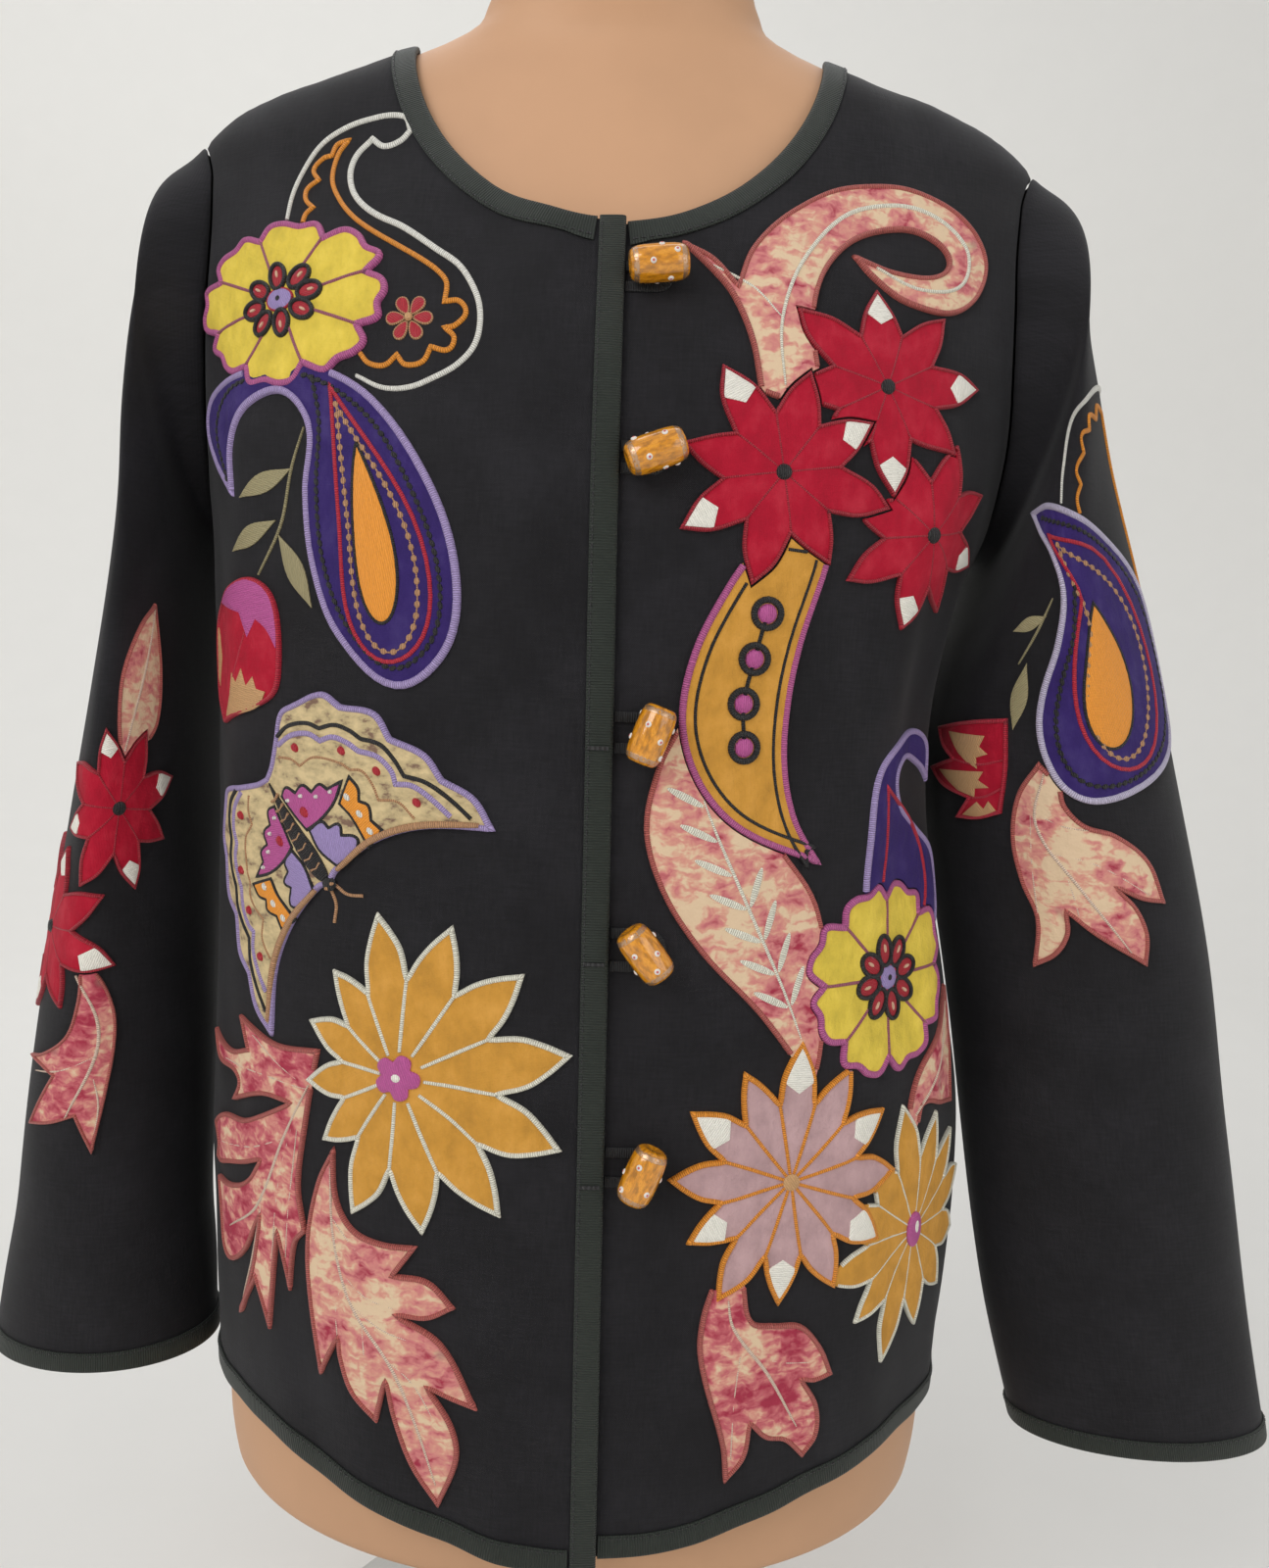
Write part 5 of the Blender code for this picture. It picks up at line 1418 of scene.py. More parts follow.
@dataclass
class Needlework:
    """Patches and stitches on one cloth, gathered into one piece.

    The covers are the outlines of what lies above, and no stitch passes under them.
    """

    surface: ClothSurface
    covers: list[Array] = field(default_factory=list)
    parts: Parts = field(default_factory=Parts)

    def open_at(self, places: Array) -> Array:
        """Returns which places nothing lies above.

        Args:
            places: Flat places, in millimetres.

        Returns:
            True for each place that is open.
        """
        clear = np.ones(len(places), bool)
        for cover in self.covers:
            clear &= ~holds(cover, places)
        return clear

    def patch(self, outline: Array, finish: Finish, puff: float = 0.5, step: float = 2.7) -> None:
        """Sews a patch whose middle stands a little higher than its rim.

        Args:
            outline: The patch's outline.
            finish: Its cloth.
            puff: How much higher its middle stands, in millimetres.
            step: The size of its triangles.
        """
        line = walked(anticlockwise(outline), step * 0.8, True)
        low, high = line.min(axis=0), line.max(axis=0)
        near = [walked(c, step * 0.8, True) for c in self.covers
                if (c.min(axis=0) < high).all() and (c.max(axis=0) > low).all()]
        flat, triangles = filled(line, near, step)
        rim = away_from(line, flat)
        crinkle = (np.sin(flat[:, 0] * 0.62 + flat[:, 1] * 0.31)
                   * np.sin(flat[:, 1] * 0.55 - flat[:, 0] * 0.23))
        top = 0.95 + puff * eased(rim / 6) + 0.12 * crinkle * eased(rim / 4)
        points = np.concatenate((self.surface.at(flat, top), self.surface.at(flat, 0.3)))
        self.parts.add(points, walled(triangles, len(flat)), np.concatenate((flat, flat)), finish)

    def fill(self, outline: Array, finish: Finish, turn: float = 0.0, ground: Ground = Ground.PATCH) -> None:
        """Fills a small shape with satin stitches whose threads lie at a turn, in degrees.

        Args:
            outline: The outline's points.
            finish: Its thread.
            turn: The threads' turn, in degrees.
            ground: What it lies on.
        """
        line = walked(anticlockwise(outline), 1.3, True)
        if not self.open_at(line).all():
            return
        flat, triangles = filled(line, [], 1.5)
        foot, crest = ground.value
        top = foot + (crest - foot) * (0.55 + 0.45 * np.sqrt(eased(away_from(line, flat) / 1.6)))
        points = np.concatenate((self.surface.at(flat, top), self.surface.at(flat, foot - 0.3)))
        threads = turned_to(flat, -turn, (0, 0))
        self.parts.add(points, walled(triangles, len(flat)), np.concatenate((threads, threads)), finish)

    def line(self, path: Array, wide: float, finish: Finish, ground: Ground = Ground.PATCH,
             closed: bool = False, ends: float = 1.0) -> None:
        """Sews a raised line of satin stitches.

        Args:
            path: The line's course.
            wide: Its width in millimetres.
            finish: Its thread.
            ground: What it lies on.
            closed: Whether it returns to its start.
            ends: The width of its ends as a share of its own.
        """
        places = walked(path, 1.5, closed)
        left = leftward(places, closed)
        clear = self.open_at(places)
        if closed and clear.all():
            self.sweep(places, left, np.full(len(places), wide), finish, ground, True)
            return
        if closed:
            first = int(np.argmin(clear))
            places, left, clear = (np.roll(a, -first, axis=0) for a in (places, left, clear))
        marks = np.flatnonzero(np.diff(np.concatenate(([0], clear.astype(int), [0]))))
        for start, stop in zip(marks[::2], marks[1::2]):
            if stop - start > 1:
                share = np.linspace(0, 1, stop - start)
                widths = wide * (ends + (1 - ends) * np.sin(np.pi * share) ** 0.6)
                self.sweep(places[start:stop], left[start:stop], widths, finish, ground, False)

    def sweep(self, places: Array, left: Array, widths: Array, finish: Finish, ground: Ground,
              closed: bool) -> None:
        """Adds a satin line's mesh along flat places, with its left directions and widths.

        Args:
            places: The places of its middle line.
            left: The direction to the left of each.
            widths: Its width at each, in millimetres.
            finish: Its thread.
            ground: What it lies on.
            closed: Whether it returns to its start.
        """
        foot, crest = ground.value
        count = len(SATIN_SECTION)
        runs = runs_of(places)
        flat = np.concatenate([places + left * (widths * across)[:, None] for across, _ in SATIN_SECTION])
        low = min(1.0, float(np.mean(widths)) / 1.6)
        off = np.concatenate([np.full(len(places), foot + (crest - foot) * up * low)
                              for _, up in SATIN_SECTION])
        points = self.surface.at(flat, off).reshape(count, len(places), 3).transpose(1, 0, 2).reshape(-1, 3)
        threads = np.stack((np.repeat(runs, count),
                            np.concatenate([[a * w for a, _ in SATIN_SECTION] for w in widths])), axis=1)
        faces = grid_faces(len(places), count, closed, True)
        if not closed:
            last = (len(places) - 1) * count
            faces += [list(range(count))[::-1], list(range(last, last + count))]
        self.parts.add(points, faces, threads, finish)

    def dots(self, places: Array, wide: float, high: float, finish: Finish, ground: Ground = Ground.PATCH,
             turns: Array | float = 0.0, around: int = 9) -> None:
        """Sews raised ovals.

        Args:
            places: Their middles.
            wide: Half their width in millimetres.
            high: Half their height in millimetres.
            finish: Their thread.
            ground: What they lie on.
            turns: How far each is turned, in degrees.
            around: The corners of each.
        """
        places = np.atleast_2d(np.asarray(places, float))
        turns = np.broadcast_to(np.asarray(turns, float), len(places))
        keep = self.open_at(places)
        if not keep.any():
            return
        places, turns = places[keep], turns[keep]
        angles = np.arange(around) * 2 * math.pi / around
        ring = np.stack((wide * np.cos(angles), high * np.sin(angles)), axis=1)
        shape = np.concatenate((ring, ring * 0.72, [(0.0, 0.0)]))
        foot, crest = ground.value
        heights = np.concatenate((np.full(around, foot), np.full(around, foot + 0.8 * (crest - foot)),
                                  [crest]))
        flat = np.concatenate([turned_to(shape, t, p) for p, t in zip(places, turns)])
        i = np.arange(around)
        j = (i + 1) % around
        one = (np.stack((i, j, j + around, i + around), axis=1).tolist()
               + np.stack((i + around, j + around, np.full(around, 2 * around)), axis=1).tolist()
               + [list(range(around))[::-1]])
        size = 2 * around + 1
        faces = [[v + k * size for v in face] for k in range(len(places)) for face in one]
        self.parts.add(self.surface.at(flat, np.tile(heights, len(places))), faces, flat, finish)

    def chain(self, path: Array, gap: float, wide: float, long: float, finish: Finish,
              ground: Ground = Ground.PATCH, closed: bool = False, slant: float = 0.0) -> None:
        """Sews ovals one after another along a path.

        Args:
            path: The chain's course.
            gap: The distance from one oval to the next, in millimetres.
            wide: Half an oval's width.
            long: Half an oval's length.
            finish: Its thread.
            ground: What it lies on.
            closed: Whether it returns to its start.
            slant: How far each oval is turned from the path, in degrees.
        """
        whole = np.concatenate((path, path[:1])) if closed else path
        places = spaced(whole, gap)
        along = unit(np.gradient(places, axis=0))
        turns = np.degrees(np.arctan2(along[:, 1], along[:, 0])) + slant
        if closed:
            places, turns = places[:-1], turns[:-1]
        self.dots(places, long, wide, finish, ground, turns)


def dressed(piece: bpy.types.Object, slot: str, *nodes: str) -> bpy.types.Object:
    """Puts a piece on the body and hides the nodes that it stands for.

    Args:
        piece: The piece.
        slot: The record's slot; not used.
        nodes: The nodes that it stands for.

    Returns:
        The same piece.
    """
    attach(piece, "root")
    if nodes:
        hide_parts(*nodes)
    LOG.info("%s: %d faces", piece.name, len(piece.data.polygons))
    return piece


@dataclass(frozen=True)
class Motif:
    """One appliqued motif, named as its node."""

    name: str
    slot: str
    finish: Finish

    def outline(self) -> Array:
        """Returns the motif's flat outline."""
        raise NotImplementedError

    def sew(self, work: Needlework) -> None:
        """Sews the motif's patch and stitches."""
        raise NotImplementedError

    def build(self, surface: ClothSurface, covers: list[Array]) -> bpy.types.Object:
        """Builds the motif on a surface, clear of the outlines that lie above it.

        Args:
            surface: The cloth that it lies on.
            covers: The outlines of what lies above.

        Returns:
            The new piece.
        """
        work = Needlework(surface, covers)
        self.sew(work)
        return dressed(work.parts.piece(self.name + "_sewn"), self.slot, self.name)


class Centre(Enum):
    """The kinds of a flower's centre, with the share of the radius where its petals' lines start."""

    ROSETTE = 0.30
    KNOT = 0.16
    LONG = 0.10
    EYE = 0.07
    BUTTON = 0.06


class Petal(Enum):
    """A petal's edge from its notch, as shares of its turn and the flower's radius, and a flag at corners."""

    ROUND = ((0.0, 0.85, 1), (0.20, 1.0), (0.42, 0.955), (0.62, 1.0), (0.82, 0.985))
    BROAD = ((0.0, 0.62, 1), (0.15, 0.75), (0.32, 0.87), (0.5, 1.0, 1), (0.68, 0.87), (0.85, 0.75))
    STAR = ((0.0, 0.55, 1), (0.25, 0.76), (0.5, 1.0, 1), (0.72, 0.80))


@dataclass(frozen=True)
class Flower(Motif):
    """A flower of many petals with satin outlines and dividing lines."""

    middle: tuple[float, float]
    radius: float
    stretch: float
    petals: int
    petal: Petal
    turn: float
    uneven: float
    border: Finish
    border_width: float
    divider: Finish
    divider_width: float
    centre: Centre
    tips: tuple[int, ...] = ()
    lean: float = 0.0

    def spot(self, petal: float, share: float, reach: float) -> tuple[float, float]:
        """Returns a place by a petal's number, a share of its turn and a share of the flower's radius.

        Args:
            petal: The petal's number.
            share: The share of its turn.
            reach: The share of the radius.

        Returns:
            The flat place.
        """
        longer = 1 + self.uneven * math.sin(2.4 * petal + 1) if share else 1.0
        angle = math.radians(self.turn + 360 * (petal + share) / self.petals)
        shorter = 1 - self.lean * ((1 - math.cos(angle)) / 2) ** 2
        radius = self.radius * reach * longer * shorter
        return (self.middle[0] + self.stretch * radius * math.cos(angle),
                self.middle[1] + radius * math.sin(angle))

    def outline(self) -> Array:
        """Returns the flower's outline, with a notch between two petals."""
        return curved([(*self.spot(p, share, reach), *corner) for p in range(self.petals)
                       for share, reach, *corner in self.petal.value], 5)

    def sew(self, work: Needlework) -> None:
        """Sews the patch, its lines, the tips of some petals and the centre.

        Args:
            work: What it is sewn on.
        """
        work.patch(self.outline(), self.finish)
        notch = self.petal.value[0][1]
        for p in self.tips:
            edge = [self.spot(p, share, reach * 0.965) for share, reach, *_ in self.petal.value[1:]]
            angle = self.turn + 360 * (p + 0.5) / self.petals
            work.fill(np.array([*edge, self.spot(p, 0.5, self.petal.value[1][1] - 0.12)]), WHITE_FILL, angle)
        for p in range(self.petals):
            bow = 0.05 * math.sin(3.1 * p)
            path = (self.spot(p, 0, self.centre.value), self.spot(p, bow, notch * 0.6),
                    self.spot(p, 0, notch * 0.98))
            work.line(curved(path, 5, False), self.divider_width, self.divider, ends=0.8)
        work.line(widened(self.outline(), -self.border_width * 0.28), self.border_width, self.border,
                  Ground.EDGE, True)
        self.sew_centre(work)

    def sew_centre(self, work: Needlework) -> None:
        """Sews the centre by its kind.

        Args:
            work: What it is sewn on.
        """
        size = self.radius / 45
        here = np.array(self.middle)
        if self.centre is Centre.ROSETTE:
            ring = oval(here, 13.0 * size * self.stretch, 13.0 * size, 12, 8)
            turns = np.degrees(np.arctan2(*(ring - here).T[::-1]))
            for place, turn in zip(ring, turns):
                work.fill(oval(place, 6.6 * size, 4.3 * size, turn, 18), RED_FILL, turn + 90)
                work.line(oval(place, 7.1 * size, 4.8 * size, turn, 20), 1.9, BLACK, Ground.RAISED, True)
                work.dots([place + unit(place - here) * 1.2 * size], 2.6 * size, 1.0 * size, PEACH_FILL,
                          Ground.RAISED, turn)
            work.fill(oval(here, 5.6 * size * self.stretch, 5.6 * size), LILAC_FILL, 30, Ground.RAISED)
            work.line(oval(here, 6.0 * size * self.stretch, 6.0 * size, 0, 22), 1.0, RED_THREAD,
                      Ground.RAISED, True)
            work.dots([here], 1.9 * size, 1.9 * size, BLACK, Ground.TOP)
        elif self.centre is Centre.KNOT:
            lobes = [turned_to(np.array([(r * self.radius, 0.0)]), self.turn + 72 * k + a, here)[0].tolist()
                     + flag
                     for k in range(5) for a, r, flag in ((-14, 0.13, []), (14, 0.13, []), (36, 0.09, [1]))]
            work.fill(curved(lobes, 4), MAGENTA_FILL, 20, Ground.RAISED)
            work.dots([here], 2.4, 2.2, WHITE_FILL, Ground.TOP)
        elif self.centre is Centre.LONG:
            work.fill(oval(here, 5.0, 8.2, 8), MAGENTA_FILL, 100, Ground.RAISED)
            work.fill(oval(here + (0.5, 1.5), 1.7, 3.4, 8), WHITE_FILL, 10, Ground.TOP)
        elif self.centre is Centre.EYE:
            work.dots([here], 3.4, 3.2, BLACK, Ground.RAISED, 20, 14)
        else:
            work.fill(oval(here, 3.5, 3.5), TAN_FILL, 35, Ground.RAISED)


def along_spine(spine: Sequence[Sequence[float]], shares: Array) -> tuple[Array, Array]:
    """Returns the places at shares of a spine's length, and the direction to its left at each.

    Args:
        spine: The spine's places.
        shares: Shares of its length.

    Returns:
        The places, and the directions to their left.
    """
    knots = np.arange(len(spine))
    along = np.asarray(shares, float) * knots[-1]
    ahead, behind = (through_rows(knots, spine, np.clip(along + off, 0, knots[-1])) for off in (0.05, -0.05))
    on = unit(ahead - behind)
    return through_rows(knots, spine, along), np.stack((-on[:, 1], on[:, 0]), axis=1)


def drop(spine: Sequence[Sequence[float]], half: float, fullness: float = 1.4, steps: int = 44) -> Array:
    """Draws a drop that is pointed at its top and round at its foot.

    Args:
        spine: Places from the top to the foot.
        half: Half its greatest width.
        fullness: How low it is widest.
        steps: The points of the outline.

    Returns:
        The outline.
    """
    turn = np.arange(steps) * 2 * math.pi / steps
    here, left = along_spine(spine, (1 - np.cos(turn)) / 2)
    aside = np.sin(turn) * np.abs(np.sin(turn / 2)) ** fullness
    return here + left * (half * aside / aside.max())[:, None]


@dataclass(frozen=True)
class Paisley(Motif):
    """A hooked drop with a red drop inside, and in rich ones chains and a small filled drop."""

    knots: tuple[tuple[float, ...], ...]
    heart: tuple[tuple[float, float], ...]
    half: float
    border: Finish
    border_width: float
    core: tuple[tuple[float, float], ...] = ()
    core_half: float = 0.0
    twist: tuple[tuple[float, ...], ...] = ()

    def outline(self) -> Array:
        """Returns the paisley's outline."""
        return curved(self.knots, 7)

    def sew(self, work: Needlework) -> None:
        """Sews the patch, its border, its chains and the drops inside.

        Args:
            work: What it is sewn on.
        """
        outline = self.outline()
        work.patch(outline, self.finish)
        work.line(widened(outline, -self.border_width * 0.3), self.border_width, self.border, Ground.EDGE,
                  True)
        work.line(drop(self.heart, self.half), 1.9, RED_THREAD, closed=True)
        if self.twist:
            path = curved(self.twist, 8, False)
            work.line(path, 0.9, BLACK)
            work.chain(path, 3.4, 1.25, 2.0, BLACK, slant=20)
        if self.core:
            inner = drop(along_spine(self.heart, np.array((0.07, 0.5, 0.965)))[0], self.half * 0.73)
            work.line(inner, 0.9, TAN, closed=True)
            work.chain(inner, 4.4, 1.45, 1.75, TAN, closed=True)
            shape = drop(self.core, self.core_half, 0.9)
            work.fill(shape, ORANGE_FILL, 15)
            work.line(widened(shape, 0.3), 1.5, BLACK, closed=True)


@dataclass(frozen=True)
class Leaf(Motif):
    """A lobed or plain leaf with veins."""

    knots: tuple[tuple[float, ...], ...]
    veins: tuple[tuple[tuple[float, float], ...], ...]
    border: Finish = ROSE_THREAD
    border_width: float = 2.2
    vein: Finish = VEIN
    vein_width: float = 1.0
    leaflets: bool = False

    def outline(self) -> Array:
        """Returns the leaf's outline."""
        return curved(self.knots, 7)

    def sew(self, work: Needlework) -> None:
        """Sews the patch, its border and its veins.

        Args:
            work: What it is sewn on.
        """
        outline = self.outline()
        work.patch(outline, self.finish)
        work.line(widened(outline, -self.border_width * 0.28), self.border_width, self.border, Ground.EDGE,
                  True)
        for path in self.veins:
            work.line(curved(path, 7, False), self.vein_width * (1.6 if path is self.veins[0] else 0.9),
                      self.vein, ends=0.35)
        if self.leaflets:
            stem = curved(self.veins[0], 7, False)
            spine = spaced(stem, 15.0)[1:-1]
            along = unit(np.gradient(spine, axis=0))
            turns = np.degrees(np.arctan2(along[:, 1], along[:, 0]))
            for sign in (1, -1):
                aside = np.stack((-along[:, 1], along[:, 0]), axis=1) * sign
                for place, ahead, side, turn in zip(spine, along, aside, turns):
                    leaflet = oval(place + side * 6.4 - ahead * 6.0, 8.2, 1.5, turn - sign * 42, 18)
                    if holds(outline, widened(leaflet, 2.0)).all():
                        work.fill(leaflet, self.vein, turn - sign * 42)


@dataclass(frozen=True)
class Pod(Motif):
    """A seed pod with a row of ringed seeds."""

    knots: tuple[tuple[float, ...], ...]
    seeds: tuple[tuple[float, float], ...]

    def outline(self) -> Array:
        """Returns the pod's outline."""
        return curved(self.knots, 7)

    def sew(self, work: Needlework) -> None:
        """Sews the patch, its lines and the seeds.

        Args:
            work: What it is sewn on.
        """
        outline = self.outline()
        work.patch(outline, self.finish)
        work.line(widened(outline, -0.8), 2.8, MAGENTA, Ground.EDGE, True)
        work.line(widened(outline, -5.6), 1.4, BLACK, closed=True)
        places = np.array(self.seeds)
        work.line(curved(self.seeds, 6, False), 1.8, BLACK)
        for place in places:
            work.line(oval(place, 5.4, 5.4, 0, 20), 2.6, BLACK, Ground.RAISED, True)
        work.dots(places, 4.0, 4.0, MAGENTA_FILL, Ground.RAISED, 0, 14)


@dataclass(frozen=True)
class Bud(Motif):
    """A flower bud with ragged satin on its petals and darker lines between them."""

    knots: tuple[tuple[float, ...], ...]
    fills: tuple[tuple[tuple[tuple[float, ...], ...], Finish, float], ...]
    lines: tuple[tuple[tuple[float, float], ...], ...]

    def outline(self) -> Array:
        """Returns the bud's outline."""
        return curved(self.knots, 7)

    def sew(self, work: Needlework) -> None:
        """Sews the patch, the petals' lines and the satin.

        Args:
            work: What it is sewn on.
        """
        outline = self.outline()
        work.patch(outline, self.finish)
        for path in self.lines:
            work.line(curved(path, 6, False), 1.3, RED_THREAD, ends=0.5)
        work.line(widened(outline, -0.6), 1.9, RED_THREAD, Ground.EDGE, True)
        for knots, finish, turn in self.fills:
            work.fill(curved(knots, 4), finish, turn)


# Half a butterfly's edge from the head to the tail, and lines inside it: ahead of its middle, out to one side
WING_EDGE = ((24, 0, 1), (22, 6), (24, 28), (33, 48), (52, 70, 1), (38, 72), (24, 67, 1), (12, 68),
             (-2, 61, 1), (-14, 62), (-26, 52, 1), (-36, 48), (-42, 34, 1), (-44, 26), (-38, 16, 1), (-32, 6),
             (-30, 0, 1))
WING_RIM = ((-38, 18), (-37, 26), (-32, 34), (-26, 38, 1), (-22, 45), (-16, 49), (-10, 51, 1), (-3, 56),
            (5, 57), (13, 56, 1), (20, 61), (30, 64), (43, 66))
WING_BAND = ((-35, 16), (-33, 25), (-28, 32), (-22, 35, 1), (-19, 41), (-13, 45), (-7, 47, 1), (0, 52),
             (8, 53), (13, 51, 1), (18, 56), (26, 58.5), (37, 60))
WING_RIB = ((-31, 13), (-26, 18), (-21, 20, 1), (-19, 28), (-9, 37), (-4, 39, 1), (0, 43), (7, 43),
            (13, 41, 1), (19, 47), (28, 48))
WING_FAN = ((1, 6, 1), (-9, 4.5), (-18, 3.5, 1), (-19, 8), (-14, 11, 1), (-14, 16), (-9, 18, 1), (-9, 23),
            (-5, 25, 1), (-3, 33, 1), (1, 24), (2, 14))
WING_BLOOM = ((2, 7, 1), (3, 14), (7, 15, 1), (9, 20), (13, 18, 1), (18, 23), (22, 20, 1), (21, 8, 1),
              (11, 5.5))
WING_CELLS = ((-2, 37, 1), (4, 37), (8, 34, 1), (12, 36), (17, 33, 1), (23, 34, 1), (24, 25, 1), (18, 26),
              (10, 27), (3, 26, 1))


@dataclass(frozen=True)
class Butterfly(Motif):
    """A butterfly with open wings, in a plain pattern of bands and spots."""

    middle: tuple[float, float] = (-121.0, 318.0)
    heading: float = -47.0

    def spots(self, places: Sequence[Sequence[float]], side: int = 1) -> Array:
        """Returns flat places by how far ahead of the middle they are and how far out to one side."""
        return turned_to(np.array([p[:2] for p in places], float) * (1, side), self.heading, self.middle)

    def drawn(self, places: Sequence[Sequence[float]], side: int = 1, closed: bool = False) -> Array:
        """Returns a curve through such places."""
        knots = [(*spot, *knot[2:]) for spot, knot in zip(self.spots(places, side).tolist(), places)]
        return curved(knots, 7, closed)

    def outline(self) -> Array:
        """Returns the butterfly's outline."""
        mirrored = [(k[0], -k[1], *k[2:]) for k in WING_EDGE[-2:0:-1]]
        return self.drawn(list(WING_EDGE) + mirrored, 1, True)

    def sew(self, work: Needlework) -> None:
        """Sews the patch, both wings, the body and the feelers.

        Args:
            work: What it is sewn on.
        """
        work.patch(self.outline(), self.finish)
        for side in (1, -1):
            self.wing(work, side)
        work.line(widened(self.outline(), -0.7), 2.6, LILAC_THREAD, Ground.EDGE, True)
        for side in (1, -1):
            work.line(self.drawn(((22, 7), (23, 28), (31, 47), (47, 67)), side), 3.0, TAN, Ground.RAISED,
                      ends=0.6)
            work.line(self.drawn(((26, 1.5), (32, 3.5), (37, 9)), side), 1.3, TAN, Ground.CLOTH)
        body = self.drawn(((22, 0), (14, 3.8), (-4, 3.4), (-27, 0.6, 1), (-4, -3.4), (14, -3.8)), 1, True)
        work.fill(body, BLACK, self.heading, Ground.RAISED)
        for ahead in range(-20, 18, 5):
            work.line(self.spots(((ahead, 2.8), (ahead + 1, 0), (ahead, -2.8))), 1.2, TAN, Ground.TOP)
        work.dots(self.spots(((24, 0),)), 3.4, 3.0, BLACK, Ground.RAISED, 0, 12)
        work.dots(self.spots(((25, 1.6), (25, -1.6))), 0.9, 0.9, TAN, Ground.TOP)

    def wing(self, work: Needlework, side: int) -> None:
        """Sews one side's lines, filled shapes and spots.

        Args:
            work: What it is sewn on.
            side: -1 or 1, the side.
        """
        for path, wide, thread in ((WING_RIM, 1.9, BLACK), (WING_BAND, 2.4, LILAC_THREAD),
                                   (WING_RIB, 1.2, TAN)):
            work.line(self.drawn(path, side), wide, thread)
        for shape, thread, turn in ((WING_CELLS, ORANGE_FILL, 0), (WING_BLOOM, LILAC_FILL, 60),
                                    (WING_FAN, MAGENTA_FILL, 30)):
            edge = self.drawn(shape, side, True)
            work.fill(edge, thread, self.heading + side * turn)
            work.line(edge, 1.5, BLACK, closed=True)
        for ahead in (7.5, 16.5):
            work.line(self.spots(((ahead, 26.5), (ahead, 34)), side), 1.1, BLACK)
        work.dots(self.spots(((3.5, 31), (12, 31), (20, 30)), side), 2.2, 1.4, WHITE, Ground.RAISED,
                  self.heading)
        work.dots(self.spots(((-28, 23), (-12, 41), (4, 48), (24, 53)), side), 2.2, 1.6, RED_FILL,
                  Ground.RAISED, self.heading)
        work.dots(self.spots(((-5, 10),), side), 2.6, 1.8, RED_FILL, Ground.TOP, self.heading)
        work.dots(self.spots(((-14, 6), (-11, 13), (-6, 19), (-3, 26)), side), 0.9, 0.9, WHITE, Ground.TOP)


YELLOW_LOOK = (MAGENTA, 3.0, MAUVE, 1.5, Centre.ROSETTE)
STAR_LOOK = (RED_EDGE, 1.6, RED_EDGE, 1.0, Centre.EYE)

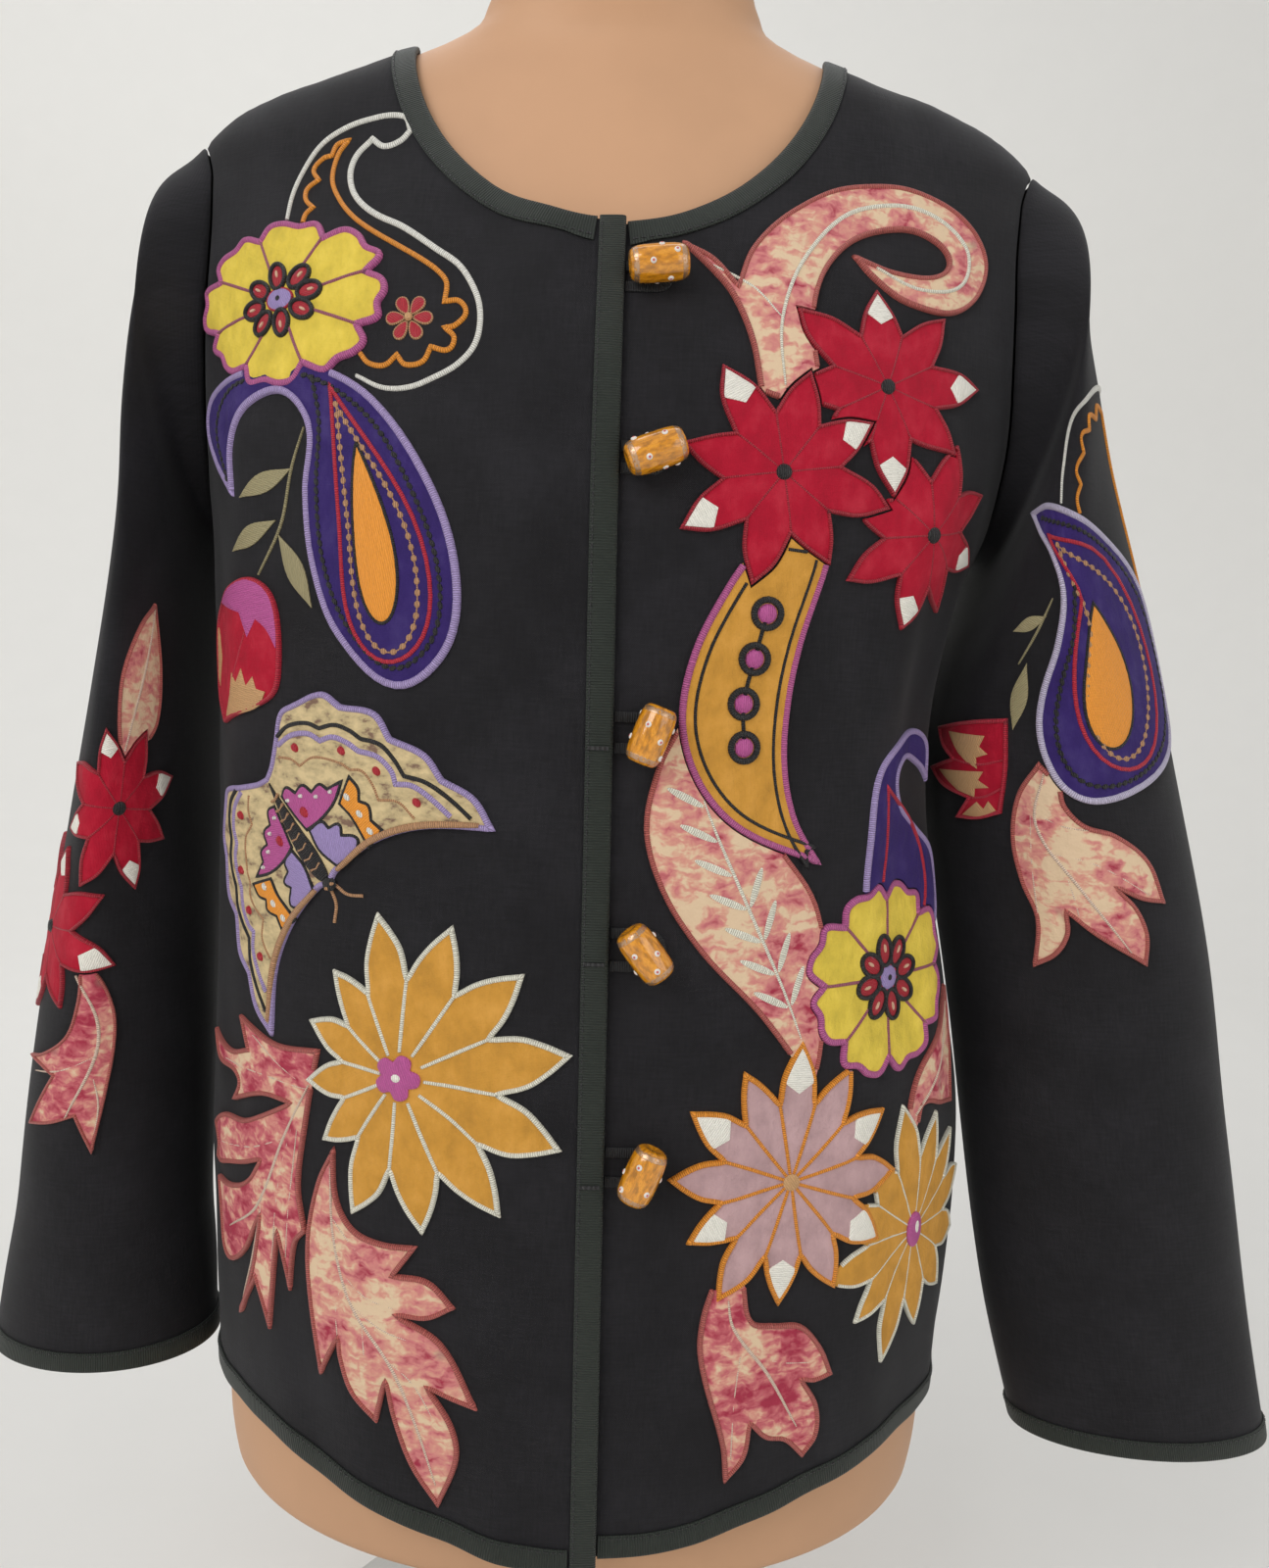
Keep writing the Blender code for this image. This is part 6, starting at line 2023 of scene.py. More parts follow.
RIGHT_FRONT = (
    Flower("flower_yellow_chest", "yellow", YELLOW, (-137, 535), 35.5, 1.42, 8, Petal.ROUND, 20, 0.03,
           *YELLOW_LOOK),
    Paisley("paisley_violet_chest", "violet", VIOLET,
            ((-161, 456, 1), (-180, 470), (-190, 486), (-181, 500), (-150, 507), (-119, 507), (-90, 493),
             (-63, 459), (-51, 424), (-55, 396), (-76, 381), (-102, 400), (-115, 427), (-119.5, 456),
             (-119, 482), (-133, 496), (-151, 491), (-162, 475)),
            ((-109, 498), (-85.5, 442), (-76.5, 391)), 18.5, LILAC_THREAD, 3.2,
            ((-95, 474), (-86.5, 438), (-81, 406)), 8.2,
            ((-166, 463), (-177, 484), (-166, 498.5), (-140, 502.5), (-117, 501), (-90, 484), (-70, 455),
             (-58.5, 424), (-61, 400), (-77, 388.5), (-97, 404), (-108.5, 428), (-112.5, 456), (-113, 484),
             (-117, 500))),
    Flower("flower_ochre_hip", "ochre", OCHRE, (-70, 227), 70, 0.95, 12, Petal.BROAD, -4, 0.06, CREAM, 2.2,
           CREAM, 1.7, Centre.KNOT, lean=0.34),
    Bud("bud_tulip", "red", RED,
        ((-178, 413), (-160, 420), (-148, 422), (-138, 417), (-133, 406), (-132, 386), (-135, 376),
         (-145, 370), (-173, 361, 1), (-186, 372), (-190, 390), (-187, 405)),
        ((((-181, 412, 1), (-160, 420), (-148, 422), (-138, 417), (-133.5, 406), (-133.5, 394, 1),
           (-139, 401.5), (-145, 405.5, 1), (-150, 398, 1), (-155, 408, 1), (-167, 410)), MAGENTA_FILL, 100),
         (((-169, 364, 1), (-156, 366), (-144, 370), (-140, 376, 1), (-145, 377, 1), (-147, 382, 1),
           (-151, 378, 1), (-154, 385, 1), (-158, 379, 1), (-162, 383, 1), (-164, 374, 1)), TAN_FILL, 80),
         (((-188, 402, 1), (-184, 398, 1), (-181, 388, 1), (-184, 376, 1), (-187, 380, 1)), TAN_FILL, 70)),
        (((-151, 401), (-157, 388), (-163, 377)), ((-176, 408), (-172, 395), (-170, 380)))),
    Leaf("leaf_acanthus_side", "rose", ROSE,
         ((-109, 231, 1), (-136, 229), (-160, 235, 1), (-154, 222, 1), (-172, 217), (-192, 221, 1),
          (-183, 210), (-162, 207), (-167, 196, 1), (-142, 205), (-124, 206, 1), (-141, 197), (-157, 190),
          (-176, 187), (-193, 178, 1), (-186, 171), (-189, 162), (-168, 167), (-155, 171), (-143, 176, 1),
          (-152, 165), (-165, 158), (-189, 153, 1), (-185, 138), (-176, 121), (-157, 129), (-143, 151, 1),
          (-149, 126), (-162, 99, 1), (-147, 121, 1), (-137, 102, 1), (-134, 128), (-131, 147, 1),
          (-124, 124, 1), (-120, 146), (-114, 153, 1), (-118, 172), (-114, 202)),
         (((-113, 216), (-127, 190), (-145, 155), (-168, 138)), ((-114, 214), (-140, 214), (-176, 212)),
          ((-127, 190), (-150, 180), (-180, 173)), ((-120, 217), (-134, 222), (-150, 229)),
          ((-122, 196), (-130, 170), (-136, 122)), ((-119, 196), (-123, 165), (-126, 138)),
          ((-140, 164), (-149, 130), (-158, 108)))),
    Leaf("leaf_acanthus_hem", "rose", ROSE_PALE,
         ((-100, 192, 1), (-98, 172), (-90, 161), (-76, 157.5), (-61, 158, 1), (-70, 145, 1), (-56, 144),
          (-45, 134, 1), (-56, 128), (-68, 128, 1), (-50, 118), (-34.5, 93, 1), (-46, 95), (-55, 98, 1),
          (-44, 82), (-42, 69), (-50, 47, 1), (-62, 64), (-70, 84), (-73, 98, 1), (-77, 80, 1), (-89, 90),
          (-95, 104), (-96, 111, 1), (-105, 93, 1), (-112, 126), (-113, 151), (-108, 176)),
         (((-101, 184), (-99, 156), (-91, 131), (-72, 108), (-60, 82), (-51, 57)),
          ((-100, 163), (-92, 156), (-84, 150)), ((-96, 142), (-84, 134), (-70, 131)),
          ((-87, 127), (-74, 121), (-63, 118)), ((-74, 110), (-62, 100), (-53, 86)),
          ((-95, 134), (-97, 124), (-96, 113)), ((-84, 124), (-83, 114), (-82, 102)))),
    Butterfly("butterfly", "cream", MARBLED),
)
LEFT_FRONT = (
    Flower("star_inner", "red", RED, (72, 469), 43, 1.03, 8, Petal.STAR, -36, 0.09, *STAR_LOOK, (1, 3, 5)),
    Flower("star_upper", "red", RED, (115, 506), 42, 1.08, 8, Petal.STAR, -16, 0.09, *STAR_LOOK,
           (0, 2, 4, 6)),
    Flower("star_outer", "red", RED, (140, 450), 38, 1.12, 8, Petal.STAR, -36, 0.08, *STAR_LOOK,
           (0, 2, 4, 6)),
    Pod("pod", "ochre", OCHRE,
        ((66, 446, 1), (52, 425), (40, 400), (36, 372), (44, 348), (62, 330), (98, 316, 1), (86, 334),
         (80, 356), (80, 380), (84, 405), (92, 432), (94, 444, 1)),
        ((68, 415), (64, 397.5), (60.5, 380), (61.5, 363))),
    Leaf("scroll", "rose", ROSE_PALE,
         ((30, 560, 1), (42, 554), (52, 543, 1), (58, 560), (74, 578), (98, 592), (125, 595), (150, 588),
          (166, 570), (162, 552), (146, 541), (124, 543), (108, 552), (100, 560, 1), (118, 556), (136, 556),
          (145, 563), (140, 571), (122, 575), (102, 568), (88, 552), (83, 530), (86, 504), (84, 494, 1),
          (62, 500, 1), (58, 520), (50, 538), (42, 548)),
         (((72, 500), (70, 530), (80, 558), (102, 581), (132, 585), (154, 572), (152, 555), (132, 549),
           (110, 556)),
          ((70, 530), (58, 542), (40, 551))), ROSE_THREAD, 2.2, CREAM, 1.3),
    Flower("flower_yellow_waist", "yellow", YELLOW, (137, 266), 40, 1.06, 8, Petal.ROUND, 0, 0.03,
           *YELLOW_LOOK),
    Flower("flower_lilac", "lilac", LILAC_PINK, (89.5, 188), 54, 0.92, 12, Petal.BROAD, -18, 0.06, ORANGE,
           2.3, ORANGE, 1.6, Centre.BUTTON, (1, 3, 5, 7, 9, 11)),
    Flower("flower_ochre_side", "ochre", OCHRE, (158, 154), 53, 0.95, 12, Petal.BROAD, -3, 0.10, CREAM, 1.5,
           CREAM, 1.0, Centre.LONG),
    Leaf("leaf_large", "rose", ROSE_PALE,
         ((36, 372, 1), (48, 366), (60, 350), (78, 325), (97, 300), (103, 270), (101, 240), (98, 226, 1),
          (90, 236), (72, 258), (48, 282), (32, 305), (24, 330), (28, 355)),
         (((37, 368), (48, 338), (64, 304), (82, 268), (97, 232)),), ROSE_THREAD, 2.2, CREAM, 1.0, True),
    Paisley("paisley_violet_waist", "violet", VIOLET,
            ((124, 290), (122, 332), (127, 353), (142, 364), (162, 369), (175, 362), (175, 346, 1),
             (166, 353), (152, 357), (143, 350), (147, 338), (162, 327), (178, 314), (184, 296), (170, 276),
             (140, 270)),
            ((132, 346), (148, 318), (152, 282)), 17.5, LILAC_THREAD, 2.8),
    Leaf("leaf_small", "rose", ROSE_PALE,
         ((193, 252, 1), (176, 239), (160, 226), (152, 212), (150, 194, 1), (157, 200), (161, 208),
          (178, 204), (196, 200, 1), (199, 226)),
         (((190, 246), (177, 226), (164, 212), (154, 204)),)),
    Leaf("leaf_forked", "rose", ROSE,
         ((58, 144, 1), (72, 146, 1), (76, 130), (86, 127), (98, 125), (108, 114), (114, 101, 1), (106, 99),
          (101, 100, 1), (108, 88), (109, 74), (103, 65, 1), (94, 74), (85, 77), (78, 84, 1), (76, 70),
          (68, 60, 1), (66, 76), (57, 105), (54, 120), (55, 133)),
         (((65, 142), (68, 128), (84, 106), (99, 80)), ((76, 116), (90, 110), (104, 108)),
          ((72, 122), (70, 96), (70, 70)))),
)
RIGHT_SLEEVE = (
    Flower("star_sleeve_upper", "red", RED, (11, 322), 38, 0.82, 8, Petal.STAR, -5, 0.08, *STAR_LOOK,
           (0, 2, 4, 6)),
    Flower("star_sleeve_lower", "red", RED, (-30, 264), 42, 1.0, 8, Petal.STAR, -40, 0.08, *STAR_LOOK,
           (0, 2, 4, 6)),
    Leaf("leaf_sleeve_upper", "rose", ROSE_PALE,
         ((32, 410, 1), (19, 401), (9, 383), (8, 363), (11, 340, 1), (22, 347), (33, 359), (37, 383)),
         (((31, 408), (24, 384), (17, 364), (12, 347)),), ROSE_THREAD, 1.6),
    Leaf("leaf_sleeve_lower", "rose", ROSE,
         ((-6, 257, 1), (6, 246), (13, 230), (14, 214), (11, 190), (6, 161, 1), (1, 172), (-2, 179, 1),
          (-14, 174), (-30, 170, 1), (-22, 184), (-14, 197, 1), (-24, 200), (-38, 201, 1), (-22, 206),
          (-8, 216), (-3, 230), (-2, 246)),
         (((-4, 247), (6, 226), (6, 208), (-6, 178)), ((6, 208), (-10, 200), (-28, 196)),
          ((5, 200), (8, 184), (6, 164))), ROSE_THREAD, 1.6),
)
LEFT_SLEEVE = (
    Paisley("paisley_violet_sleeve", "violet", VIOLET,
            ((-34, 463, 1), (-16, 466), (7, 461.5), (30, 453), (48, 442), (60, 428), (65, 408), (67, 388),
             (62, 371), (45, 357), (21, 346), (0, 341), (-11, 344.5), (-18, 355), (-21, 371), (-18, 388),
             (-10, 409), (-6, 430), (-12, 445), (-24, 455)),
            ((-14, 453), (16, 432), (21, 396), (13, 356)), 24.5, LILAC_PALE, 3.2,
            ((10, 425), (13, 396), (9, 365)), 12.5,
            ((-20, 460), (8, 455), (32, 445), (48, 430), (56, 408), (56, 382), (42, 364), (18, 351),
             (-2, 349), (-11, 358), (-13, 374), (-9, 392), (-2, 412), (1, 432))),
    Bud("bud_sleeve", "red", RED,
        ((-35, 375, 1), (-54, 373), (-84, 368, 1), (-75, 360), (-66, 355, 1), (-88, 349, 1), (-75, 342),
         (-58, 338, 1), (-67, 328, 1), (-54, 329), (-42, 333, 1), (-37, 353)),
        ((((-70, 367, 1), (-46, 367, 1), (-49, 362, 1), (-45, 359, 1), (-51, 357, 1), (-51, 352, 1),
           (-57, 355, 1), (-61, 358, 1)), TAN_FILL, 20),
         (((-77, 349, 1), (-48, 351, 1), (-51, 347, 1), (-46, 344, 1), (-53, 343, 1), (-54, 339, 1),
           (-63, 341, 1)), TAN_FILL, 20),
         (((-62, 330, 1), (-53, 337, 1), (-50, 334, 1), (-47, 338, 1), (-44, 334, 1), (-52, 330, 1)),
          TAN_FILL, 40)),
        (((-66, 355), (-50, 354), (-38, 357)), ((-58, 338), (-48, 340), (-39, 345)))),
    Leaf("leaf_sleeve_forked", "rose", ROSE_PALE,
         ((-22, 357, 1), (-33, 342), (-38, 322), (-36, 303), (-31, 287), (-34.5, 264, 1), (-24, 271),
          (-18, 281), (-17.5, 291, 1), (-6, 281), (15, 268, 1), (17, 282), (13, 294), (5, 303, 1), (16, 298),
          (28, 296, 1), (22, 315), (7, 327), (-6, 331), (-13, 339), (-14.5, 348)),
         (((-20, 353), (-26, 330), (-12, 304), (8, 274)), ((-22, 318), (-4, 314), (20, 300)),
          ((-24, 334), (-14, 330), (-4, 329)), ((-28, 334), (-30, 310), (-30, 284)),
          ((-16, 308), (-14, 298), (-13, 290)))),
)


@dataclass(frozen=True)
class Sprig:
    """A thin satin stem with small leaves, sewn straight on the cloth."""

    stem: tuple[tuple[float, float], ...]
    leaves: tuple[tuple[float, float, float, float], ...]

    def sew(self, work: Needlework) -> None:
        """Sews the stem and its leaves, each given by its place, its turn and half its length.

        Args:
            work: What it is sewn on.
        """
        work.line(curved(self.stem, 7, False), 1.4, KHAKI, Ground.CLOTH, ends=0.5)
        for across, height, turn, half in self.leaves:
            corners = turned_to(np.array(((-half, 0), (0, half * 0.27), (half, 0), (0, -half * 0.27))), turn,
                                (across, height))
            knots = [(*place, 1) if k % 2 == 0 else tuple(place) for k, place in enumerate(corners.tolist())]
            work.fill(curved(knots, 6), KHAKI_FILL, turn + 50, Ground.CLOTH)


@dataclass(frozen=True)
class Floret:
    """A small flower sewn in satin alone, with a tan edge."""

    middle: tuple[float, float]
    radius: float
    petals: int = 6

    def sew(self, work: Needlework) -> None:
        """Sews the petals, their edge and the centre.

        Args:
            work: What it is sewn on.
        """
        for turn in np.arange(self.petals) * 360 / self.petals:
            spine = turned_to(np.array(((1.6, 0), (self.radius * 0.6, 0), (self.radius, 0))), turn,
                              self.middle)
            petal = drop(spine, self.radius * 0.25, 0.9, 20)
            work.fill(petal, RED_FILL, turn + 60, Ground.CLOTH)
            work.line(petal, 1.0, TAN, Ground.CLOTH, True)
        work.dots([self.middle], 1.8, 1.8, TAN_FILL, Ground.PATCH)


@dataclass(frozen=True)
class OutlinePaisley:
    """A paisley sewn as lines alone: a white one outside and a scalloped orange one inside."""

    outer: tuple[tuple[float, ...], ...]
    inner: tuple[tuple[float, ...], ...]

    def sew(self, work: Needlework) -> None:
        """Sews the white line, then the orange one."""
        work.line(curved(self.outer, 8, False), 2.6, WHITE, Ground.CLOTH, ends=0.6)
        work.line(curved(self.inner, 6, False), 2.1, ORANGE, Ground.CLOTH)


CHEST_PAISLEY = OutlinePaisley(
    ((-139, 571), (-138, 583), (-135, 593), (-129, 604), (-121, 611), (-108, 617), (-90, 618), (-86, 611, 1),
     (-90, 606), (-97, 604), (-103, 608, 1), (-109, 601), (-111, 593), (-109, 584), (-104, 577), (-96, 571),
     (-84, 565), (-69, 555), (-59, 548), (-53, 540), (-49, 531), (-48, 521), (-50, 513), (-56, 506),
     (-64, 501), (-74, 497), (-86, 497), (-98, 502)),
    ((-131, 570), (-130, 574), (-127, 577, 1), (-131, 581), (-131, 586), (-126, 590, 1), (-129, 595),
     (-125, 600), (-121, 601, 1), (-119, 606), (-114, 608, 1), (-118, 601), (-119, 589), (-114, 579),
     (-107, 571), (-99, 565), (-84, 556), (-74, 550), (-67, 545), (-63, 540), (-63, 532, 1), (-57, 532),
     (-54, 527), (-58, 522), (-62, 521, 1), (-58, 517), (-60, 512), (-67, 513, 1), (-70, 507), (-77, 506),
     (-81, 510, 1), (-86, 506), (-93, 507), (-97, 511)))
CHEST_FLORET = Floret((-77, 525), 9.5)
CHEST_SPRIG = Sprig(((-121, 482), (-127, 466), (-132, 443), (-146, 420)),
                    ((-141, 460, 22, 15), (-148, 439, 24, 15), (-124, 425, -58, 17)))
SLEEVE_PAISLEY = OutlinePaisley(
    ((-5, 464), (-3, 480), (6, 500), (24, 509), (52, 517), (80, 520), (101, 514), (113, 499), (115, 478),
     (107, 454), (92, 431), (66, 409)),
    ((10, 461), (8, 468), (12, 474, 1), (9, 480), (17, 487, 1), (16, 494), (26, 497, 1), (28, 503),
     (40, 503, 1), (46, 509), (57, 508, 1), (59, 496), (61, 480), (65, 458), (66, 441), (60, 424)))
SLEEVE_SPRIG = Sprig(((-11, 427), (-20, 413), (-30, 399)), ((-25, 416, 18, 11), (-29, 385, 76, 15)))


# The jacket

# A place across that lies past either side seam, in metres
PAST_SEAM = 0.25
# How deep a seam draws the cloth in, and how far out from it, in millimetres
SEAM_DIP, SEAM_SPREAD = 0.75, 2.4
# A ribbon's small stitches: how far in from the edge they lie, and the heights of their feet and crests
STITCH_LINES = (8.1, 8.6)
STITCH_HEIGHTS = (1.02, 1.42)


def cut_size(outline: Array) -> tuple[tuple[float, float], float]:
    """Returns the sides of the rectangle that a flat outline is cut from, and its area, in metres."""
    size = (outline.max(axis=0) - outline.min(axis=0)) * MM
    return (float(size[0]), float(size[1])), abs(area_of(outline)) * MM * MM


@dataclass
class Panel:
    """A front or the back: one layer of cloth, cut to its outline."""

    name: str
    surface: BodyCloth
    hem: Array
    neck: Array
    edge: Array
    holes: tuple[Array, ...]
    seams: tuple[Array, ...]
    outline: Array

    @staticmethod
    def seam(surface: BodyCloth, side: int, low: float, high: float) -> Array:
        """Returns a side or shoulder seam between two heights, in metres, as flat places."""
        height = np.linspace(low, high, 90)
        return np.stack((side * surface.half_run(np.full(90, side), height), height), axis=1) / MM

    @classmethod
    def front(cls, name: str, surface: BodyCloth, side: int, edge_at: Callable, lifted: float) -> "Panel":
        """Cuts a front.

        Args:
            name: The panel's node.
            surface: The surface that it lies on.
            side: -1 for the wearer's right and 1 for the left.
            edge_at: Where its front edge lies across, at a height.
            lifted: How much higher its hem is at that edge, in metres.

        Returns:
            The panel.
        """
        foot = float(surface.half_run(side, hem_height(np.array(PAST_SEAM))))
        across = np.linspace(edge_at(HEM_LOW), side * foot, 90)
        hem = np.stack((across, hem_height(across, lifted)), axis=1) / MM
        heights = np.linspace(hem[0, 1] * MM, FRONT_NECK_PIT, 40)
        edge = np.stack((edge_at(heights) + 0 * heights, heights), axis=1) / MM
        neck = np.concatenate((edge[-1:], surface.neckline(side, FRONT_NECK_PIT)))
        hole = surface.armhole(side, np.linspace(0, 180, 70))
        seams = (cls.seam(surface, side, hem[-1, 1] * MM, ARMPIT),
                 cls.seam(surface, side, SHOULDER_POINT, NECK_POINT))
        outline = np.concatenate((hem, seams[0][1:], hole[1:], seams[1][1:], neck[::-1][1:],
                                  edge[::-1][1:-1]))
        return cls(name, surface, hem, neck, edge, (hole,), seams, outline)

    @classmethod
    def whole_back(cls, surface: BodyCloth) -> "Panel":
        """Cuts the back in one piece.

        Args:
            surface: The cloth that it lies on.

        Returns:
            The panel.
        """
        foot = [float(surface.half_run(side, hem_height(np.array(PAST_SEAM)))) for side in (-1, 1)]
        across = np.linspace(-foot[0], foot[1], 150)
        hem = np.stack((across, hem_height(across)), axis=1) / MM
        neck = np.concatenate((surface.neckline(-1, BACK_NECK_PIT)[:0:-1],
                               surface.neckline(1, BACK_NECK_PIT)))
        holes = tuple(surface.armhole(side, np.linspace(0, 180, 70)) for side in (1, -1))
        lines = [(cls.seam(surface, side, hem[end, 1] * MM, ARMPIT),
                  cls.seam(surface, side, SHOULDER_POINT, NECK_POINT))
                 for side, end in ((1, -1), (-1, 0))]
        up, down = ([lines[k][0], holes[k], lines[k][1]] for k in (0, 1))
        outline = np.concatenate([hem] + [line[1:] for line in up] + [neck[::-1][1:-1]]
                                 + [line[::-1][1:] for line in reversed(down)])
        return cls("back", surface, hem, neck, np.empty((0, 2)), holes, lines[0] + lines[1], outline)

    def build(self) -> bpy.types.Object:
        """Builds the panel, drawn in along its seams.

        Returns:
            The new piece.
        """
        ring = self.outline[np.linalg.norm(self.outline - np.roll(self.outline, 1, axis=0), axis=1) > 0.05]
        flat, triangles = filled(walked(ring, 3.2, True), [], 3.6)
        dip = np.zeros(len(flat))
        for seam in (*self.seams, *self.holes):
            dip = np.maximum(dip, SEAM_DIP * np.exp(-(away_from(seam, flat, False) / SEAM_SPREAD) ** 2))
        parts = Parts()
        points = np.concatenate((self.surface.at(flat, -dip), self.surface.at(flat, -CLOTH / MM)))
        parts.add(points, walled(triangles, len(flat)), np.concatenate((flat, flat)), CLOTH_BLACK)
        return dressed(parts.piece(self.name + "_cloth"), "black_cloth", self.name)


# A binding's section: the distance in from the cloth's edge and the height off its face, in millimetres, from
# the inner border of the top layer round the rim to that of the under layer, and back along the cloth
BINDING_SECTION = (
    (9.5, 0.35), (9.5, 0.85), (9.1, 1.10), (6.0, 1.16), (2.5, 1.12), (0.4, 1.05), (-0.55, 0.80), (-1.0, 0.20),
    (-1.05, -0.90), (-0.75, -1.75), (-0.1, -2.10), (4.5, -2.12), (8.8, -2.05), (8.8, -1.68), (4.5, -1.68),
    (0.0, -1.64), (-0.30, -1.40), (-0.32, 0.10), (0.0, 0.32),
)


@dataclass
class Binding:
    """A ribbed ribbon folded over an edge, with a row of small stitches along its inner border."""

    name: str
    surface: ClothSurface
    line: Array
    cloth_left: bool
    bars: tuple[float, ...] = ()

    def strips(self) -> Callable[[float], tuple[Array, Array]]:
        """Returns what gives the grid places of a line at a distance in from the edge.

        Returns:
            The function that moves the line.
        """
        column, row = self.surface.index(self.line)
        side = 1 if self.cloth_left else -1

        def at(distance: float) -> tuple[Array, Array]:
            """Returns the edge's line moved in by a distance in millimetres."""
            return self.surface.moved(column, row, side * distance)
        return at

    def build(self) -> bpy.types.Object:
        """Builds the ribbon.

        Returns:
            The new piece.
        """
        at = self.strips()
        parts = Parts()
        lines = {distance: at(distance) for distance in {d for d, _ in BINDING_SECTION}}
        sections = np.stack([self.surface.between(*lines[d], off) for d, off in BINDING_SECTION], axis=1)
        count = len(BINDING_SECTION)
        edge = self.surface.between(*lines[0.0], 0)
        runs = runs_of(edge) / MM
        around = runs_of(np.array(BINDING_SECTION))
        flat = np.stack((np.repeat(runs, count), np.tile(around, len(runs))), axis=1)
        faces = grid_faces(len(runs), count, False, True)
        last = (len(runs) - 1) * count
        faces += [list(range(count))[::-1], list(range(last, last + count))]
        if not self.cloth_left:
            faces = [face[::-1] for face in faces]
        parts.add(sections.reshape(-1, 3), faces, flat, RIBBON)
        first, second = (at(distance) for distance in STITCH_LINES)
        stitches(parts, self.surface, first, second, *STITCH_HEIGHTS, not self.cloth_left)
        for height in self.bars:
            k = int(np.argmin(np.abs(self.line[:, 1] - height)))
            self.bar(parts, at, k)
        return dressed(parts.piece(self.name + "_ribbon"), "ribbon", self.name)

    def bar(self, parts: Parts, at: Callable, k: int) -> None:
        """Adds a bar of tight stitches across the ribbon at a point of its line.

        Args:
            parts: What it is added to.
            at: What gives the edge's line moved in by a distance.
            k: The point's number.
        """
        places = [[np.interp(k + step, np.arange(len(self.line)), part) for part in at(d)]
                  for d in (0.6, 8.6) for step in (-0.28, 0.28)]
        column, row = np.array(places).T
        order = [0, 1, 3, 2] if self.cloth_left else [0, 2, 3, 1]
        points = np.concatenate([self.surface.between(column[order], row[order], off) for off in (1.0, 1.75)])
        faces = [[0, 3, 2, 1], [4, 5, 6, 7]] + [[i, (i + 1) % 4, (i + 1) % 4 + 4, i + 4] for i in range(4)]
        flat = np.tile(np.array([(0.0, 0.0), (0.0, 1.4), (8.0, 1.4), (8.0, 0.0)]), (2, 1))
        parts.add(points, faces, flat, BLACK_FINE)


def stitches(parts: Parts, surface: ClothSurface, first: tuple[Array, Array], second: tuple[Array, Array],
             low: float, high: float, flipped: bool, long: float = 2.2, gap: float = 1.0) -> None:
    """Adds a row of small stitches between two lines of grid places.

    Args:
        parts: What they are added to.
        surface: The surface that the lines lie on.
        first: The line on one side.
        second: The line on the other side.
        low: The height of their feet, in millimetres.
        high: The height of their crests.
        flipped: Whether the second line lies to the right of the first.
        long: The length of a stitch.
        gap: The distance between two.
    """
    path = surface.between(*first, 0)
    runs = runs_of(path) / MM
    starts = np.arange(1.0, runs[-1] - long - 1.0, long + gap)
    corners = []
    for line, share in ((first, 0.0), (second, 0.0), (second, 1.0), (first, 1.0)):
        stops = starts + share * long
        corners.append([np.interp(stops, runs, part) for part in line])
    column, row = np.transpose(corners, (1, 2, 0))
    middle = (column.mean(axis=1, keepdims=True), row.mean(axis=1, keepdims=True))
    levels = ((column, row, low),
              (middle[0] + (column - middle[0]) * 0.8, middle[1] + (row - middle[1]) * 0.8, high))
    layers = [surface.between(c.ravel(), r.ravel(), off).reshape(-1, 4, 3) for c, r, off in levels]
    points = np.concatenate(layers, axis=1).reshape(-1, 3)
    one = [[0, 1, 2, 3], [7, 6, 5, 4]] + [[i + 4, (i + 1) % 4 + 4, (i + 1) % 4, i] for i in range(4)]
    if flipped:
        one = [face[::-1] for face in one]
    faces = [[v + 8 * k for v in face] for k in range(len(starts)) for face in one]
    flat = np.tile(np.array([(0.0, 0.0), (0.0, 0.5), (long, 0.5), (long, 0.0)]), (2 * len(starts), 1))
    parts.add(points, faces, flat, BLACK_FINE)


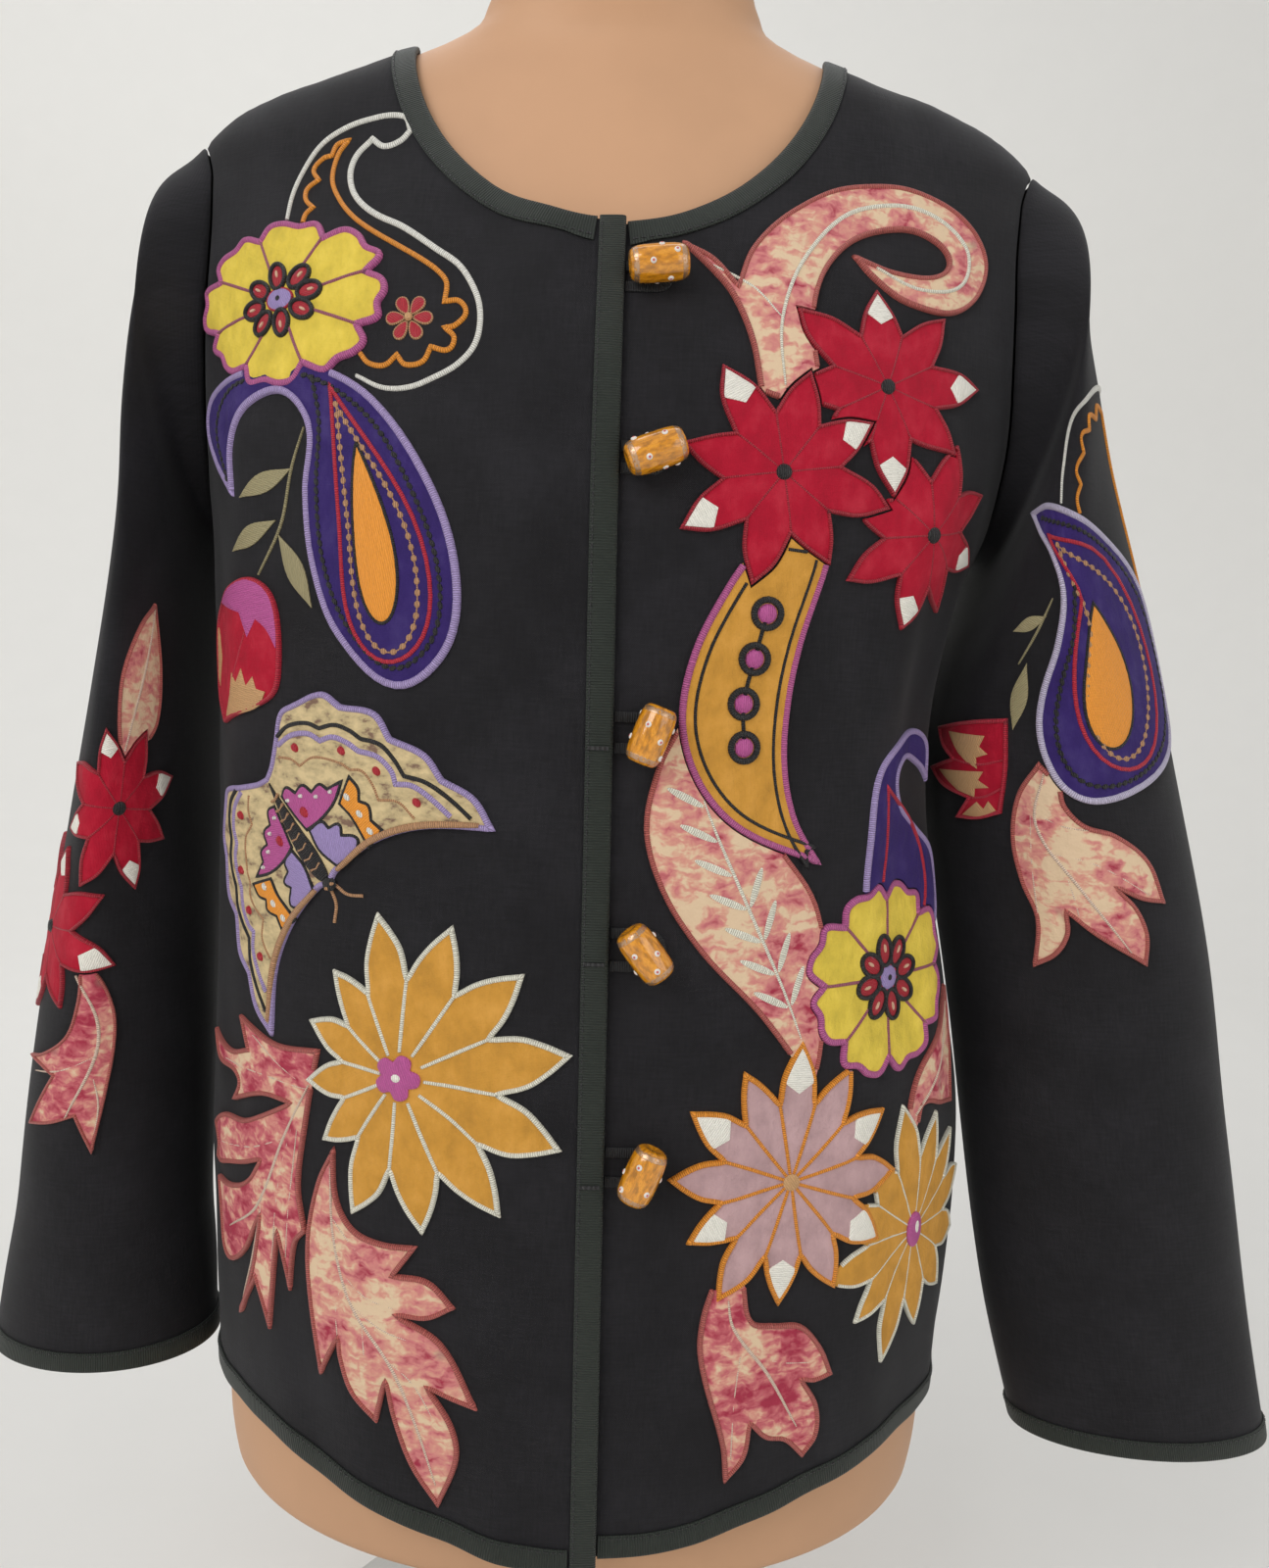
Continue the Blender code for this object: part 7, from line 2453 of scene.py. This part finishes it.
@dataclass
class SleevePanel:
    """A set-in sleeve: a tube of cloth, and the ribbon folded round its foot."""

    name: str
    surface: SleeveCloth
    foot: float = 1.3

    def rows_up(self, distance: Array) -> Array:
        """Returns the rows that lie at distances above the cloth's foot, in millimetres, one line for each.

        Args:
            distance: The distances, in millimetres.

        Returns:
            The rows, one line for each distance.
        """
        first, second = self.surface.points[0], self.surface.points[3]
        per_row = np.linalg.norm(second - first, axis=1) / 3 / MM
        return (self.foot + distance)[:, None] / per_row[None, :]

    def build(self) -> bpy.types.Object:
        """Builds the tube of cloth.

        Returns:
            The new piece.
        """
        surface = self.surface
        rows = np.concatenate((self.rows_up(np.array([0.0]))[:1].mean(axis=1),
                               np.arange(1, surface.rows + 1)))
        count = surface.columns + 1
        column = np.tile(np.arange(count, dtype=float), len(rows))
        row = np.repeat(rows, count)
        head = 0.45 * np.exp(-((surface.rows - row) / 0.8) ** 2)
        outer = surface.between(column, row, -head)
        inner = surface.between(column, row, -CLOTH / MM)
        rise = surface.read(surface.points[..., 2], column, row) - STAND_HEIGHT
        flat = np.stack((surface.read(surface.runs, column, row), rise), axis=1) / MM
        size = len(outer)
        faces = grid_faces(len(rows), count)
        top = (len(rows) - 1) * count
        rim = [[i + 1, i, i + size, i + size + 1] for i in range(count - 1)]
        rim += [[top + i, top + i + 1, top + i + 1 + size, top + i + size] for i in range(count - 1)]
        parts = Parts()
        parts.add(np.concatenate((outer, inner)), faces + [[v + size for v in f[::-1]] for f in faces] + rim,
                  np.concatenate((flat, flat)), CLOTH_BLACK)
        return dressed(parts.piece("sleeve_" + self.name + "_cloth", weld=True), "black_cloth",
                       "sleeve_" + self.name)

    def cuff(self) -> bpy.types.Object:
        """Builds the ribbon round the foot.

        Returns:
            The new piece.
        """
        surface = self.surface
        count = surface.columns + 1
        columns = np.arange(count, dtype=float)
        section = np.array(BINDING_SECTION)
        rows = self.rows_up(section[:, 0])
        points = np.stack([surface.between(columns, row, off) for row, off in zip(rows, section[:, 1])],
                          axis=1)
        around = runs_of(section)
        run = surface.runs[0] / MM
        flat = np.stack((np.repeat(run, len(section)), np.tile(around, count)), axis=1)
        parts = Parts()
        parts.add(points.reshape(-1, 3), grid_faces(count, len(section), False, True), flat, RIBBON)
        low, high = (self.rows_up(np.array([distance]))[0] for distance in STITCH_LINES)
        stitches(parts, surface, (columns, low), (columns, high), *STITCH_HEIGHTS, False)
        return dressed(parts.piece("cuff_" + self.name + "_ribbon", weld=True), "ribbon",
                       "cuff_binding_" + self.name)

    def cut(self) -> tuple[tuple[float, float], float]:
        """Returns the rectangle that the sleeve is cut from and its own flat area.

        Returns:
            The rectangle's sides and the area, in metres and square metres.
        """
        ring = np.linalg.norm(np.diff(self.surface.points, axis=1), axis=2).sum(axis=1)
        rise = np.linalg.norm(np.diff(self.surface.points, axis=0), axis=2)
        long = float(rise.sum(axis=0).max())
        mean = (ring[1:] + ring[:-1]) / 2
        return (float(ring.max()), long), float((mean * rise.mean(axis=1)).sum())


# Beads, form, stand and stage

# A loop's section: the side as a share of its half width, and the height off the cloth in millimetres
LOOP_SECTION = ((1.0, 0.3), (1.0, 1.0), (0.8, 1.28), (0.0, 1.34), (-0.8, 1.28), (-1.0, 1.0), (-1.0, 0.3))
# How far a bead is turned on its axis past the one before it, in radians
BEAD_TURN = 2.1


@dataclass
class Fastening:
    """A bead and the flat loop that it passes through."""

    number: int
    across: float
    height: float
    lean: float
    reach: float
    half: float
    width: float = 0.0040

    def bead(self, model: bpy.types.Object, surface: ClothSurface) -> bpy.types.Object:
        """Puts a copy of the bead's model in its place.

        Args:
            model: The bead that is copied.
            surface: The cloth that it lies on.

        Returns:
            The new piece.
        """
        place = np.array([(self.across, self.height)]) / MM
        column, row = surface.index(place)
        here = surface.between(column, row, 0)[0]
        level = unit(surface.between(column + 0.4, row, 0) - surface.between(column - 0.4, row, 0))[0]
        out = unit(surface.between(column, row, 1.0)[0] - here)
        rise = np.cross(out, level)
        lean = math.radians(self.lean)
        axis = level * math.cos(lean) + rise * math.sin(lean)
        aside = np.cross(out, axis)
        middle = here + out * (BEAD_LIFT + BEAD_RADIUS)
        matrix = Matrix([[aside[k], out[k], axis[k], middle[k]] for k in range(3)] + [[0, 0, 0, 1]])
        made = model.copy()
        made.data = model.data.copy()
        made.name = "bead_" + str(self.number) + "_glass"
        bpy.context.scene.collection.objects.link(made)
        made.data.transform(Matrix.Translation(matrix.translation) @ matrix.to_3x3().to_4x4()
                            @ Matrix.Rotation(self.number * BEAD_TURN, 4, "Z"))
        return dressed(made, "amber_glass", "bead_" + str(self.number))

    def loop(self, surface: ClothSurface) -> bpy.types.Object:
        """Builds the loop, a flat band that turns back round under the bead.

        Args:
            surface: The cloth that it lies on.

        Returns:
            The new piece.
        """
        radius = (self.half - self.width / 2) / MM
        height = self.height / MM
        start = (float(front_edge(self.height)) + 0.0016) / MM
        bend = (float(front_edge(self.height)) + self.reach - self.half) / MM
        angles = np.radians(np.linspace(-90, 90, 19))
        arc = np.stack((bend + radius * np.cos(angles), height + radius * np.sin(angles)), axis=1)
        path = walked(np.concatenate(([(start, arc[0, 1])], arc, [(start, arc[-1, 1])])), 1.2)
        left = leftward(path)
        half = self.width / 2 / MM
        section = [(half * share, off) for share, off in LOOP_SECTION]
        count = len(section)
        points = np.stack([surface.at(path + left * side, off) for side, off in section], axis=1)
        points = points.reshape(-1, 3)
        runs = runs_of(path)
        flat = np.stack((np.repeat(runs, count), np.tile([side for side, _ in section], len(path))), axis=1)
        faces = grid_faces(len(path), count, False, True)
        last = (len(path) - 1) * count
        faces += [list(range(count))[::-1], list(range(last, last + count))]
        parts = Parts()
        parts.add(points, faces, flat, LOOP_BAND)
        return dressed(parts.piece("loop_" + str(self.number) + "_band"), "cord", "loop_" + str(self.number))


BEAD_PROFILE = ((1.5, -10.9), (3.0, -11.4), (4.2, -11.5), (5.3, -11.1), (6.2, -10.1), (6.8, -8.4),
                (7.1, -5.8), (7.2, -2.4), (7.2, 2.4), (7.1, 5.8), (6.8, 8.4), (6.2, 10.1), (5.3, 11.1),
                (4.2, 11.5), (3.0, 11.4), (1.5, 10.9))
BEAD_DOTS = ((0, -3.0), (62, 3.6), (118, -1.0), (178, 4.4), (236, -4.2), (296, 1.2), (330, 6.6), (150, -6.8))
# A raised dot and the smaller one on it: radii and heights in metres
DOT_PROFILE = ((0.00125, -0.0004), (0.00120, 0.0001), (0.00095, 0.00042), (0.0005, 0.00058))
DOT_HEART_PROFILE = ((0.0006, 0.0003), (0.00052, 0.00062), (0.00025, 0.00074))


def bead_model() -> bpy.types.Object:
    """Models one amber bead with raised dots on it.

    Returns:
        The bead, to be copied.
    """
    bead = spun_solid("bead_model", [(r * MM, z * MM) for r, z in BEAD_PROFILE], 40)
    wear(bead, AMBER)
    drop = spun_solid("dot_model", DOT_PROFILE, 14)
    wear(drop, DOT_WHITE)
    heart = spun_solid("dot_heart", DOT_HEART_PROFILE, 10)
    wear(heart, DOT_PINK)
    copies = []
    for turn, along in BEAD_DOTS:
        place = (Matrix.Rotation(math.radians(turn), 4, "Z") @ Matrix.Translation((0.0071, 0, along * MM))
                 @ Matrix.Rotation(math.pi / 2, 4, "Y"))
        for model in (drop, heart):
            made = model.copy()
            made.data = model.data.copy()
            made.data.transform(place)
            bpy.context.scene.collection.objects.link(made)
            copies.append(made)
    for model in (drop, heart):
        bpy.data.objects.remove(model)
    deselect()
    for made in [*copies, bead]:
        made.select_set(True)
    bpy.context.view_layer.objects.active = bead
    bpy.ops.object.join()
    return bead


def wear(piece: bpy.types.Object, finish: Finish, half: float = 0.0115) -> None:
    """Gives a piece one finish, with its share of the way along Z as its flat coordinates.

    Args:
        piece: The piece.
        finish: Its finish.
        half: Half its length along Z, in metres.
    """
    piece.data.materials.clear()
    piece.data.materials.append(finish.material())
    layer = piece.data.uv_layers.get("flat") or piece.data.uv_layers.new(name="flat")
    for corner in piece.data.loops:
        point = piece.data.vertices[corner.vertex_index].co
        layer.data[corner.index].uv = (math.atan2(point.y, point.x), (point.z + half) / (2 * half))
    deselect()
    piece.select_set(True)
    bpy.context.view_layer.objects.active = piece
    bpy.ops.object.shade_smooth_by_angle(angle=math.radians(45))


# The form's rounded lower and upper rims: heights above its foot, and how far each lies in from its sections
FORM_FOOT_HEIGHTS, FORM_FOOT_INSETS = (0.0, 0.0008, 0.0022, 0.0045), (0.0045, 0.0022, 0.0008, 0.0)
FORM_TOP_HEIGHTS, FORM_TOP_INSETS = (0.7600, 0.7612, 0.7618, 0.762), (0.0010, 0.0030, 0.0060, 0.0110)


@dataclass
class DressForm:
    """The limbless form: a disc that is extruded ring by ring, then set to its sections."""

    rings: int = 150
    around: int = 160
    blank_radius: float = 0.1

    def build(self) -> bpy.types.Object:
        """Builds the form.

        Returns:
            The form's shell.
        """
        heights = np.concatenate((FORM_FOOT_HEIGHTS, np.linspace(0.008, 0.758, self.rings), FORM_TOP_HEIGHTS))
        table = through_rows(FORM[:, 0], FORM[:, 1:], heights)
        inset = np.zeros(len(heights))
        inset[:4] = FORM_FOOT_INSETS
        inset[-4:] = FORM_TOP_INSETS
        base = heights + np.concatenate((np.zeros(len(heights) - 1), [1e-6]))
        form = spun_solid("dress_form_shell", [(self.blank_radius, z) for z in base], self.around)
        mesh = form.data
        for vertex in mesh.vertices:
            k = int(np.argmin(np.abs(base - vertex.co.z)))
            right, left, front, back, power = table[k]
            turn = math.atan2(vertex.co.y, vertex.co.x)
            cos, sin = math.cos(turn), math.sin(turn)
            wide = (left if cos > 0 else right) - inset[k]
            deep = (back if sin > 0 else front) - inset[k]
            vertex.co = (math.copysign(wide * abs(cos) ** (2 / power), cos),
                         math.copysign(deep * abs(sin) ** (2 / power), sin), float(heights[k]) + STAND_HEIGHT)
        wear(form, SHELL, 1.0)
        return dressed(form, "form_shell", "dress_form")


# The pole's collar, as distances out from the pole's side and heights above the floor, in metres
COLLAR_PROFILE = ((0.0102, 0.0103), (0.01125, 0.0113), (0.01125, 0.0173), (0.0102, 0.0183), (0.004, 0.0205))


@dataclass
class Stand:
    """The round base plate and the pole with its collar."""

    base_radius: float = 0.150
    base_thickness: float = 0.010
    pole_radius: float = 0.0125

    def build(self) -> list[bpy.types.Object]:
        """Builds the plate and the pole.

        Returns:
            The plate and the pole.
        """
        r, t = self.base_radius, self.base_thickness
        plate = [(r - 0.002, 0.0), (r - 0.0006, 0.0006), (r, 0.002), (r, t - 0.002), (r - 0.0006, t - 0.0006),
                 (r - 0.002, t), (0.026, t)]
        base = spun_solid("stand_base_plate", plate, 128)
        p = self.pole_radius
        tube = [*((p + out, z) for out, z in COLLAR_PROFILE), (p, 0.0231), (p, 0.0800), (p, 0.1597)]
        pole = spun_solid("stand_pole_tube", tube, 64)
        for piece, node in ((base, "stand_base"), (pole, "stand_pole")):
            wear(piece, STEEL, 0.1)
            dressed(piece, "stand_steel", node)
        return [base, pole]


# Square lights: name, place, target, side in metres and power in watts
LIGHTS = (("key", (-1.25, -1.75, 1.85), (0.0, 0.0, 0.50), 1.5, 24.0),
          ("fill", (1.60, -1.50, 1.00), (0.0, 0.0, 0.45), 1.6, 8.5),
          ("top", (0.0, 0.9, 2.30), (0.0, 0.0, 0.60), 1.4, 8.0),
          ("wall", (-0.6, 1.0, 2.60), (-0.3, 3.4, 0.9), 1.6, 27.0))
WORLD_COLOUR, WORLD_STRENGTH = (0.95, 0.96, 1.0, 1.0), 0.5

# The camera: its yaw, pitch and roll in degrees, its place in metres, and the lens on a sensor's height in mm
CAMERA_TURNS = (-0.302, 6.452, 2.231)
CAMERA_PLACE = (0.0218, -0.6335, 0.5643)
CAMERA_LENS, CAMERA_SENSOR = 29.925, 36.0


@dataclass
class Studio:
    """The pale round floor whose rim curves up, the lights and the camera."""

    floor_radius: float = 3.4
    wall: float = 3.2
    bend: float = 1.6

    def build(self) -> None:
        """Builds the floor, the lights and the camera."""
        r, bend = self.floor_radius, self.bend
        steps = [(r - bend + bend * math.sin(a), bend * (1 - math.cos(a)) - 0.0005)
                 for a in np.linspace(0, math.pi / 2, 14)]
        rim = [(r + 0.1, -0.02), (r + 0.1, self.wall), (r, self.wall)]
        floor = spun_solid("floor", [(0.02, -0.02), *rim, *steps[::-1]], 96)
        floor.data.materials.append(FLOOR.material())
        deselect()
        floor.select_set(True)
        bpy.context.view_layer.objects.active = floor
        bpy.ops.object.shade_smooth_by_angle(angle=math.radians(40))
        for lamp in LIGHTS:
            self.light(*lamp)
        world = bpy.data.worlds.new("pale_room")
        bpy.context.scene.world = world
        world.use_nodes = True
        world.node_tree.nodes["Background"].inputs["Color"].default_value = WORLD_COLOUR
        world.node_tree.nodes["Background"].inputs["Strength"].default_value = WORLD_STRENGTH
        bpy.context.scene.view_settings.view_transform = "Standard"
        self.camera()

    @staticmethod
    def light(name: str, place: Colour, target: Colour, size: float, power: float) -> None:
        """Adds a soft square light that faces a target.

        Args:
            name: Its name.
            place: Where it stands.
            target: What it faces.
            size: Its side, in metres.
            power: Its power, in watts.
        """
        lamp = bpy.data.lights.new(name, "AREA")
        lamp.energy = power
        lamp.size = size
        made = bpy.data.objects.new(name, lamp)
        made.location = place
        made.rotation_euler = (Vector(target) - Vector(place)).to_track_quat("-Z", "Y").to_euler()
        bpy.context.scene.collection.objects.link(made)

    @staticmethod
    def camera() -> None:
        """Adds the camera where the photograph was taken from, with its slight lean."""
        yaw, pitch, roll = (math.radians(a) for a in CAMERA_TURNS)
        ahead = Vector((math.sin(yaw) * math.cos(pitch), math.cos(yaw) * math.cos(pitch), -math.sin(pitch)))
        right = Vector((math.cos(yaw), -math.sin(yaw), 0.0))
        down = ahead.cross(right)
        across = right * math.cos(roll) - down * math.sin(roll)
        below = right * math.sin(roll) + down * math.cos(roll)
        lens = bpy.data.cameras.new("camera")
        lens.sensor_fit = "VERTICAL"
        lens.sensor_height = CAMERA_SENSOR
        lens.lens = CAMERA_LENS
        lens.clip_start = 0.02
        made = bpy.data.objects.new("camera", lens)
        turn = Matrix((across, -below, -ahead)).transposed().to_4x4()
        made.matrix_world = Matrix.Translation(CAMERA_PLACE) @ turn
        bpy.context.scene.collection.objects.link(made)
        bpy.context.scene.camera = made


@dataclass
class Jacket:
    """The jacket: its cloth, its ribbons, its motifs, and the beads and loops."""

    upper: BodyCloth = field(default_factory=lambda: BodyCloth(True, FRONT_FOLDS, lap_lift))
    under: BodyCloth = field(default_factory=lambda: BodyCloth(True, FRONT_FOLDS))
    rear: BodyCloth = field(default_factory=lambda: BodyCloth(False, BACK_FOLDS))

    def build(self) -> None:
        """Builds every part of the jacket."""
        right = Panel.front("front_right", self.upper, -1, front_edge, 0.0)
        left = Panel.front("front_left", self.under, 1, lambda height: -LAP_UNDER, LEFT_HEM_RAISE)
        back = Panel.whole_back(self.rear)
        clear = RIBBON_WIDTH + 0.0009
        neck_stop = (float(front_edge(FRONT_NECK_PIT)) - clear) / MM
        foot_stop = (float(front_edge(HEM_LOW)) - clear) / MM
        start = 0.0016
        edge = np.concatenate((right.edge[:1] - (0, 1.0), right.edge, right.edge[-1:] + (0, 1.0)))
        bars = tuple(row[1] / MM - 6 for row in BEADS[2:])
        rights = [
            Binding("front_binding", self.upper, spaced(edge, 2.4), True, bars),
            Binding("neck_binding_right", self.upper, kept_across(right.neck, high=neck_stop), True),
            Binding("hem_binding_right", self.upper, kept_across(right.hem, high=foot_stop), False)]
        lefts = [
            Binding("neck_binding_left", self.under,
                    kept_across(left.neck, (float(front_edge(FRONT_NECK_PIT)) + start) / MM), False),
            Binding("hem_binding_left", self.under,
                    kept_across(left.hem, (float(front_edge(HEM_LOW)) + start) / MM), True)]
        backs = [Binding("neck_binding_back", self.rear, spaced(back.neck, 2.4), False),
                 Binding("hem_binding_back", self.rear, spaced(back.hem, 2.4), True)]
        on_right = [ribbon.build() for ribbon in rights] + self.motifs(self.upper, RIGHT_FRONT, [])
        on_right.append(self.stitching("chest_stitching", self.upper, RIGHT_FRONT,
                                       (CHEST_PAISLEY, CHEST_FLORET, CHEST_SPRIG)))
        fastenings = [Fastening(k, *row) for k, row in enumerate(BEADS, 1)]
        model = bead_model()
        on_left = [ribbon.build() for ribbon in lefts]
        on_left += [f.loop(self.under) for f in fastenings] + [f.bead(model, self.under) for f in fastenings]
        bpy.data.objects.remove(model)
        on_left += self.motifs(self.under, LEFT_FRONT, self.loop_covers())
        for panel, trim in ((right, on_right), (left, on_left), (back, [ribbon.build() for ribbon in backs])):
            flat, area = cut_size(panel.outline)
            panel.build()
            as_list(trim)
        self.sleeve("right", -1, self.upper, SLEEVE_RIGHT, RIDGES_RIGHT, RIGHT_SLEEVE, ())
        self.sleeve("left", 1, self.under, SLEEVE_LEFT, RIDGES_LEFT, LEFT_SLEEVE,
                    (SLEEVE_PAISLEY, SLEEVE_SPRIG))

    def sleeve(self, name: str, side: int, front: BodyCloth, table: Array, ridges: Sequence, motifs: Sequence,
               lines: Sequence) -> None:
        """Builds a sleeve with its cuff, its motifs and its free stitching.

        Args:
            name: Its side as a word.
            side: -1 or 1, the side.
            front: The front that it is set into.
            table: Its rings.
            ridges: Its ridges.
            motifs: Its motifs.
            lines: Its stitching without a patch.
        """
        surface = SleeveCloth(front, self.rear, side, table, ridges)
        panel = SleevePanel(name, surface)
        trim = [panel.cuff()] + self.motifs(surface, motifs, [])
        if lines:
            trim.append(self.stitching("sleeve_stitching", surface, motifs, lines))
        flat, area = panel.cut()
        panel.build()

    @staticmethod
    def motifs(surface: ClothSurface, motifs: Sequence[Motif], covers: list[Array]) -> list[bpy.types.Object]:
        """Builds the motifs on a surface, the topmost first.

        Args:
            surface: The cloth that it lies on.
            motifs: The motifs, the topmost first.
            covers: The outlines of what lies above them all.

        Returns:
            The new pieces.
        """
        laid = list(covers)
        made = []
        for motif in motifs:
            made.append(motif.build(surface, list(laid)))
            laid.append(widened(motif.outline(), 1.2))
        return made

    @staticmethod
    def stitching(name: str, surface: ClothSurface, motifs: Sequence[Motif],
                  lines: Sequence) -> bpy.types.Object:
        """Sews what has no patch, clear of the motifs.

        Args:
            name: The piece's name.
            surface: The cloth that it lies on.
            motifs: The motifs, the topmost first.
            lines: What is sewn.

        Returns:
            The new piece.
        """
        work = Needlework(surface, [widened(motif.outline(), 1.2) for motif in motifs])
        for line in lines:
            line.sew(work)
        return dressed(work.parts.piece(name), "cream")

    @staticmethod
    def loop_covers() -> list[Array]:
        """Returns the outlines of the loops, which lie over the left front's patches.

        Returns:
            One outline for each loop.
        """
        covers = []
        for _, height, _, reach, half in BEADS:
            edge = float(front_edge(height))
            bend = edge + reach - half
            angles = np.radians(np.linspace(-90, 90, 13))
            arc = np.stack((bend + half * np.cos(angles), height + half * np.sin(angles)), axis=1)
            whole = np.concatenate(([(edge, height - half)], arc, [(edge, height + half)])) / MM
            covers.append(widened(whole, 0.6))
        return covers


def main() -> None:
    """Builds the scene in order."""
    logging.basicConfig(level=logging.INFO, format="%(name)s %(message)s")
    deselect()
    Studio().build()
    Stand().build()
    DressForm().build()
    Jacket().build()


if __name__ == "__main__":
    main()
